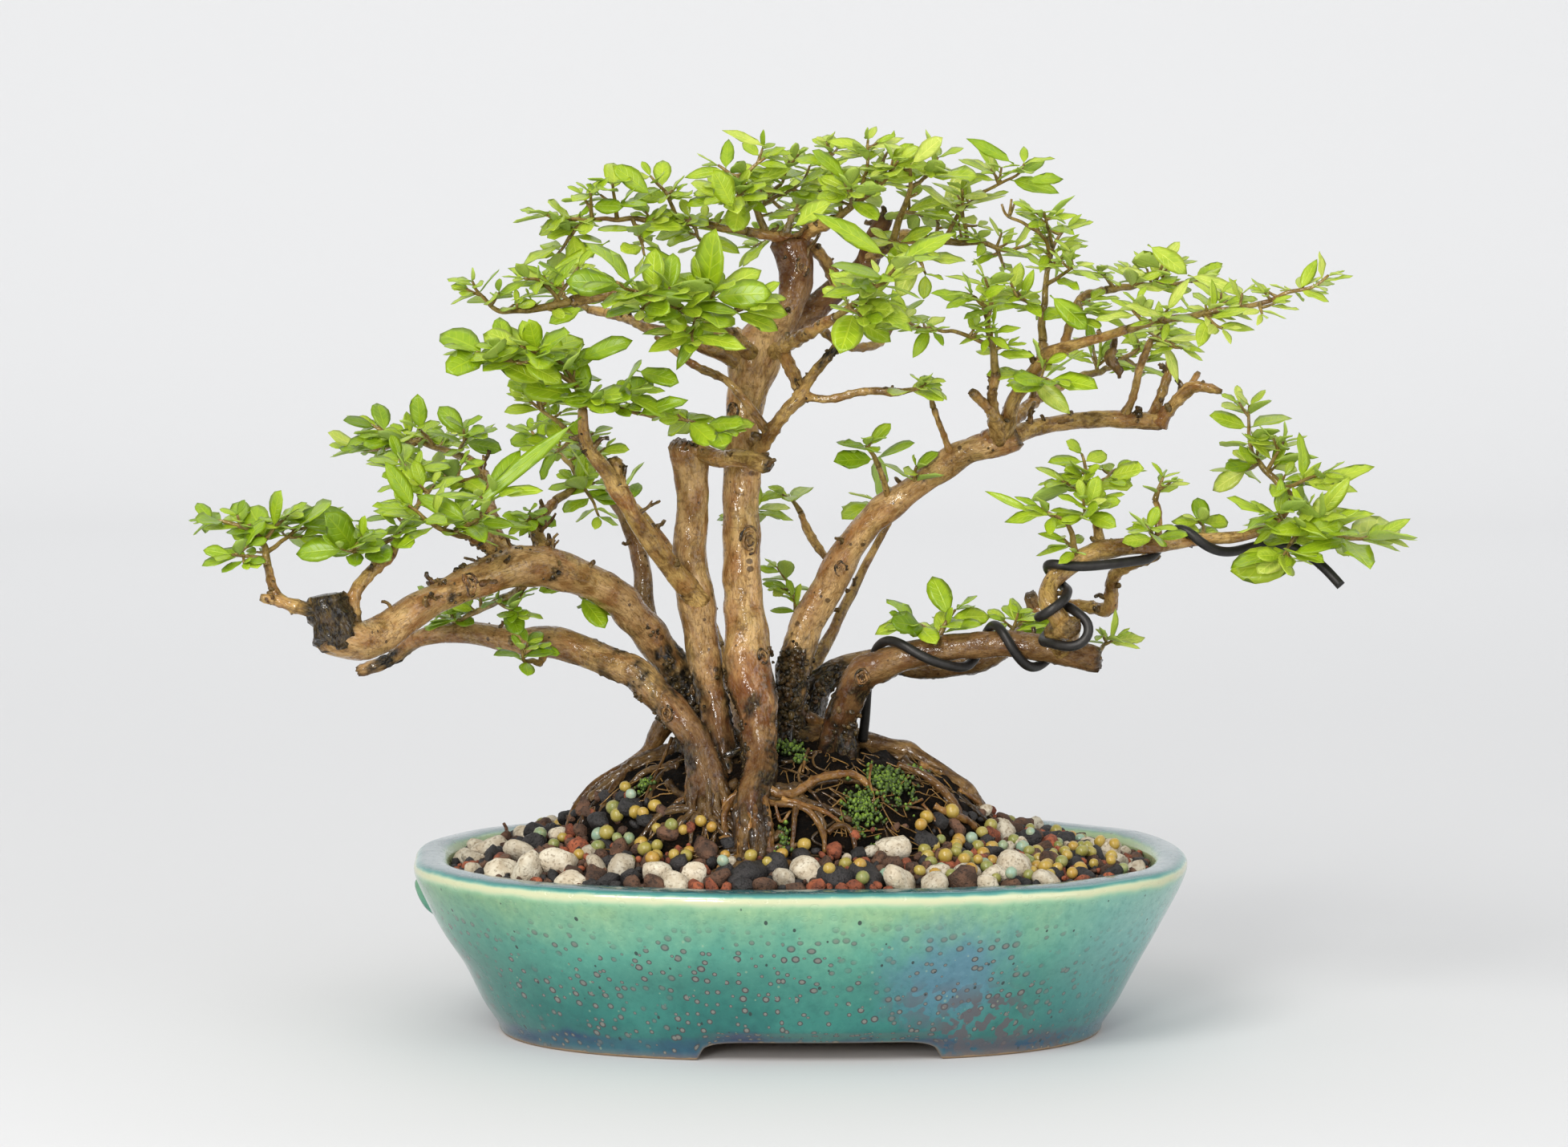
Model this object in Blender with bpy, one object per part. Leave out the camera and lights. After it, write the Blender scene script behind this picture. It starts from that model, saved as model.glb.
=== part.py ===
"""A premna bonsai: five leaning trunks on one root pad, standing in an oval glazed pot.

All sizes are real, in millimetres, and turned to metres where a mesh is made.
x runs to the right, y to the back, z up, and the pot's foot stands on z = 0.

The tree was drawn from one viewpoint in front of the pot. A row of a stem is (x, y, z, radius):
x and z are where its point shows on the pot's middle plane, y is its depth, and `placed`
slides it along its line of sight to that depth.
"""
import math
import random

import bmesh
import bpy
import numpy as np
from mathutils import Vector
from mathutils.bvhtree import BVHTree

MM = 0.001
VIEWPOINT = np.array((-4.25, -1300.0, 234.6))
CLEARANCE = 0.35

# Pot
RIM_HALF_LENGTH = 100.0
RIM_HALF_WIDTH = 74.0
POT_HEIGHT = 45.5
FOOT_HALF_LENGTH = 78.5
FOOT_HALF_WIDTH = 54.0
FOOT_RECESS = 5.2
FOOT_RING_WIDTH = 7.0
FLOOR_TOP = 10.5
OVAL_POWER = 2.4
OVAL_SECTORS = 40
ARCH_CENTRE = 4.6
ARCH_HALF_WIDTH = 30.5
ARCH_HEIGHT = 4.6
DRAIN_SPACING = 38.0
DRAIN_RADIUS = 6.0
EAR_RADIUS = 3.4

# Substrate and root pad
SOIL_LEVEL = 43.2
PAD_CENTRE_X = -5.0
PAD_HALF_LENGTH = 56.5
PAD_HALF_WIDTH = 41.0
PAD_EDGE = 50.8
PAD_HEIGHT = 22.0
PAD_FOOT = 40.8
BANK_HEIGHT = 7.6
GRAIN_HEIGHT = 1.5

# Drainage mesh
MESH_SIZE = 18.0
MESH_THICKNESS = 0.9
MESH_OPENING = 3.6

# Training wire
WIRE_RADIUS = 1.25
WIRE_SIDES = 5
WIRE_STEP = 5.2

# Leaf forms: width over length, and where along the blade it is widest
OVAL = (0.52, 0.58)
LANCE = (0.34, 0.42)
LEAF_THICKNESS = 0.7
LEAF_DROOP = 0.16
LEAF_FOLD = 0.14
SMALL_LEAF = 9.5
BUSY_STEM = 5

# Leafy twigs: radius at the tip and where a side shoot starts, and how far one may be bent to pass the wood
TWIG_RADIUS = 0.55
SIDE_TWIG_RADIUS = 0.7
BENDS = (0.0, 1.5, 3.0, 4.5, 6.0, 8.0)
BEND_WAYS = ((0, 1, 0), (0, -1, 0), (0, 0, 1), (0, 0.7, 0.7), (0, -0.7, 0.7), (1, 0, 0), (-1, 0, 0), (0, 0, -1))

TRUNKS = {
    "left_front_trunk": [(-23, -29, 57, 4.6), (-24.2, -28.5, 65, 4.6), (-26, -27, 71, 4.1), (-28.2, -25.5, 76, 3.9),
                         (-36.5, -21, 86, 4.2), (-42.5, -19, 91, 4.3), (-51, -15, 95.5, 4.2), (-62, -11, 99, 4.0),
                         (-74, -6, 100, 3.5), (-87, 0, 102, 2.9), (-99, 4, 100, 2.3), (-106, 6, 95, 1.9),
                         (-114, 7, 92, 1.7)],
    "left_arch_trunk": [(-24, -8, 61, 5.2), (-27, -7, 79, 5.0), (-30.6, -6, 89.4, 4.8), (-35.1, -8, 96.5, 4.6),
                        (-45.3, -15, 108.9, 4.7), (-53.1, -21, 114.7, 4.8), (-61.8, -28, 118, 4.8),
                        (-70, -34, 119.5, 4.8), (-83, -43, 115.5, 4.6), (-93, -51, 111, 4.0),
                        (-103, -58, 105, 4.6), (-111, -63, 100, 4.7), (-117, -67, 100, 4.9), (-122, -69, 102, 4.9)],
    "left_upright_trunk": [(-17.5, -18, 61, 4.6), (-20.3, -17, 71, 3.9), (-23, -14, 85, 4.2), (-25, -13, 98, 4.6),
                           (-28, -14, 120, 4.5), (-28, -14, 137, 4.3), (-29, -15, 151, 4.9)],
    "main_trunk": [(-12, -40, 50, 3.0), (-12.6, -36, 58, 3.4), (-10.8, -29, 65.5, 3.9), (-10.4, -25, 70.5, 4.1),
                   (-11, -21, 78.8, 4.8), (-13.2, -17, 91.3, 6.3), (-13.9, -14.5, 99.6, 5.9), (-14.5, -12, 110, 5.1),
                   (-15, -11, 122, 5.1), (-15, -10, 137, 4.9),
                   (-15, -9, 149, 4.7), (-14, -8, 162, 4.9), (-12, -7, 172, 6.0), (-10, -4, 178, 5.0),
                   (-5, 0, 182, 4.1), (-2, 3, 188, 4.0), (-1, 5, 195, 4.4), (-3, 6, 203, 4.8)],
    "second_leader": [(-11, -2, 176, 3.7), (0, 10, 183, 3.6), (10, 18, 191, 3.2), (16, 20, 196, 2.9),
                      (19, 20, 203, 2.7), (22, 19, 209, 2.3)],
    "right_high_trunk": [(-5, -2, 62, 4.8), (-3.2, 1, 80, 4.3), (-2.5, 4, 89, 4.3), (-1.4, 6, 95.4, 4.7),
                         (2.6, 8, 105.5, 4.5), (7, 8, 114, 4.2), (13, 6, 124, 4.0), (21, 4, 133, 3.7),
                         (30, 2, 140, 3.5), (40, 0, 147, 3.5), (48, -2, 150, 3.3), (56, -3, 152, 2.9)],
    "right_low_trunk": [(9, -6, 63, 5.0), (9.9, -8, 73.6, 4.3), (10.6, -10, 80, 4.1), (15.5, -14, 90.2, 4.3),
                        (21, -16, 93.2, 4.2), (28, -18, 96, 3.9), (40, -20, 98, 3.5), (54, -22, 99, 3.5),
                        (68, -23, 97, 3.5), (77, -24, 95, 3.5)],
    "right_back_trunk": [(-2, 10, 67, 5.3), (2, 13, 84, 4.3), (7, 16, 90.5, 3.7), (20, 20, 95, 3.2),
                         (31, 22, 93, 3.0), (45, 22, 94, 3.0), (55, 20, 100, 2.5), (60, 16, 107, 2.1),
                         (59, 14, 112, 1.9)],
    "left_back_trunk": [(-17, 8, 66, 5.4), (-27, 12, 83, 4.6), (-36, 15, 95, 3.4), (-40, 17, 108, 2.7),
                        (-41, 19, 120, 2.5), (-44, 21, 130, 2.1), (-48, 24, 136, 1.7)],
}

BRANCHES = {
    "wired_branch": [(67, -23, 98, 3.1), (69, -34, 102, 2.8), (66, -40, 106, 2.6), (64, -38, 110, 2.6),
                     (65, -34, 115, 2.4), (70, -32, 120, 2.4), (76, -30, 123, 2.4), (84, -27, 124, 2.2),
                     (95, -24, 125, 1.8), (104, -22, 126, 1.6), (114, -20, 127, 1.4), (122, -18, 130, 1.2)],
    "wired_stub": [(66, -34, 102, 2.6), (70, -44, 103, 2.8)],
    "low_cross_branch": [(60, 15.5, 107, 1.9), (71, 10, 109, 1.7), (79, 4, 108, 1.7), (80, 0, 113, 1.7),
                         (81, -4, 117, 1.7), (86, -8, 120, 1.4), (92, -12, 122, 1.2)],
    "front_leaning_branch": [(-27, -15, 111, 3.3), (-32, -22, 117, 2.7), (-37, -28, 124, 2.6), (-42, -33, 131, 2.4),
                             (-47, -38, 139, 2.2), (-51, -42, 145, 1.8), (-55, -46, 151, 1.6), (-56, -50, 160, 1.2)],
    "front_leaning_stub": [(-47, -38, 139, 2.0), (-48, -36, 147, 2.0)],
    "upright_side_knob": [(-27, -16, 149, 2.5), (-21, -21, 147, 2.2), (-15, -28, 147, 2.2), (-8, -33, 145, 2.4)],
    "trunk_network": [(-12, -12, 147, 1.8), (-8, -20, 153, 1.6), (-4, -24, 159, 1.6), (0, -24, 163, 1.6),
                      (-2, -20, 169, 1.6), (-5, -14, 175, 1.8)],
    "network_charred_twig": [(0, -24, 163, 1.2), (3, -26, 168, 1.2), (7, -28, 173, 1.2), (11, -30, 178, 1.0)],
    "network_cross_twig": [(-8, -20, 153, 1.2), (-13, -22, 160, 1.0), (-19, -21, 167, 1.0), (-26, -18, 170, 1.0),
                           (-33, -14, 175, 0.8), (-37, -10, 178, 0.8)],
    "network_right_twig": [(0, -24, 163, 1.2), (7, -25, 162, 1.0), (16, -26, 164, 1.0), (26, -28, 164, 1.0)],
    "fork_left_branch": [(-14, -8, 171, 2.7), (-20, -12, 174, 2.3), (-27, -16, 177, 2.0), (-34, -20, 183, 1.8),
                         (-40, -24, 188, 1.6), (-49, -28, 189, 1.6), (-59, -32, 187, 1.6)],
    "fork_back_branch": [(-11, 2, 177, 2.1), (-19, 10, 179, 1.7), (-28, 16, 179, 1.5), (-38, 22, 180, 1.3),
                         (-45, 30, 183, 1.3), (-54, 38, 185, 1.1)],
    "crown_left_branch": [(10, 14, 190, 1.7), (7, 12, 196, 1.7), (3, 8, 201, 1.5), (-3, 4, 203, 1.5),
                          (-14, 0, 205, 1.2)],
    "crown_centre_branch": [(-2, 7, 200, 1.9), (2, 4, 205, 1.9), (9, 0, 208, 1.5)],
    "crown_top_twig": [(17, 19, 198, 1.3), (23, 10, 201, 1.3)],
    "crown_right_branch": [(17, 20, 199, 2.1), (25, 22, 203, 1.9), (32, 22, 203, 1.7)],
    "front_crown_branch": [(-9, -7, 173, 2.0), (0, -24, 178, 1.6), (9, -36, 183, 1.4)],
    "front_left_crown_branch": [(-12, -9, 173, 2.0), (-18, -26, 179, 1.6)],
    "crown_back_twig": [(2, 14, 183, 1.3), (11, 24, 176, 1.1), (19, 32, 176, 1.1), (23, 38, 180, 0.9)],
    "crown_rear_branch": [(-3, 8, 196, 1.9), (-4, 22, 203, 1.7)],
    "high_horizontal_branch": [(50, -2, 151, 2.7), (58, 4, 154, 2.3), (67, 8, 156, 2.1), (76, 10, 157, 2.1),
                               (86, 10, 157, 2.1), (93, 10, 156, 1.9)],
    "high_end_stub": [(92, 10, 156, 1.9), (96, 8, 161, 1.5), (100, 6, 165, 1.5), (104, 4, 165, 1.2),
                      (108, 3, 164, 0.8)],
    "high_end_snag": [(99, 6, 164, 1.0), (102, 8, 169, 0.8)],
    "high_mid_stub": [(90, 10, 157, 1.5), (92, 12, 162, 1.3), (94, 14, 168, 1.3), (95, 15, 173, 1.0)],
    "high_mid_shoot": [(82, 10, 157, 1.3), (85, 8, 162, 1.0), (87, 6, 170, 1.0), (90, 4, 178, 0.8)],
    "high_rising_branch": [(49, -2, 151, 2.7), (53, -6, 156, 2.3), (54, -10, 161, 1.9), (58, -13, 167, 1.8),
                           (62, -16, 172, 1.8), (64, -17, 174, 1.6), (70, -20, 176, 1.4), (78, -24, 178, 1.2),
                           (84, -28, 180, 1.2)],
    "high_vertical_branch": [(62, -16, 171, 1.6), (62, -14, 177, 1.2)],
    "high_left_branch": [(51, -4, 152, 2.1), (49, -14, 161, 1.4), (50, -20, 169, 1.2)],
    "high_left_stub": [(51, -8, 156, 1.4), (48, -16, 160, 1.2), (44, -22, 164, 1.2)],
    "high_back_branch": [(49, -1, 151, 2.2), (51, 6, 153, 1.9), (59, 18, 161, 1.7), (68, 28, 167, 1.5)],
    "high_middle_branch": [(67, -18, 174, 1.2), (71, -8, 187, 1.0), (78, -2, 190, 1.0)],
    "mid_right_shoot": [(39, 0, 146, 1.2), (37, -4, 152, 0.8), (34, -8, 160, 0.8)],
    "mid_right_low_shoot": [(23, 4, 133, 1.0), (22, 0, 139, 0.8), (20, -4, 145, 0.8)],
    "mid_left_shoot": [(11, 8, 119, 1.3), (6, 14, 122, 1.0), (2, 18, 128, 1.1), (0, 20, 133, 0.8)],
    "left_snag": [(-118, -68, 103, 2.2), (-121, -70, 107, 1.8), (-127, -72, 108, 1.6), (-134, -72, 110, 1.4), (-139, -72, 111, 1.0)],
    "left_outer_branch": [(-130, -72, 108, 1.2), (-135, -70, 112, 1.2), (-137, -66, 119, 1.0)],
    "left_mid_branch": [(-114, -66, 102, 1.6), (-115, -66, 111, 1.6), (-111, -62, 117, 1.6), (-105, -56, 122, 1.4)],
    "left_pad_branch": [(-74, -36, 120, 2.2), (-78, -28, 126, 2.2), (-80, -18, 134, 1.8), (-81, -8, 142, 1.4),
                        (-86, 2, 147, 1.2)],
    "left_pad_side_branch": [(-78, -34, 122, 1.6), (-85, -44, 127, 1.2)],
    "left_inner_branch": [(-64, -28, 120, 1.8), (-68, -20, 129, 1.6), (-63, -10, 136, 1.2)],
    "left_under_branch": [(-70, -32, 118, 1.4), (-72, -32, 113, 1.2)],
    "left_low_shoot": [(-64, -12, 100, 1.2), (-67, -20, 94, 0.8)],
    "right_rear_branch": [(-3, 16, 83, 2.5), (7, 34, 100, 1.7), (13, 44, 112, 1.3), (18, 50, 122, 1.1),
                          (23, 52, 131, 0.9)],
    "left_rear_branch": [(-17, 12, 70, 3.2), (-15, 22, 80, 2.7), (-20, 40, 95, 2.1), (-27, 52, 112, 1.7), (-34, 60, 124, 1.3),
                         (-43, 66, 135, 1.1)],
    "wired_up_shoot": [(77, -28, 124, 1.4), (76, -24, 131, 1.2)],
    "wired_side_shoot": [(92, -24, 125, 1.0), (92, -20, 133, 0.8), (91, -18, 136, 0.8)],
    "wired_tip_shoot": [(122, -18, 130, 1.0), (127, -14, 136, 0.8)],
}

# Surface roots in plan, as (x, y, radius, lift of the root's middle above the pad)
ROOTS = [
    [(-2, 0, 3.4, 3.0), (8, 2, 3.0, 2.6), (17, 1, 2.8, 2.2), (28, 0, 2.6, 1.6), (36, -3, 2.5, 1.2), (43, -4, 2.2, 1.0),
     (47, -6, 1.4, 0.2)],
    [(26, -8, 1.4, 0.6), (34, -14, 1.3, 0.6), (38, -18, 1.0, 0.3)],
    [(-10, -30, 1.6, 0.6), (-1, -30, 1.4, 0.7), (6, -27, 1.3, 0.7), (14, -25, 1.1, 0.5), (19, -26, 0.9, 0.1)],
    [(-9, -33, 1.2, 0.4), (0, -33, 1.1, 0.5), (8, -34, 1.0, 0.4), (13, -35, 0.9, 0.1)],
    [(0, -32, 1.1, 0.4), (5, -36, 1.0, 0.4), (6, -38, 0.8, 0.1)],
    [(-16, -28, 1.3, 0.5), (-22, -31, 1.1, 0.5), (-20, -36, 0.9, 0.1)],
    [(-28, -2, 2.6, 2.6), (-34, -3, 2.2, 2.2), (-41, -5, 2.0, 1.4), (-47, -6, 1.8, 1.0), (-53, -7, 1.6, 0.6),
     (-57, -8, 1.1, 0.0)],
    [(-44, -6, 1.4, 0.8), (-48, -12, 1.2, 0.6), (-51, -18, 0.9, 0.1)],
    [(-30, -12, 1.2, 0.8), (-36, -18, 1.0, 0.5), (-39, -25, 0.8, 0.1)],
    [(0, 14, 2.4, 1.6), (7, 22, 2.0, 1.2), (12, 29, 1.6, 0.8), (16, 35, 1.0, 0.1)],
    [(-20, 14, 2.4, 1.8), (-27, 21, 2.0, 1.2), (-34, 25, 1.6, 0.8), (-39, 27, 1.0, 0.1)],
    [(-10, 18, 1.8, 1.0), (-13, 27, 1.5, 0.8), (-11, 34, 1.1, 0.4), (-12, 38, 0.8, 0.0)],
    [(12, 8, 1.8, 1.2), (24, 13, 1.5, 0.8), (34, 16, 1.2, 0.5), (40, 17, 0.9, 0.1)],
    [(-28, 6, 1.7, 1.2), (-38, 10, 1.4, 0.8), (-46, 14, 1.1, 0.4), (-50, 15, 0.9, 0.1)],
]

# The training wire's route, drawn as the stems are, without a radius
WIRE_ROUTE = [
    (16, -2, 74), (17, -4, 80), (17, -8, 90), (19, -12, 97), (22, -16, 100), (26, -22, 99), (31, -25, 95.5),
    (36, -25, 93.3), (41, -22.5, 92.6), (45, -17, 95), (47, -16, 100), (49, -19, 104), (52, -25.5, 103),
    (54, -28, 98), (57, -26.5, 94), (61, -21, 92.6), (65, -17.5, 96), (69, -20, 102.5), (71.5, -28, 106),
    (74, -36, 107.5), (76, -41, 106), (75.5, -42.5, 101), (71, -43, 98), (66, -43, 99.5), (62, -42, 103.5),
    (63.5, -44, 107.5), (68, -42, 111), (69, -36.5, 115), (66, -30.5, 117.5), (62, -32, 119), (66, -37, 119),
    (72, -36.5, 118.6), (79, -33, 119.6), (86, -29, 120.4), (91.5, -23, 122), (94, -20.5, 126), (97, -23, 129),
    (101, -26.5, 126), (106, -25.5, 122.6), (111, -20.5, 122), (117, -16, 125), (124, -17, 125.5),
    (130, -20.5, 123), (135, -23, 119), (139, -24, 114),
]

# Leafy stems: each holds shoots of (points, leaf length, pairs of leaves, leaf form). The first shoot
# leaves the wood at its first point and the others spring from it.
LEAFY_STEMS = {
    "crown_left_spray": [
        ([(-14, 0, 205), (-26, -4, 207), (-40, -8, 208), (-53, -12, 208), (-60, -14, 208),
          (-66, -16, 210)], 9, 4, OVAL),
        ([(-53, -12, 208), (-54, -17, 215)], 8, 3, OVAL),
        ([(-47, -10, 208), (-48, -14, 217)], 11, 3, OVAL),
        ([(-31, -6, 207), (-34, -8, 214), (-38, -10, 219)], 8, 3, OVAL),
        ([(-56, -12, 208), (-60, -10, 202), (-62, -6, 199)], 11, 3, OVAL),
        ([(-43, -9, 208), (-41, -16, 203), (-40, -18, 199)], 10, 3, OVAL),
        ([(-28, -4, 207), (-25, 6, 201)], 10, 3, OVAL),
    ],
    "crown_mid_spray": [
        ([(-9, 2, 205), (-12, 0, 212), (-15, -4, 218), (-9, -6, 224)], 12, 4, LANCE),
        ([(-12, 0, 212), (-5, 6, 217), (-3, 6, 223)], 10, 3, OVAL),
        ([(-13, 0, 213), (-19, -18, 214)], 12, 3, OVAL),
        ([(-15, -4, 218), (-21, -2, 222)], 10, 3, LANCE),
        ([(-5, 6, 216), (2, 16, 218)], 9, 3, OVAL),
    ],
    "fork_left_spray": [
        ([(-59, -32, 187), (-69, -36, 185), (-77, -38, 185), (-82, -40, 189), (-84, -42, 192)], 7, 3, OVAL),
        ([(-61, -33, 187), (-66, -36, 192), (-71, -39, 193)], 10, 3, LANCE),
        ([(-63, -34, 186), (-57, -30, 196)], 9, 3, OVAL),
    ],
    "fork_back_spray": [
        ([(-54, 38, 185), (-60, 44, 188), (-63, 47, 192)], 9, 4, OVAL),
    ],
    "front_crown_left_spray": [
        ([(-18, -26, 179), (-25, -38, 183), (-34, -50, 186), (-41, -58, 189), (-47, -64, 192)], 16, 2, OVAL),
        ([(-25, -38, 183), (-22, -47, 190)], 16, 2, OVAL),
        ([(-24, -37, 182), (-14, -45, 186)], 14, 2, OVAL),
        ([(-27, -40, 183), (-28, -53, 177)], 16, 1, LANCE),
        ([(-38, -54, 187), (-41, -62, 185)], 10, 1, OVAL),
    ],
    "front_crown_right_spray": [
        ([(9, -36, 183), (17, -48, 189), (23, -58, 194), (25, -61, 197)], 17, 2, LANCE),
        ([(12, -41, 185), (16, -50, 183)], 13, 2, OVAL),
    ],
    "crown_top_spray": [
        ([(9, 0, 208), (14, -4, 212), (20, -8, 217), (25, -14, 223)], 9, 3, OVAL),
        ([(11, -1, 209), (8, -3, 221), (7, -4, 227)], 8, 3, OVAL),
        ([(14, -4, 212), (17, -10, 221), (17, -10, 228)], 10, 4, LANCE),
        ([(18, -7, 216), (22, -2, 225)], 9, 3, LANCE),
        ([(10, -2, 215), (13, -18, 216)], 9, 3, OVAL),
    ],
    "crown_tip_spray": [
        ([(23, 10, 201), (26, 4, 209), (28, -2, 216), (28, -6, 221), (27, -8, 224)], 0, 0, OVAL),
        ([(28, -2, 216), (33, 4, 220), (35, 6, 224)], 12, 3, OVAL),
        ([(26, 3, 210), (31, 10, 209)], 9, 3, OVAL),
        ([(24, 9, 203), (30, 2, 198), (32, 0, 194)], 10, 4, OVAL),
    ],
    "crown_rear_spray": [
        ([(-4, 22, 203), (-2, 36, 209), (2, 48, 214), (7, 58, 217), (9, 62, 221)], 10, 4, OVAL),
        ([(-2, 36, 209), (-9, 42, 214), (-13, 45, 216)], 9, 3, OVAL),
        ([(3, 49, 214), (16, 58, 216)], 10, 3, OVAL),
        ([(-3, 30, 206), (-8, 44, 203), (-12, 50, 201)], 9, 3, OVAL),
    ],
    "crown_back_low_spray": [
        ([(23, 38, 180), (25, 42, 185)], 9, 4, OVAL),
    ],
    "crown_right_spray": [
        ([(32, 22, 203), (39, 22, 202), (46, 22, 202), (53, 22, 200), (59, 22, 202)], 9, 3, LANCE),
        ([(37, 22, 203), (41, 20, 210), (47, 16, 215), (55, 12, 219), (57, 12, 222)], 12, 2, LANCE),
        ([(42, 19, 211), (41, 12, 216)], 10, 3, LANCE),
        ([(34, 22, 203), (36, 34, 210), (39, 39, 213)], 9, 3, OVAL),
        ([(50, 22, 201), (52, 28, 196)], 9, 3, LANCE),
    ],
    "high_vertical_spray": [
        ([(62, -14, 177), (62, -10, 184), (63, -6, 193), (64, -4, 200), (66, -3, 204),
          (68, -2, 206)], 9, 3, LANCE),
        ([(63, -5, 196), (63, -10, 202), (59, -14, 206), (53, -17, 209), (51, -18, 212)], 0, 0, LANCE),
        ([(59, -14, 206), (62, -18, 210)], 9, 3, LANCE),
        ([(62, -7, 192), (70, -17, 196)], 9, 4, LANCE),
        ([(62, -10, 185), (56, -18, 188), (54, -19, 192)], 10, 3, LANCE),
    ],
    "high_left_spray": [
        ([(50, -20, 169), (49, -24, 176), (48, -26, 182), (49, -27, 188), (47, -30, 193)], 11, 3, LANCE),
        ([(49, -24, 176), (41, -30, 179), (35, -34, 180), (29, -38, 181), (25, -40, 184)], 10, 3, LANCE),
        ([(48, -26, 185), (43, -36, 189)], 10, 2, LANCE),
    ],
    "high_middle_spray": [
        ([(78, -2, 190), (86, 4, 191), (96, 10, 192), (102, 12, 192)], 12, 3, LANCE),
        ([(91, 6, 191), (93, 4, 197)], 11, 2, OVAL),
        ([(85, 3, 191), (84, 10, 196)], 9, 3, LANCE),
        ([(80, 0, 190), (76, -6, 195)], 9, 3, LANCE),
    ],
    "high_hanging_spray": [
        ([(71, -8, 187), (72, -18, 183)], 12, 2, OVAL),
    ],
    "high_rising_spray": [
        ([(84, -28, 180), (92, -32, 182), (103, -36, 184), (115, -40, 186), (127, -43, 190),
          (132, -44, 191), (135, -44, 194)], 8, 3, LANCE),
        ([(92, -32, 182), (94, -40, 185)], 10, 3, LANCE),
        ([(88, -30, 181), (85, -32, 185)], 10, 3, LANCE),
        ([(104, -36, 184), (109, -32, 187)], 10, 3, LANCE),
        ([(103, -36, 184), (108, -42, 180)], 10, 3, LANCE),
        ([(117, -41, 187), (118, -46, 184)], 8, 1, LANCE),
    ],
    "high_shoot_spray": [
        ([(90, 4, 178), (98, 2, 175)], 10, 4, LANCE),
    ],
    "high_back_spray": [
        ([(68, 28, 167), (76, 36, 169), (80, 42, 171), (91, 50, 178), (94, 54, 182)], 10, 4, LANCE),
        ([(76, 36, 169), (75, 44, 176)], 10, 4, LANCE),
        ([(83, 44, 173), (88, 54, 169)], 10, 2, LANCE),
    ],
    "high_base_spray": [
        ([(59, -14, 168), (64, -30, 167)], 13, 2, OVAL),
    ],
    "network_spray": [
        ([(26, -28, 164), (31, -33, 165)], 9, 3, OVAL),
    ],
    "mid_right_spray": [
        ([(34, -8, 160), (33, -10, 164)], 9, 4, OVAL),
    ],
    "mid_right_low_spray": [
        ([(20, -4, 145), (17, -8, 150)], 10, 4, OVAL),
    ],
    "mid_right_small_spray": [
        ([(29, 2, 139), (30, -4, 145)], 8, 3, OVAL),
    ],
    "mid_left_spray": [
        ([(0, 20, 133), (-3, 23, 137)], 11, 3, OVAL),
    ],
    "mid_rear_spray": [
        ([(23, 52, 131), (19, 48, 136)], 12, 3, OVAL),
    ],
    "low_green_shoot": [
        ([(0, 6, 100), (-2, 20, 112), (-6, 24, 119)], 7, 5, OVAL),
    ],
    "main_rear_spray": [
        ([(-15, -10, 128), (-11, 16, 134)], 10, 3, OVAL),
    ],
    "left_outer_spray": [
        ([(-137, -66, 119), (-138, -62, 125), (-143, -58, 129), (-153, -56, 131)], 9, 4, OVAL),
        ([(-138, -62, 125), (-134, -60, 131)], 11, 3, OVAL),
        ([(-137, -65, 121), (-146, -70, 122)], 11, 2, OVAL),
        ([(-138, -64, 123), (-128, -56, 129), (-125, -54, 130)], 14, 2, OVAL),
    ],
    "left_mid_spray": [
        ([(-105, -56, 122), (-102, -46, 130), (-98, -36, 136), (-100, -28, 143),
          (-103, -26, 147)], 10, 3, OVAL),
        ([(-103, -50, 126), (-113, -66, 123), (-118, -72, 124)], 12, 3, OVAL),
        ([(-100, -40, 134), (-94, -34, 140)], 9, 3, OVAL),
    ],
    "left_pad_spray": [
        ([(-86, 2, 147), (-94, 12, 150), (-103, 20, 152), (-111, 24, 156)], 10, 3, OVAL),
        ([(-94, 12, 150), (-98, 6, 155)], 10, 3, OVAL),
        ([(-98, 16, 151), (-105, 14, 147)], 9, 3, OVAL),
        ([(-89, 4, 148), (-85, -4, 153)], 10, 3, OVAL),
        ([(-100, 18, 151), (-109, 32, 149), (-115, 36, 150)], 9, 3, OVAL),
    ],
    "left_pad_low_spray": [
        ([(-81, -8, 142), (-89, -17, 141), (-93, -20, 142)], 9, 4, OVAL),
    ],
    "left_front_pad_spray": [
        ([(-85, -44, 127), (-91, -52, 128), (-96, -58, 131), (-101, -62, 135)], 13, 3, LANCE),
        ([(-89, -50, 128), (-82, -62, 132), (-79, -66, 138)], 19, 1, LANCE),
    ],
    "left_inner_spray": [
        ([(-63, -10, 136), (-57, -2, 141), (-61, 6, 147), (-66, 12, 150), (-69, 14, 154)], 8, 4, OVAL),
        ([(-57, -2, 141), (-54, -10, 137), (-52, -12, 132)], 9, 3, OVAL),
        ([(-60, 4, 146), (-55, 14, 149)], 9, 3, OVAL),
    ],
    "left_inner_low_spray": [
        ([(-66, -15, 132), (-71, -26, 131)], 7, 4, OVAL),
    ],
    "left_under_spray": [
        ([(-72, -32, 113), (-78, -22, 110), (-84, -12, 107), (-90, -4, 105), (-97, 0, 109)], 9, 3, OVAL),
        ([(-78, -22, 110), (-73, -32, 107)], 8, 2, OVAL),
    ],
    "left_arch_under_spray": [
        ([(-60, -24, 119), (-57, -16, 112), (-54, -12, 109)], 9, 3, OVAL),
    ],
    "left_low_clover": [
        ([(-67, -20, 94), (-71, -27, 95), (-72, -29, 98)], 8, 2, OVAL),
    ],
    "front_lean_spray": [
        ([(-56, -50, 160), (-58, -54, 166), (-61, -56, 171)], 15, 3, OVAL),
        ([(-58, -54, 166), (-65, -58, 170), (-76, -62, 172), (-83, -64, 174)], 14, 2, OVAL),
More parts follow.
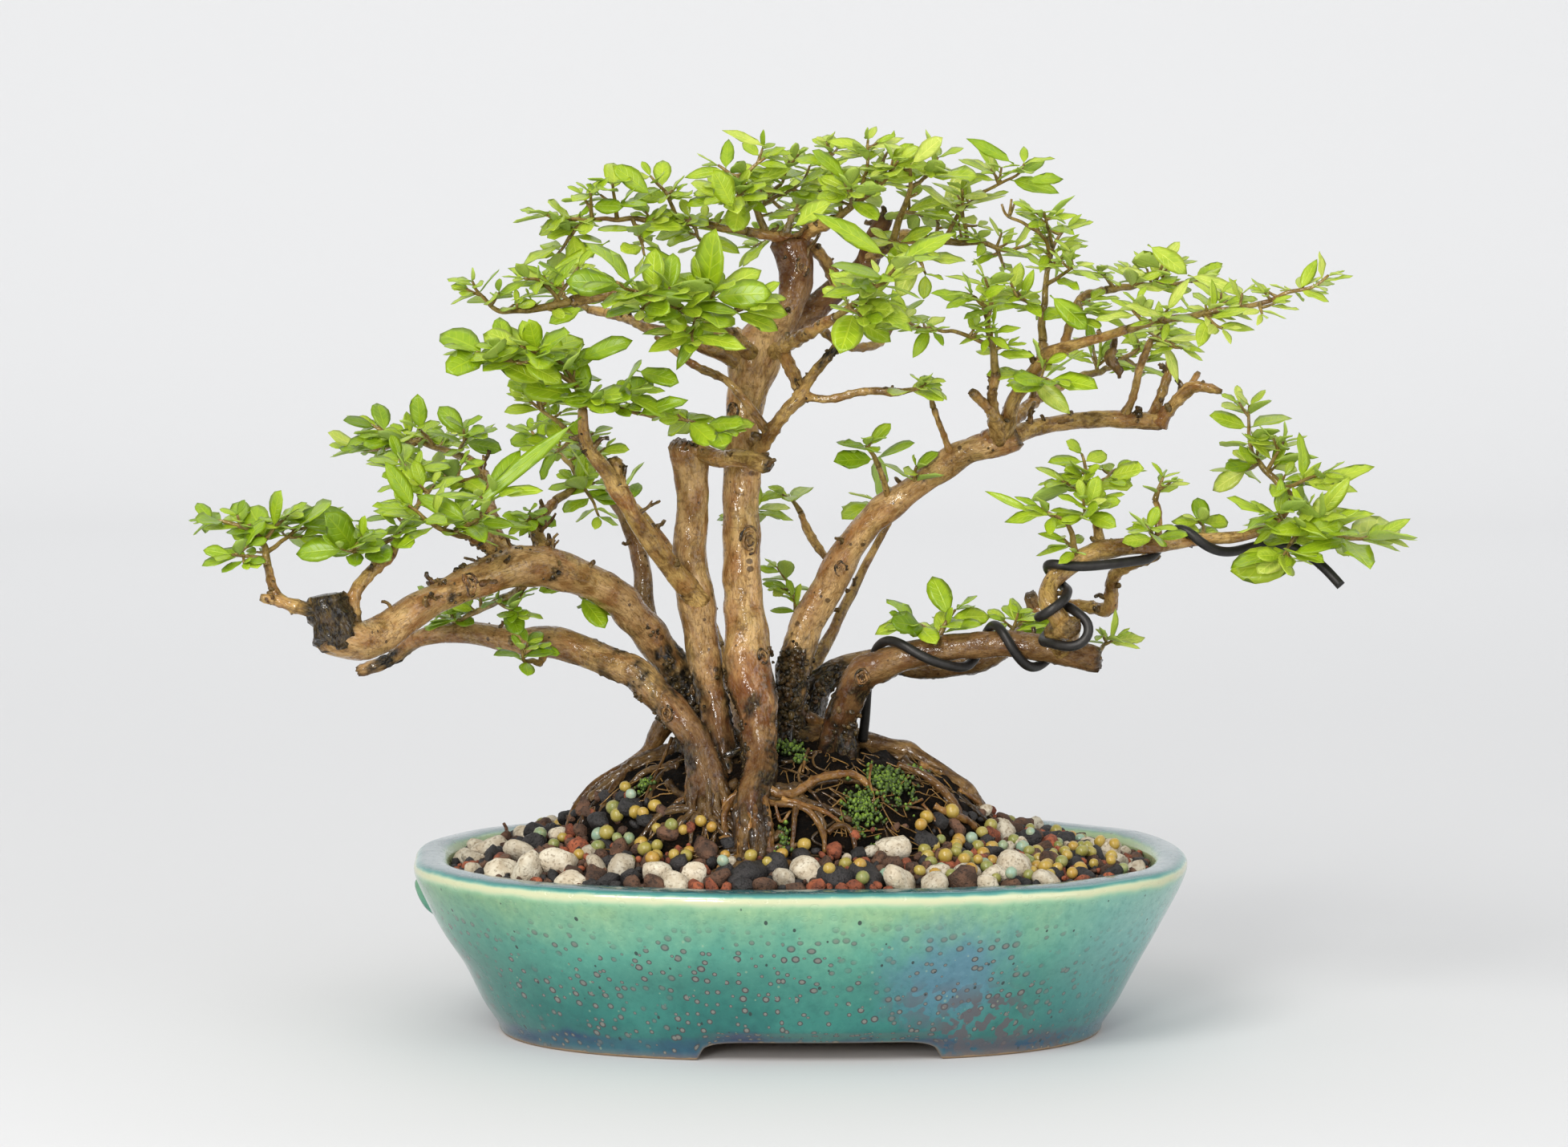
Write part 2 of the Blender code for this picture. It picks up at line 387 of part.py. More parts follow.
        ([(-69, -60, 171), (-72, -63, 176)], 15, 2, OVAL),
        ([(-56, -51, 162), (-48, -50, 160), (-40, -46, 158), (-30, -42, 157), (-24, -40, 155),
          (-20, -42, 154)], 11, 3, OVAL),
        ([(-48, -50, 160), (-44, -57, 164)], 14, 2, OVAL),
    ],
    "front_lean_back_spray": [
        ([(-51, -42, 145), (-61, -34, 155), (-70, -28, 162)], 9, 4, OVAL),
        ([(-66, -31, 159), (-69, -30, 167)], 9, 3, OVAL),
        ([(-58, -36, 152), (-63, -26, 148)], 9, 3, OVAL),
    ],
    "low_branch_spray": [
        ([(34, -19, 97), (37, -17, 104), (40, -16, 108)], 12, 2, OVAL),
        ([(36, -18, 101), (28, -16, 105)], 11, 2, OVAL),
    ],
    "low_branch_small_spray": [
        ([(51, -21, 98), (56, -12, 104), (60, -10, 105)], 9, 3, OVAL),
    ],
    "low_end_blade": [
        ([(76, -22, 96), (79, -12, 100)], 11, 1, LANCE),
    ],
    "wired_up_spray": [
        ([(76, -24, 131), (75, -20, 139), (72, -18, 148)], 9, 3, OVAL),
        ([(75, -21, 137), (67, -26, 141)], 9, 3, OVAL),
        ([(75, -20, 139), (81, -12, 144)], 9, 3, OVAL),
        ([(76, -23, 133), (72, -36, 132)], 9, 3, OVAL),
    ],
    "wired_left_spray": [
        ([(71, -32, 121), (69, -37, 129), (62, -39, 134)], 12, 1, LANCE),
    ],
    "wired_side_spray": [
        ([(91, -18, 136), (93, -18, 142)], 8, 3, LANCE),
    ],
    "wired_mid_spray": [
        ([(91, -25, 125), (90, -36, 129)], 8, 4, OVAL),
    ],
    "wired_mid_rear_spray": [
        ([(104, -22, 126), (103, -12, 131)], 9, 4, OVAL),
    ],
    "wired_upper_spray": [
        ([(127, -14, 136), (122, -10, 141), (116, -6, 148), (115, -4, 156), (115, -4, 160)], 10, 4, OVAL),
        ([(124, -11, 139), (134, -18, 143)], 12, 3, LANCE),
        ([(120, -8, 144), (124, -10, 151)], 10, 3, LANCE),
        ([(118, -7, 146), (113, 4, 143)], 10, 2, OVAL),
    ],
    "wired_end_spray": [
        ([(122, -18, 130), (129, -22, 128), (134, -26, 127), (148, -28, 126)], 20, 3, LANCE),
        ([(124, -19, 129), (123, -34, 133)], 14, 2, LANCE),
        ([(128, -22, 128), (124, -35, 122)], 16, 1, OVAL),
        ([(126, -21, 128), (130, -8, 133)], 12, 2, LANCE),
    ],
    "left_rear_spray": [
        ([(-43, 66, 135), (-47, 68, 139)], 10, 4, OVAL),
    ],
}


def clear_scene():
    for item in list(bpy.data.objects):
        bpy.data.objects.remove(item, do_unlink=True)


def material(name, colour, roughness, metallic=0.0):
    made = bpy.data.materials.new(name)
    made.use_nodes = True
    shader = made.node_tree.nodes["Principled BSDF"]
    shader.inputs["Base Color"].default_value = (*colour, 1.0)
    shader.inputs["Roughness"].default_value = roughness
    shader.inputs["Metallic"].default_value = metallic
    made.diffuse_color = (*colour, 1.0)
    return made


def solid(name, piece, finish=None):
    """An object from (points in mm, faces), with its faces turned outwards."""
    points, faces = piece
    mesh = bpy.data.meshes.new(name)
    mesh.from_pydata([tuple(point) for point in np.asarray(points, float) * MM], [], faces)
    shape = bmesh.new()
    shape.from_mesh(mesh)
    bmesh.ops.recalc_face_normals(shape, faces=shape.faces)
    shape.to_mesh(mesh)
    shape.free()
    if finish:
        mesh.materials.append(finish)
    made = bpy.data.objects.new(name, mesh)
    bpy.context.scene.collection.objects.link(made)
    return made


def evaluated(item):
    """The points in mm and the faces of an object, with its modifiers."""
    seen = item.evaluated_get(bpy.context.evaluated_depsgraph_get())
    mesh = seen.to_mesh()
    points = np.empty(len(mesh.vertices) * 3)
    mesh.vertices.foreach_get("co", points)
    faces = [tuple(face.vertices) for face in mesh.polygons]
    seen.to_mesh_clear()
    return points.reshape(-1, 3) / MM, faces


def fused(name, pieces, finish):
    """One body: the union of all pieces."""
    body = solid(name, pieces[0], finish)
    group = bpy.data.collections.new(name + "_pieces")
    bpy.context.scene.collection.children.link(group)
    for number, piece in enumerate(pieces[1:]):
        part = solid(f"{name}_piece_{number}", piece)
        bpy.context.scene.collection.objects.unlink(part)
        group.objects.link(part)
    union = body.modifiers.new("union", "BOOLEAN")
    union.operation = "UNION"
    union.operand_type = "COLLECTION"
    union.collection = group
    union.solver = "MANIFOLD"
    seen = body.evaluated_get(bpy.context.evaluated_depsgraph_get())
    joined = bpy.data.meshes.new_from_object(seen)
    body.modifiers.clear()
    body.data = joined
    for part in list(group.objects):
        bpy.data.objects.remove(part, do_unlink=True)
    bpy.data.collections.remove(group)
    split_to_triangles(joined)
    return body


def split_to_triangles(mesh):
    shape = bmesh.new()
    shape.from_mesh(mesh)
    bmesh.ops.triangulate(shape, faces=shape.faces)
    shape.to_mesh(mesh)
    shape.free()


def smooth_round(item, angle=40.0):
    item.data.shade_smooth()
    item.data.set_sharp_from_angle(angle=math.radians(angle))


def oval(half_length, half_width, sectors=OVAL_SECTORS, power=OVAL_POWER):
    """Plan points of an oval that is a little squarer than an ellipse."""
    angle = 2 * np.pi * (np.arange(sectors) + 0.5) / sectors
    cosine, sine = np.cos(angle), np.sin(angle)
    x = half_length * np.sign(cosine) * np.abs(cosine) ** (2 / power)
    y = half_width * np.sign(sine) * np.abs(sine) ** (2 / power)
    return x, y


def lofted(rings):
    """Quads between rings that hold the same number of points, with flat ends."""
    count = len(rings[0])
    points = np.concatenate(rings)
    faces = []
    for level in range(len(rings) - 1):
        for i in range(count):
            j = (i + 1) % count
            low, high = level * count, (level + 1) * count
            faces.append((low + i, low + j, high + j, high + i))
    faces.append(tuple(range(count)))
    faces.append(tuple(range(len(points) - count, len(points))))
    return points, faces


def together(pieces):
    """Several (points, faces) pieces as one."""
    points, faces, first = [], [], 0
    for piece_points, piece_faces in pieces:
        points += [tuple(point) for point in piece_points]
        faces += [tuple(index + first for index in face) for face in piece_faces]
        first += len(piece_points)
    return points, faces


def level_ring(half_length, half_width, height):
    x, y = oval(half_length, half_width)
    return np.column_stack((x, y, np.full(len(x), height)))


def wall_at(part):
    """Half sizes of the outer wall at a part of its height, from foot (0) to rim (1)."""
    length = FOOT_HALF_LENGTH + (RIM_HALF_LENGTH - FOOT_HALF_LENGTH) * part
    width = FOOT_HALF_WIDTH + (RIM_HALF_WIDTH - FOOT_HALF_WIDTH) * part
    return length, width


# Inside of the pot, from the lip down to the floor: half length, half width, height
INNER_WALL = [(RIM_HALF_LENGTH - 8.5, RIM_HALF_WIDTH - 11.0, POT_HEIGHT - 1.3),
              (RIM_HALF_LENGTH - 10.5, RIM_HALF_WIDTH - 13.0, POT_HEIGHT - 7.5),
              (RIM_HALF_LENGTH - 26.0, RIM_HALF_WIDTH - 26.0, FLOOR_TOP + 2.5),
              (RIM_HALF_LENGTH - 34.0, RIM_HALF_WIDTH - 33.0, FLOOR_TOP)]


def pot_rings():
    """Rings from the underside, round the foot, up the wall, over the lip and down inside."""
    ring_length = FOOT_HALF_LENGTH - FOOT_RING_WIDTH
    ring_width = FOOT_HALF_WIDTH - FOOT_RING_WIDTH
    rows = [(ring_length - 0.8, ring_width - 0.8, FOOT_RECESS),
            (ring_length, ring_width, 0.0),
            (FOOT_HALF_LENGTH - 1.7, FOOT_HALF_WIDTH - 1.7, 0.0),
            (FOOT_HALF_LENGTH - 0.9, FOOT_HALF_WIDTH - 0.9, 0.9),
            (FOOT_HALF_LENGTH, FOOT_HALF_WIDTH, 3.0),
            (*wall_at(0.39), POT_HEIGHT * 0.38),
            (*wall_at(0.78), POT_HEIGHT * 0.69),
            (*wall_at(0.965), POT_HEIGHT * 0.86),
            (*wall_at(1.0), POT_HEIGHT * 0.935),
            (*wall_at(0.972), POT_HEIGHT * 0.972),
            (*wall_at(0.90), POT_HEIGHT * 0.996),
            (RIM_HALF_LENGTH - 6.0, RIM_HALF_WIDTH - 8.0, POT_HEIGHT)]
    return [level_ring(*row) for row in rows + INNER_WALL]


def arch_cutter():
    """The low passage under the foot, with rounded shoulders, right through from front to back."""
    shoulder = [(1.0, -1.0), (1.0, 0.0), (0.93, 0.42), (0.875, 0.85), (0.81, 1.0)]
    right = [(ARCH_CENTRE + ARCH_HALF_WIDTH * x, ARCH_HEIGHT * z) for x, z in shoulder]
    left = [(ARCH_CENTRE - ARCH_HALF_WIDTH * x, ARCH_HEIGHT * z) for x, z in reversed(shoulder)]
    outline = right + left
    reach = RIM_HALF_WIDTH + 5.0
    return lofted([np.array([(x, y, z) for x, z in outline]) for y in (-reach, reach)])


def cylinder(x, y, radius, low, high, sectors=20):
    angle = 2 * np.pi * np.arange(sectors) / sectors
    rings = [np.column_stack((x + radius * np.cos(angle), y + radius * np.sin(angle), np.full(sectors, z)))
             for z in (low, high)]
    return lofted(rings)


def box(x, y, half, low, high):
    corners = [(x - half, y - half), (x + half, y - half), (x + half, y + half), (x - half, y + half)]
    return lofted([np.array([(cx, cy, z) for cx, cy in corners]) for z in (low, high)])


def apply_tool(target, name, piece, operation="DIFFERENCE"):
    """A hidden tool that cuts, or adds to, its target."""
    tool = solid(name, piece)
    tool.hide_render = True
    tool.display_type = "WIRE"
    step = target.modifiers.new(name, "BOOLEAN")
    step.operation = operation
    step.object = tool
    return tool


def ear():
    """A small half-round lug, pressed on under the lip at the left end."""
    shape = bmesh.new()
    bmesh.ops.create_icosphere(shape, subdivisions=1, radius=EAR_RADIUS)
    length = wall_at(0.70)[0]
    points = np.array([vert.co for vert in shape.verts]) * (0.75, 1.0, 1.0) + (-length, 0.0, POT_HEIGHT * 0.745)
    faces = [tuple(vert.index for vert in face.verts) for face in shape.faces]
    shape.free()
    return points, faces


def make_pot(finish):
    pot = solid("pot", lofted(pot_rings()), finish)
    smooth_round(pot)
    apply_tool(pot, "ear_tool", ear(), "UNION")
    apply_tool(pot, "arch_tool", arch_cutter())
    for side in (-1, 1):
        hole = cylinder(side * DRAIN_SPACING, 0.0, DRAIN_RADIUS, -2.0, FLOOR_TOP + 4.0)
        apply_tool(pot, f"drain_tool_{side + 1}", hole)
    return pot


def make_drain_mesh(name, x, finish):
    """A square plate with four square holes, lying on the pot's floor over a drain hole."""
    low = FLOOR_TOP + CLEARANCE
    plate = solid(name, box(x, 0.0, MESH_SIZE / 2, low, low + MESH_THICKNESS), finish)
    holes = [box(x + i * MESH_OPENING, j * MESH_OPENING, MESH_OPENING / 2, low - 1.0, low + MESH_THICKNESS + 1.0)
             for i in (-1, 1) for j in (-1, 1)]
    apply_tool(plate, f"{name}_tool", together(holes))
    return plate


def pad_reach(x, y):
    """0 at the middle of the root pad and 1 at its edge."""
    return np.hypot((x - PAD_CENTRE_X) / PAD_HALF_LENGTH, y / PAD_HALF_WIDTH)


def pad_height(x, y):
    """Top of the root pad: a dome with full shoulders and low lumps."""
    reach = np.minimum(pad_reach(x, y), 1.0)
    lumps = 0.9 * np.sin(0.23 * x + 0.6) * np.cos(0.31 * y) + 0.6 * np.sin(0.47 * x - 0.36 * y)
    return PAD_EDGE + PAD_HEIGHT * (1 - reach ** 3) ** 0.8 + lumps * (1 - reach) ** 0.5


def soil_height(x, y):
    """Top of the gravel: higher against the root pad, with a grain every 7 mm or so."""
    bank = BANK_HEIGHT * np.exp(-np.maximum(pad_reach(x, y) - 1, 0) * 3.2)
    grain = np.abs(np.sin(0.43 * x + 0.8 * np.sin(0.21 * y)) * np.cos(0.46 * y + 0.7 * np.sin(0.19 * x)))
    return SOIL_LEVEL + bank + GRAIN_HEIGHT * grain


def pad_piece(sectors=30):
    """The root pad as a closed dome with a flat underside."""
    angle = 2 * np.pi * np.arange(sectors) / sectors
    rings = []
    for reach in (1.0, 1.0, 0.95, 0.86, 0.72, 0.50, 0.24):
        x = PAD_CENTRE_X + PAD_HALF_LENGTH * reach * np.cos(angle)
        y = PAD_HALF_WIDTH * reach * np.sin(angle)
        rings.append(np.column_stack((x, y, pad_height(x, y))))
    rings[0][:, 2] = PAD_FOOT
    return lofted(rings)


def make_substrate(finish):
    """Gravel between the root pad and the pot's wall, with a shallow seat under the pad."""
    outer = INNER_WALL[0]
    rim_x, rim_y = oval(outer[0] - 0.8, outer[1] - 0.8)
    angle = np.arctan2(rim_y / PAD_HALF_WIDTH, (rim_x - PAD_CENTRE_X) / PAD_HALF_LENGTH)
    edge_x = PAD_CENTRE_X + (PAD_HALF_LENGTH + 0.5) * np.cos(angle)
    edge_y = (PAD_HALF_WIDTH + 0.5) * np.sin(angle)
    seat = np.column_stack((edge_x, edge_y, np.full(len(edge_x), PAD_FOOT - CLEARANCE)))
    rings = [seat]
    for share in (0.0, 0.2, 0.42, 0.64, 0.85):
        x = edge_x + (rim_x - edge_x) * share
        y = edge_y + (rim_y - edge_y) * share
        rings.append(np.column_stack((x, y, soil_height(x, y))))
    rings.append(np.column_stack((rim_x, rim_y, np.full(len(rim_x), SOIL_LEVEL - 0.4))))
    for length, width, height in INNER_WALL[1:]:
        rings.append(level_ring(length - 0.5, width - 0.5, height + 0.4))
    substrate = solid("substrate", lofted(rings), finish)
    for side in (-1, 1):
        pocket = box(side * DRAIN_SPACING, 0.0, MESH_SIZE / 2 + 0.4, FLOOR_TOP - 2.0,
                     FLOOR_TOP + 2 * CLEARANCE + MESH_THICKNESS)
        apply_tool(substrate, f"mesh_pocket_{side + 1}", pocket)
    return substrate


def placed(rows):
    """Drawn rows slid along their lines of sight to their depths; a radius is left alone."""
    rows = np.array(rows, float)
    reach = (rows[:, 1] - VIEWPOINT[1]) / -VIEWPOINT[1]
    moved = rows.copy()
    for axis in (0, 2):
        moved[:, axis] = VIEWPOINT[axis] + (rows[:, axis] - VIEWPOINT[axis]) * reach
    return moved


def unit(vector):
    return vector / max(np.linalg.norm(vector), 1e-9)


def tube(points, radii, sides):
    """A closed tube: rings square to the path, each carried on from the one before without twist."""
    points = np.asarray(points, float)
    ways = [unit(points[1] - points[0])]
    for i in range(1, len(points) - 1):
        ways.append(unit(unit(points[i] - points[i - 1]) + unit(points[i + 1] - points[i])))
    ways.append(unit(points[-1] - points[-2]))
    start = np.array((0.0, 1.0, 0.0)) if abs(ways[0][1]) < 0.8 else np.array((1.0, 0.0, 0.0))
    side = unit(np.cross(ways[0], start))
    angle = 2 * np.pi * np.arange(sides) / sides
    rings = []
    for point, way, radius in zip(points, ways, radii):
        side = unit(side - way * np.dot(side, way))
        other = np.cross(way, side)
        rings.append(point + radius * (np.outer(np.cos(angle), side) + np.outer(np.sin(angle), other)))
    return lofted(rings)


def smooth_path(points, step):
    """Points about a step apart on a Catmull-Rom curve through the given ones."""
    points = np.asarray(points, float)
    padded = np.vstack((2 * points[0] - points[1], points, 2 * points[-1] - points[-2]))
    path = []
    for i in range(1, len(padded) - 2):
        before, start, end, after = padded[i - 1:i + 3]
        count = max(1, round(np.linalg.norm((end - start)[:3]) / step))
        for k in range(count):
            t = k / count
            path.append(0.5 * (2 * start + (end - before) * t + (2 * before - 5 * start + 4 * end - after) * t ** 2
                               + (3 * start - before - 3 * end + after) * t ** 3))
    path.append(points[-1])
    return np.array(path)


def sides_for(radius):
    """More sides on thicker wood."""
    if radius > 4.0:
        return 6
    return 5 if radius > 1.9 else 4


def root_rows(root):
    """A surface root's rows in space, from its plan."""
    return np.array([(x, y, float(pad_height(x, y)) + lift, radius) for x, y, radius, lift in root])


def make_tree(finish):
    """Trunks, bare branches and surface roots, grown into one body with the root pad."""
    stems = [placed(rows) for rows in (*TRUNKS.values(), *BRANCHES.values())]
    stems += [root_rows(root) for root in ROOTS]
    pieces = [pad_piece()]
    for rows in stems:
        pieces.append(tube(rows[:, :3], rows[:, 3], sides_for(rows[:, 3].max())))
    tree = fused("tree", pieces, finish)
    smooth_round(tree, 50.0)
    return tree, stems


def clear_of_stems(path, stems, radius):
    """Push a path's points outwards until they lie clear of every stem."""
    path = path.copy()
    starts = np.concatenate([rows[:-1] for rows in stems])
    ends = np.concatenate([rows[1:] for rows in stems])
    spans = ends[:, :3] - starts[:, :3]
    lengths = np.maximum((spans ** 2).sum(axis=1), 1e-9)
    for _ in range(60):
        middle = path.copy()
        middle[1:-1] = 0.9 * path[1:-1] + 0.05 * (path[:-2] + path[2:])
        path[1:-1] = middle[1:-1]
        for i, point in enumerate(path):
            share = np.clip(((point - starts[:, :3]) * spans).sum(axis=1) / lengths, 0, 1)
            nearest = starts[:, :3] + spans * share[:, None]
            away = point - nearest
            distance = np.linalg.norm(away, axis=1)
            wanted = starts[:, 3] + (ends[:, 3] - starts[:, 3]) * share + radius + CLEARANCE + 0.1
            worst = np.argmax(wanted - distance)
            if wanted[worst] > distance[worst]:
                path[i] = nearest[worst] + away[worst] / distance[worst] * wanted[worst]
    return path


def make_wire(stems, finish):
    """The training wire, wound round the low right trunk and its branch."""
    route = placed(np.array(WIRE_ROUTE, float))
    path = clear_of_stems(smooth_path(route, WIRE_STEP), stems, WIRE_RADIUS)
    wire = solid("training_wire", tube(path, np.full(len(path), WIRE_RADIUS), WIRE_SIDES), finish)
    smooth_round(wire)
    return wire


def blade(base, along, up, length, form, grow=0.0):
    """A leaf: a lens-shaped blade with a fold at its midrib, drooping to its tip.

    A grown blade is the same leaf with a margin all round, used to keep leaves apart.
    """
    ratio, widest = form
    along = unit(along)
    across = unit(np.cross(along, up))
    up = np.cross(across, along)
    half = 0.5 * length * ratio + grow
    thick = 0.5 * LEAF_THICKNESS + grow
    first = half * (1.0 if widest < 0.5 else 0.82)
    second = half * (0.72 if widest < 0.5 else 1.0)
    stations = [(0.32, first), (0.68, second)]

    def on_rib(share):
        return base + along * (share * length) - up * (LEAF_DROOP * length * share ** 2)

    points = [base - along * 0.35]
    for share, width in stations:
        fold = up * LEAF_FOLD * width
        points += [on_rib(share) - across * width + fold, on_rib(share) + across * width + fold]
    points.append(on_rib(1.0) + along * grow)
    points += [on_rib(0.5) + up * thick, on_rib(0.5) - up * thick]
    outline = (0, 1, 3, 5, 4, 2)
    faces = [(start, end, middle) for middle in (6, 7) for start, end in zip(outline, outline[1:] + outline[:1])]
    return np.array(points), faces


def tree_of(pieces):
    """A search tree over the faces of all the pieces."""
    return BVHTree.FromPolygons(*together(pieces))


class Obstacles:
    """What is already in its place, kept with boxes for a quick first test."""

    def __init__(self, fixed):
        self.fixed = tree_of(fixed)
        self.others = []

    def add(self, owner, pieces):
        for piece in pieces:
            points = np.asarray(piece[0])
            self.others.append((owner, points.min(axis=0), points.max(axis=0), tree_of([piece])))

    def touch(self, owner, piece):
        search = tree_of([piece])
        if search.overlap(self.fixed):
            return True
        low, high = piece[0].min(axis=0), piece[0].max(axis=0)
        for other, other_low, other_high, other_search in self.others:
            if other == owner or (other_low > high).any() or (other_high < low).any():
                continue
            if search.overlap(other_search):
                return True
        return False

    def buried(self, point):
        """Inside the fixed pieces, or nearer than the clearance to them."""
        nearest, normal, _, distance = self.fixed.find_nearest(Vector(point))
        return (Vector(point) - nearest).dot(normal) < 0 or distance < CLEARANCE


def cut_path(path, start):
    """The part of a polyline beyond a distance along it."""
    steps = np.linalg.norm(np.diff(path, axis=0), axis=1)
    reached = np.concatenate(([0.0], np.cumsum(steps)))
    index = int(np.searchsorted(reached, start, side="right")) - 1
    index = min(index, len(steps) - 1)
    share = (start - reached[index]) / steps[index]
    first = path[index] + (path[index + 1] - path[index]) * share
    rest = path[index + 1:]
    if np.linalg.norm(rest[0] - first) < 0.8 and len(rest) > 1:
        rest = rest[1:]
    return np.vstack((first, rest))


def twig(path, thick, sides, margin=0.0):
    """A shoot's tube, thinning to its tip."""
    return tube(path, np.linspace(thick, TWIG_RADIUS, len(path)) + margin, sides)


def twigs_of(paths, thick):
    """A leafy stem's main shoot and side shoots as tubes."""
    return [twig(paths[0], thick, 3)] + [twig(path, SIDE_TWIG_RADIUS, 3) for path in paths[1:]]


def shortened(path, length):
    """A shoot drawn to the middle of its tip leaf, ended where that leaf begins."""
    total = np.linalg.norm(np.diff(path, axis=0), axis=1).sum()
    kept = max(total - 0.5 * length, 0.45 * total)
    return cut_path(path[::-1], total - kept)[::-1]


def clear_twigs(name, shoots, obstacles):
    """The stem's shoots as paths, bent clear of all else and started just off the bark."""
    drawn = [shortened(placed(points), length) for points, length, _, _ in shoots]
    root = drawn[0][0]
    thick = min(0.65 + 0.1 * len(drawn[0]), 1.2)
    for bend in BENDS:
        for way in (BEND_WAYS if bend else BEND_WAYS[:1]):
            paths = []
            for path in drawn:
                share = np.minimum(np.linalg.norm(path - root, axis=1) / 10.0, 1.0)
                paths.append(path + np.outer(share * bend, way))
            for start in np.arange(0.0, 9.0, 0.3):
                main = cut_path(paths[0], start)
                if obstacles.buried(main[0]):
                    continue
                if obstacles.touch(name, twig(main, thick, 5, CLEARANCE)):
                    continue
                sides = [snapped(path, main) for path in paths[1:]]
                if any(obstacles.touch(name, twig(path, SIDE_TWIG_RADIUS, 5, CLEARANCE)) for path in sides):
                    break
                return [main, *sides], thick
    raise RuntimeError(f"{name} finds no clear way")


def snapped(path, main):
    """A side shoot moved to spring from the middle of the main shoot."""
    best = None
    for start, end in zip(main[:-1], main[1:]):
        span = end - start
        share = np.clip(np.dot(path[0] - start, span) / np.dot(span, span), 0.05, 0.95)
        point = start + span * share
        distance = np.linalg.norm(point - path[0])
        if best is None or distance < best[0]:
            best = (distance, point)
    return np.vstack((best[1], path[1:]))


def leaf_places(path, length, pairs, below, draw):
    """Where leaves stand on a shoot: one at the tip, and below it up to two, opposite each other."""
    steps = np.linalg.norm(np.diff(path, axis=0), axis=1)
    reached = np.concatenate(([0.0], np.cumsum(steps)))
    total = reached[-1]
    places = [(total, None, length)] if pairs else []
    back = min(2.2 + draw.uniform(-0.4, 0.4), 0.5 * total)
    turn = draw.uniform(-25, 25)
    if pairs > 1:
        places += [(total - back, turn + side, length * draw.uniform(0.85, 1.05)) for side in (0.0, 180.0)[:below]]
    return [(at_distance(path, reached, where), turn, size) for where, turn, size in places]


def at_distance(path, reached, where):
    index = min(int(np.searchsorted(reached, where, side="right")) - 1, len(path) - 2)
    span = path[index + 1] - path[index]
    share = (where - reached[index]) / np.linalg.norm(span)
    return path[index] + span * share, unit(span)


def leaf_frame(point, way, turn, draw):
    """A leaf's own direction and the way its face looks."""
    sky = unit(np.array((0.0, 0.0, 1.0)) + 0.4 * unit(np.array((point[0], point[1], 0.0)))
               + np.array([draw.uniform(-0.25, 0.25) for _ in range(3)]))
    if turn is None:
        return unit(way + sky * draw.uniform(0.0, 0.3)), sky
    side = unit(np.cross(way, np.array((0.0, 0.0, 1.0)) + 0.01 * way[0]))
    other = np.cross(side, way)
    lateral = side * math.cos(math.radians(turn)) + other * math.sin(math.radians(turn))
    spread = math.radians(draw.uniform(50, 70))
    return unit(way * math.cos(spread) + lateral * math.sin(spread) + sky * 0.15), sky


def make_leafy_stem(name, shoots, paths, thick, obstacles, finish):
    """One leafy stem: its shoots and every leaf that finds room, fused into one body."""
    draw = random.Random(name)
    twigs = twigs_of(paths, thick)
    blades = []
    for number, (path, (_, length, pairs, form)) in enumerate(zip(paths, shoots)):
        below = 2 if number == 0 or length > SMALL_LEAF else int(len(shoots) < BUSY_STEM)
        for (point, way), turn, size in leaf_places(path, length, pairs, below, draw):
            for attempt in range(16):
                shift = draw.uniform(-1, 1) * 7.0 * attempt
                turned = None if turn is None else turn + shift
                along, up = leaf_frame(point, way, turned, draw)
                if turn is None and attempt:
                    along = unit(along + 0.05 * attempt * np.array([draw.uniform(-1, 1) for _ in range(3)]))
                shrink = 1.0 - 0.02 * attempt
                if obstacles.touch(name, blade(point, along, up, size * shrink, form, CLEARANCE)):
                    continue
                leaf = blade(point, along, up, size * shrink, form)
                outer_part = blade(point + along * 1.8, along, up, size * shrink - 1.8, form)
                if any(tree_of([outer_part]).overlap(tree_of([other])) for other in blades):
                    continue
                blades.append(leaf)
                break
    made = fused(name, twigs + blades, finish)
    obstacles.add(name, twigs + blades)
    smooth_round(made)
    return made, len(blades)


def stand_on_centre(nodes, tools):
    """Move all so that the box round the nodes is centred over the origin and stands on z = 0."""
    points = np.concatenate([evaluated(node)[0] for node in nodes])
    middle = (points.min(axis=0) + points.max(axis=0)) / 2
    stand = bpy.data.objects.new("stand", None)
    bpy.context.scene.collection.objects.link(stand)
    for item in (*nodes, *tools):
        item.parent = stand
    stand.location = (-middle[0] * MM, -middle[1] * MM, -points[:, 2].min() * MM)
    return points, middle


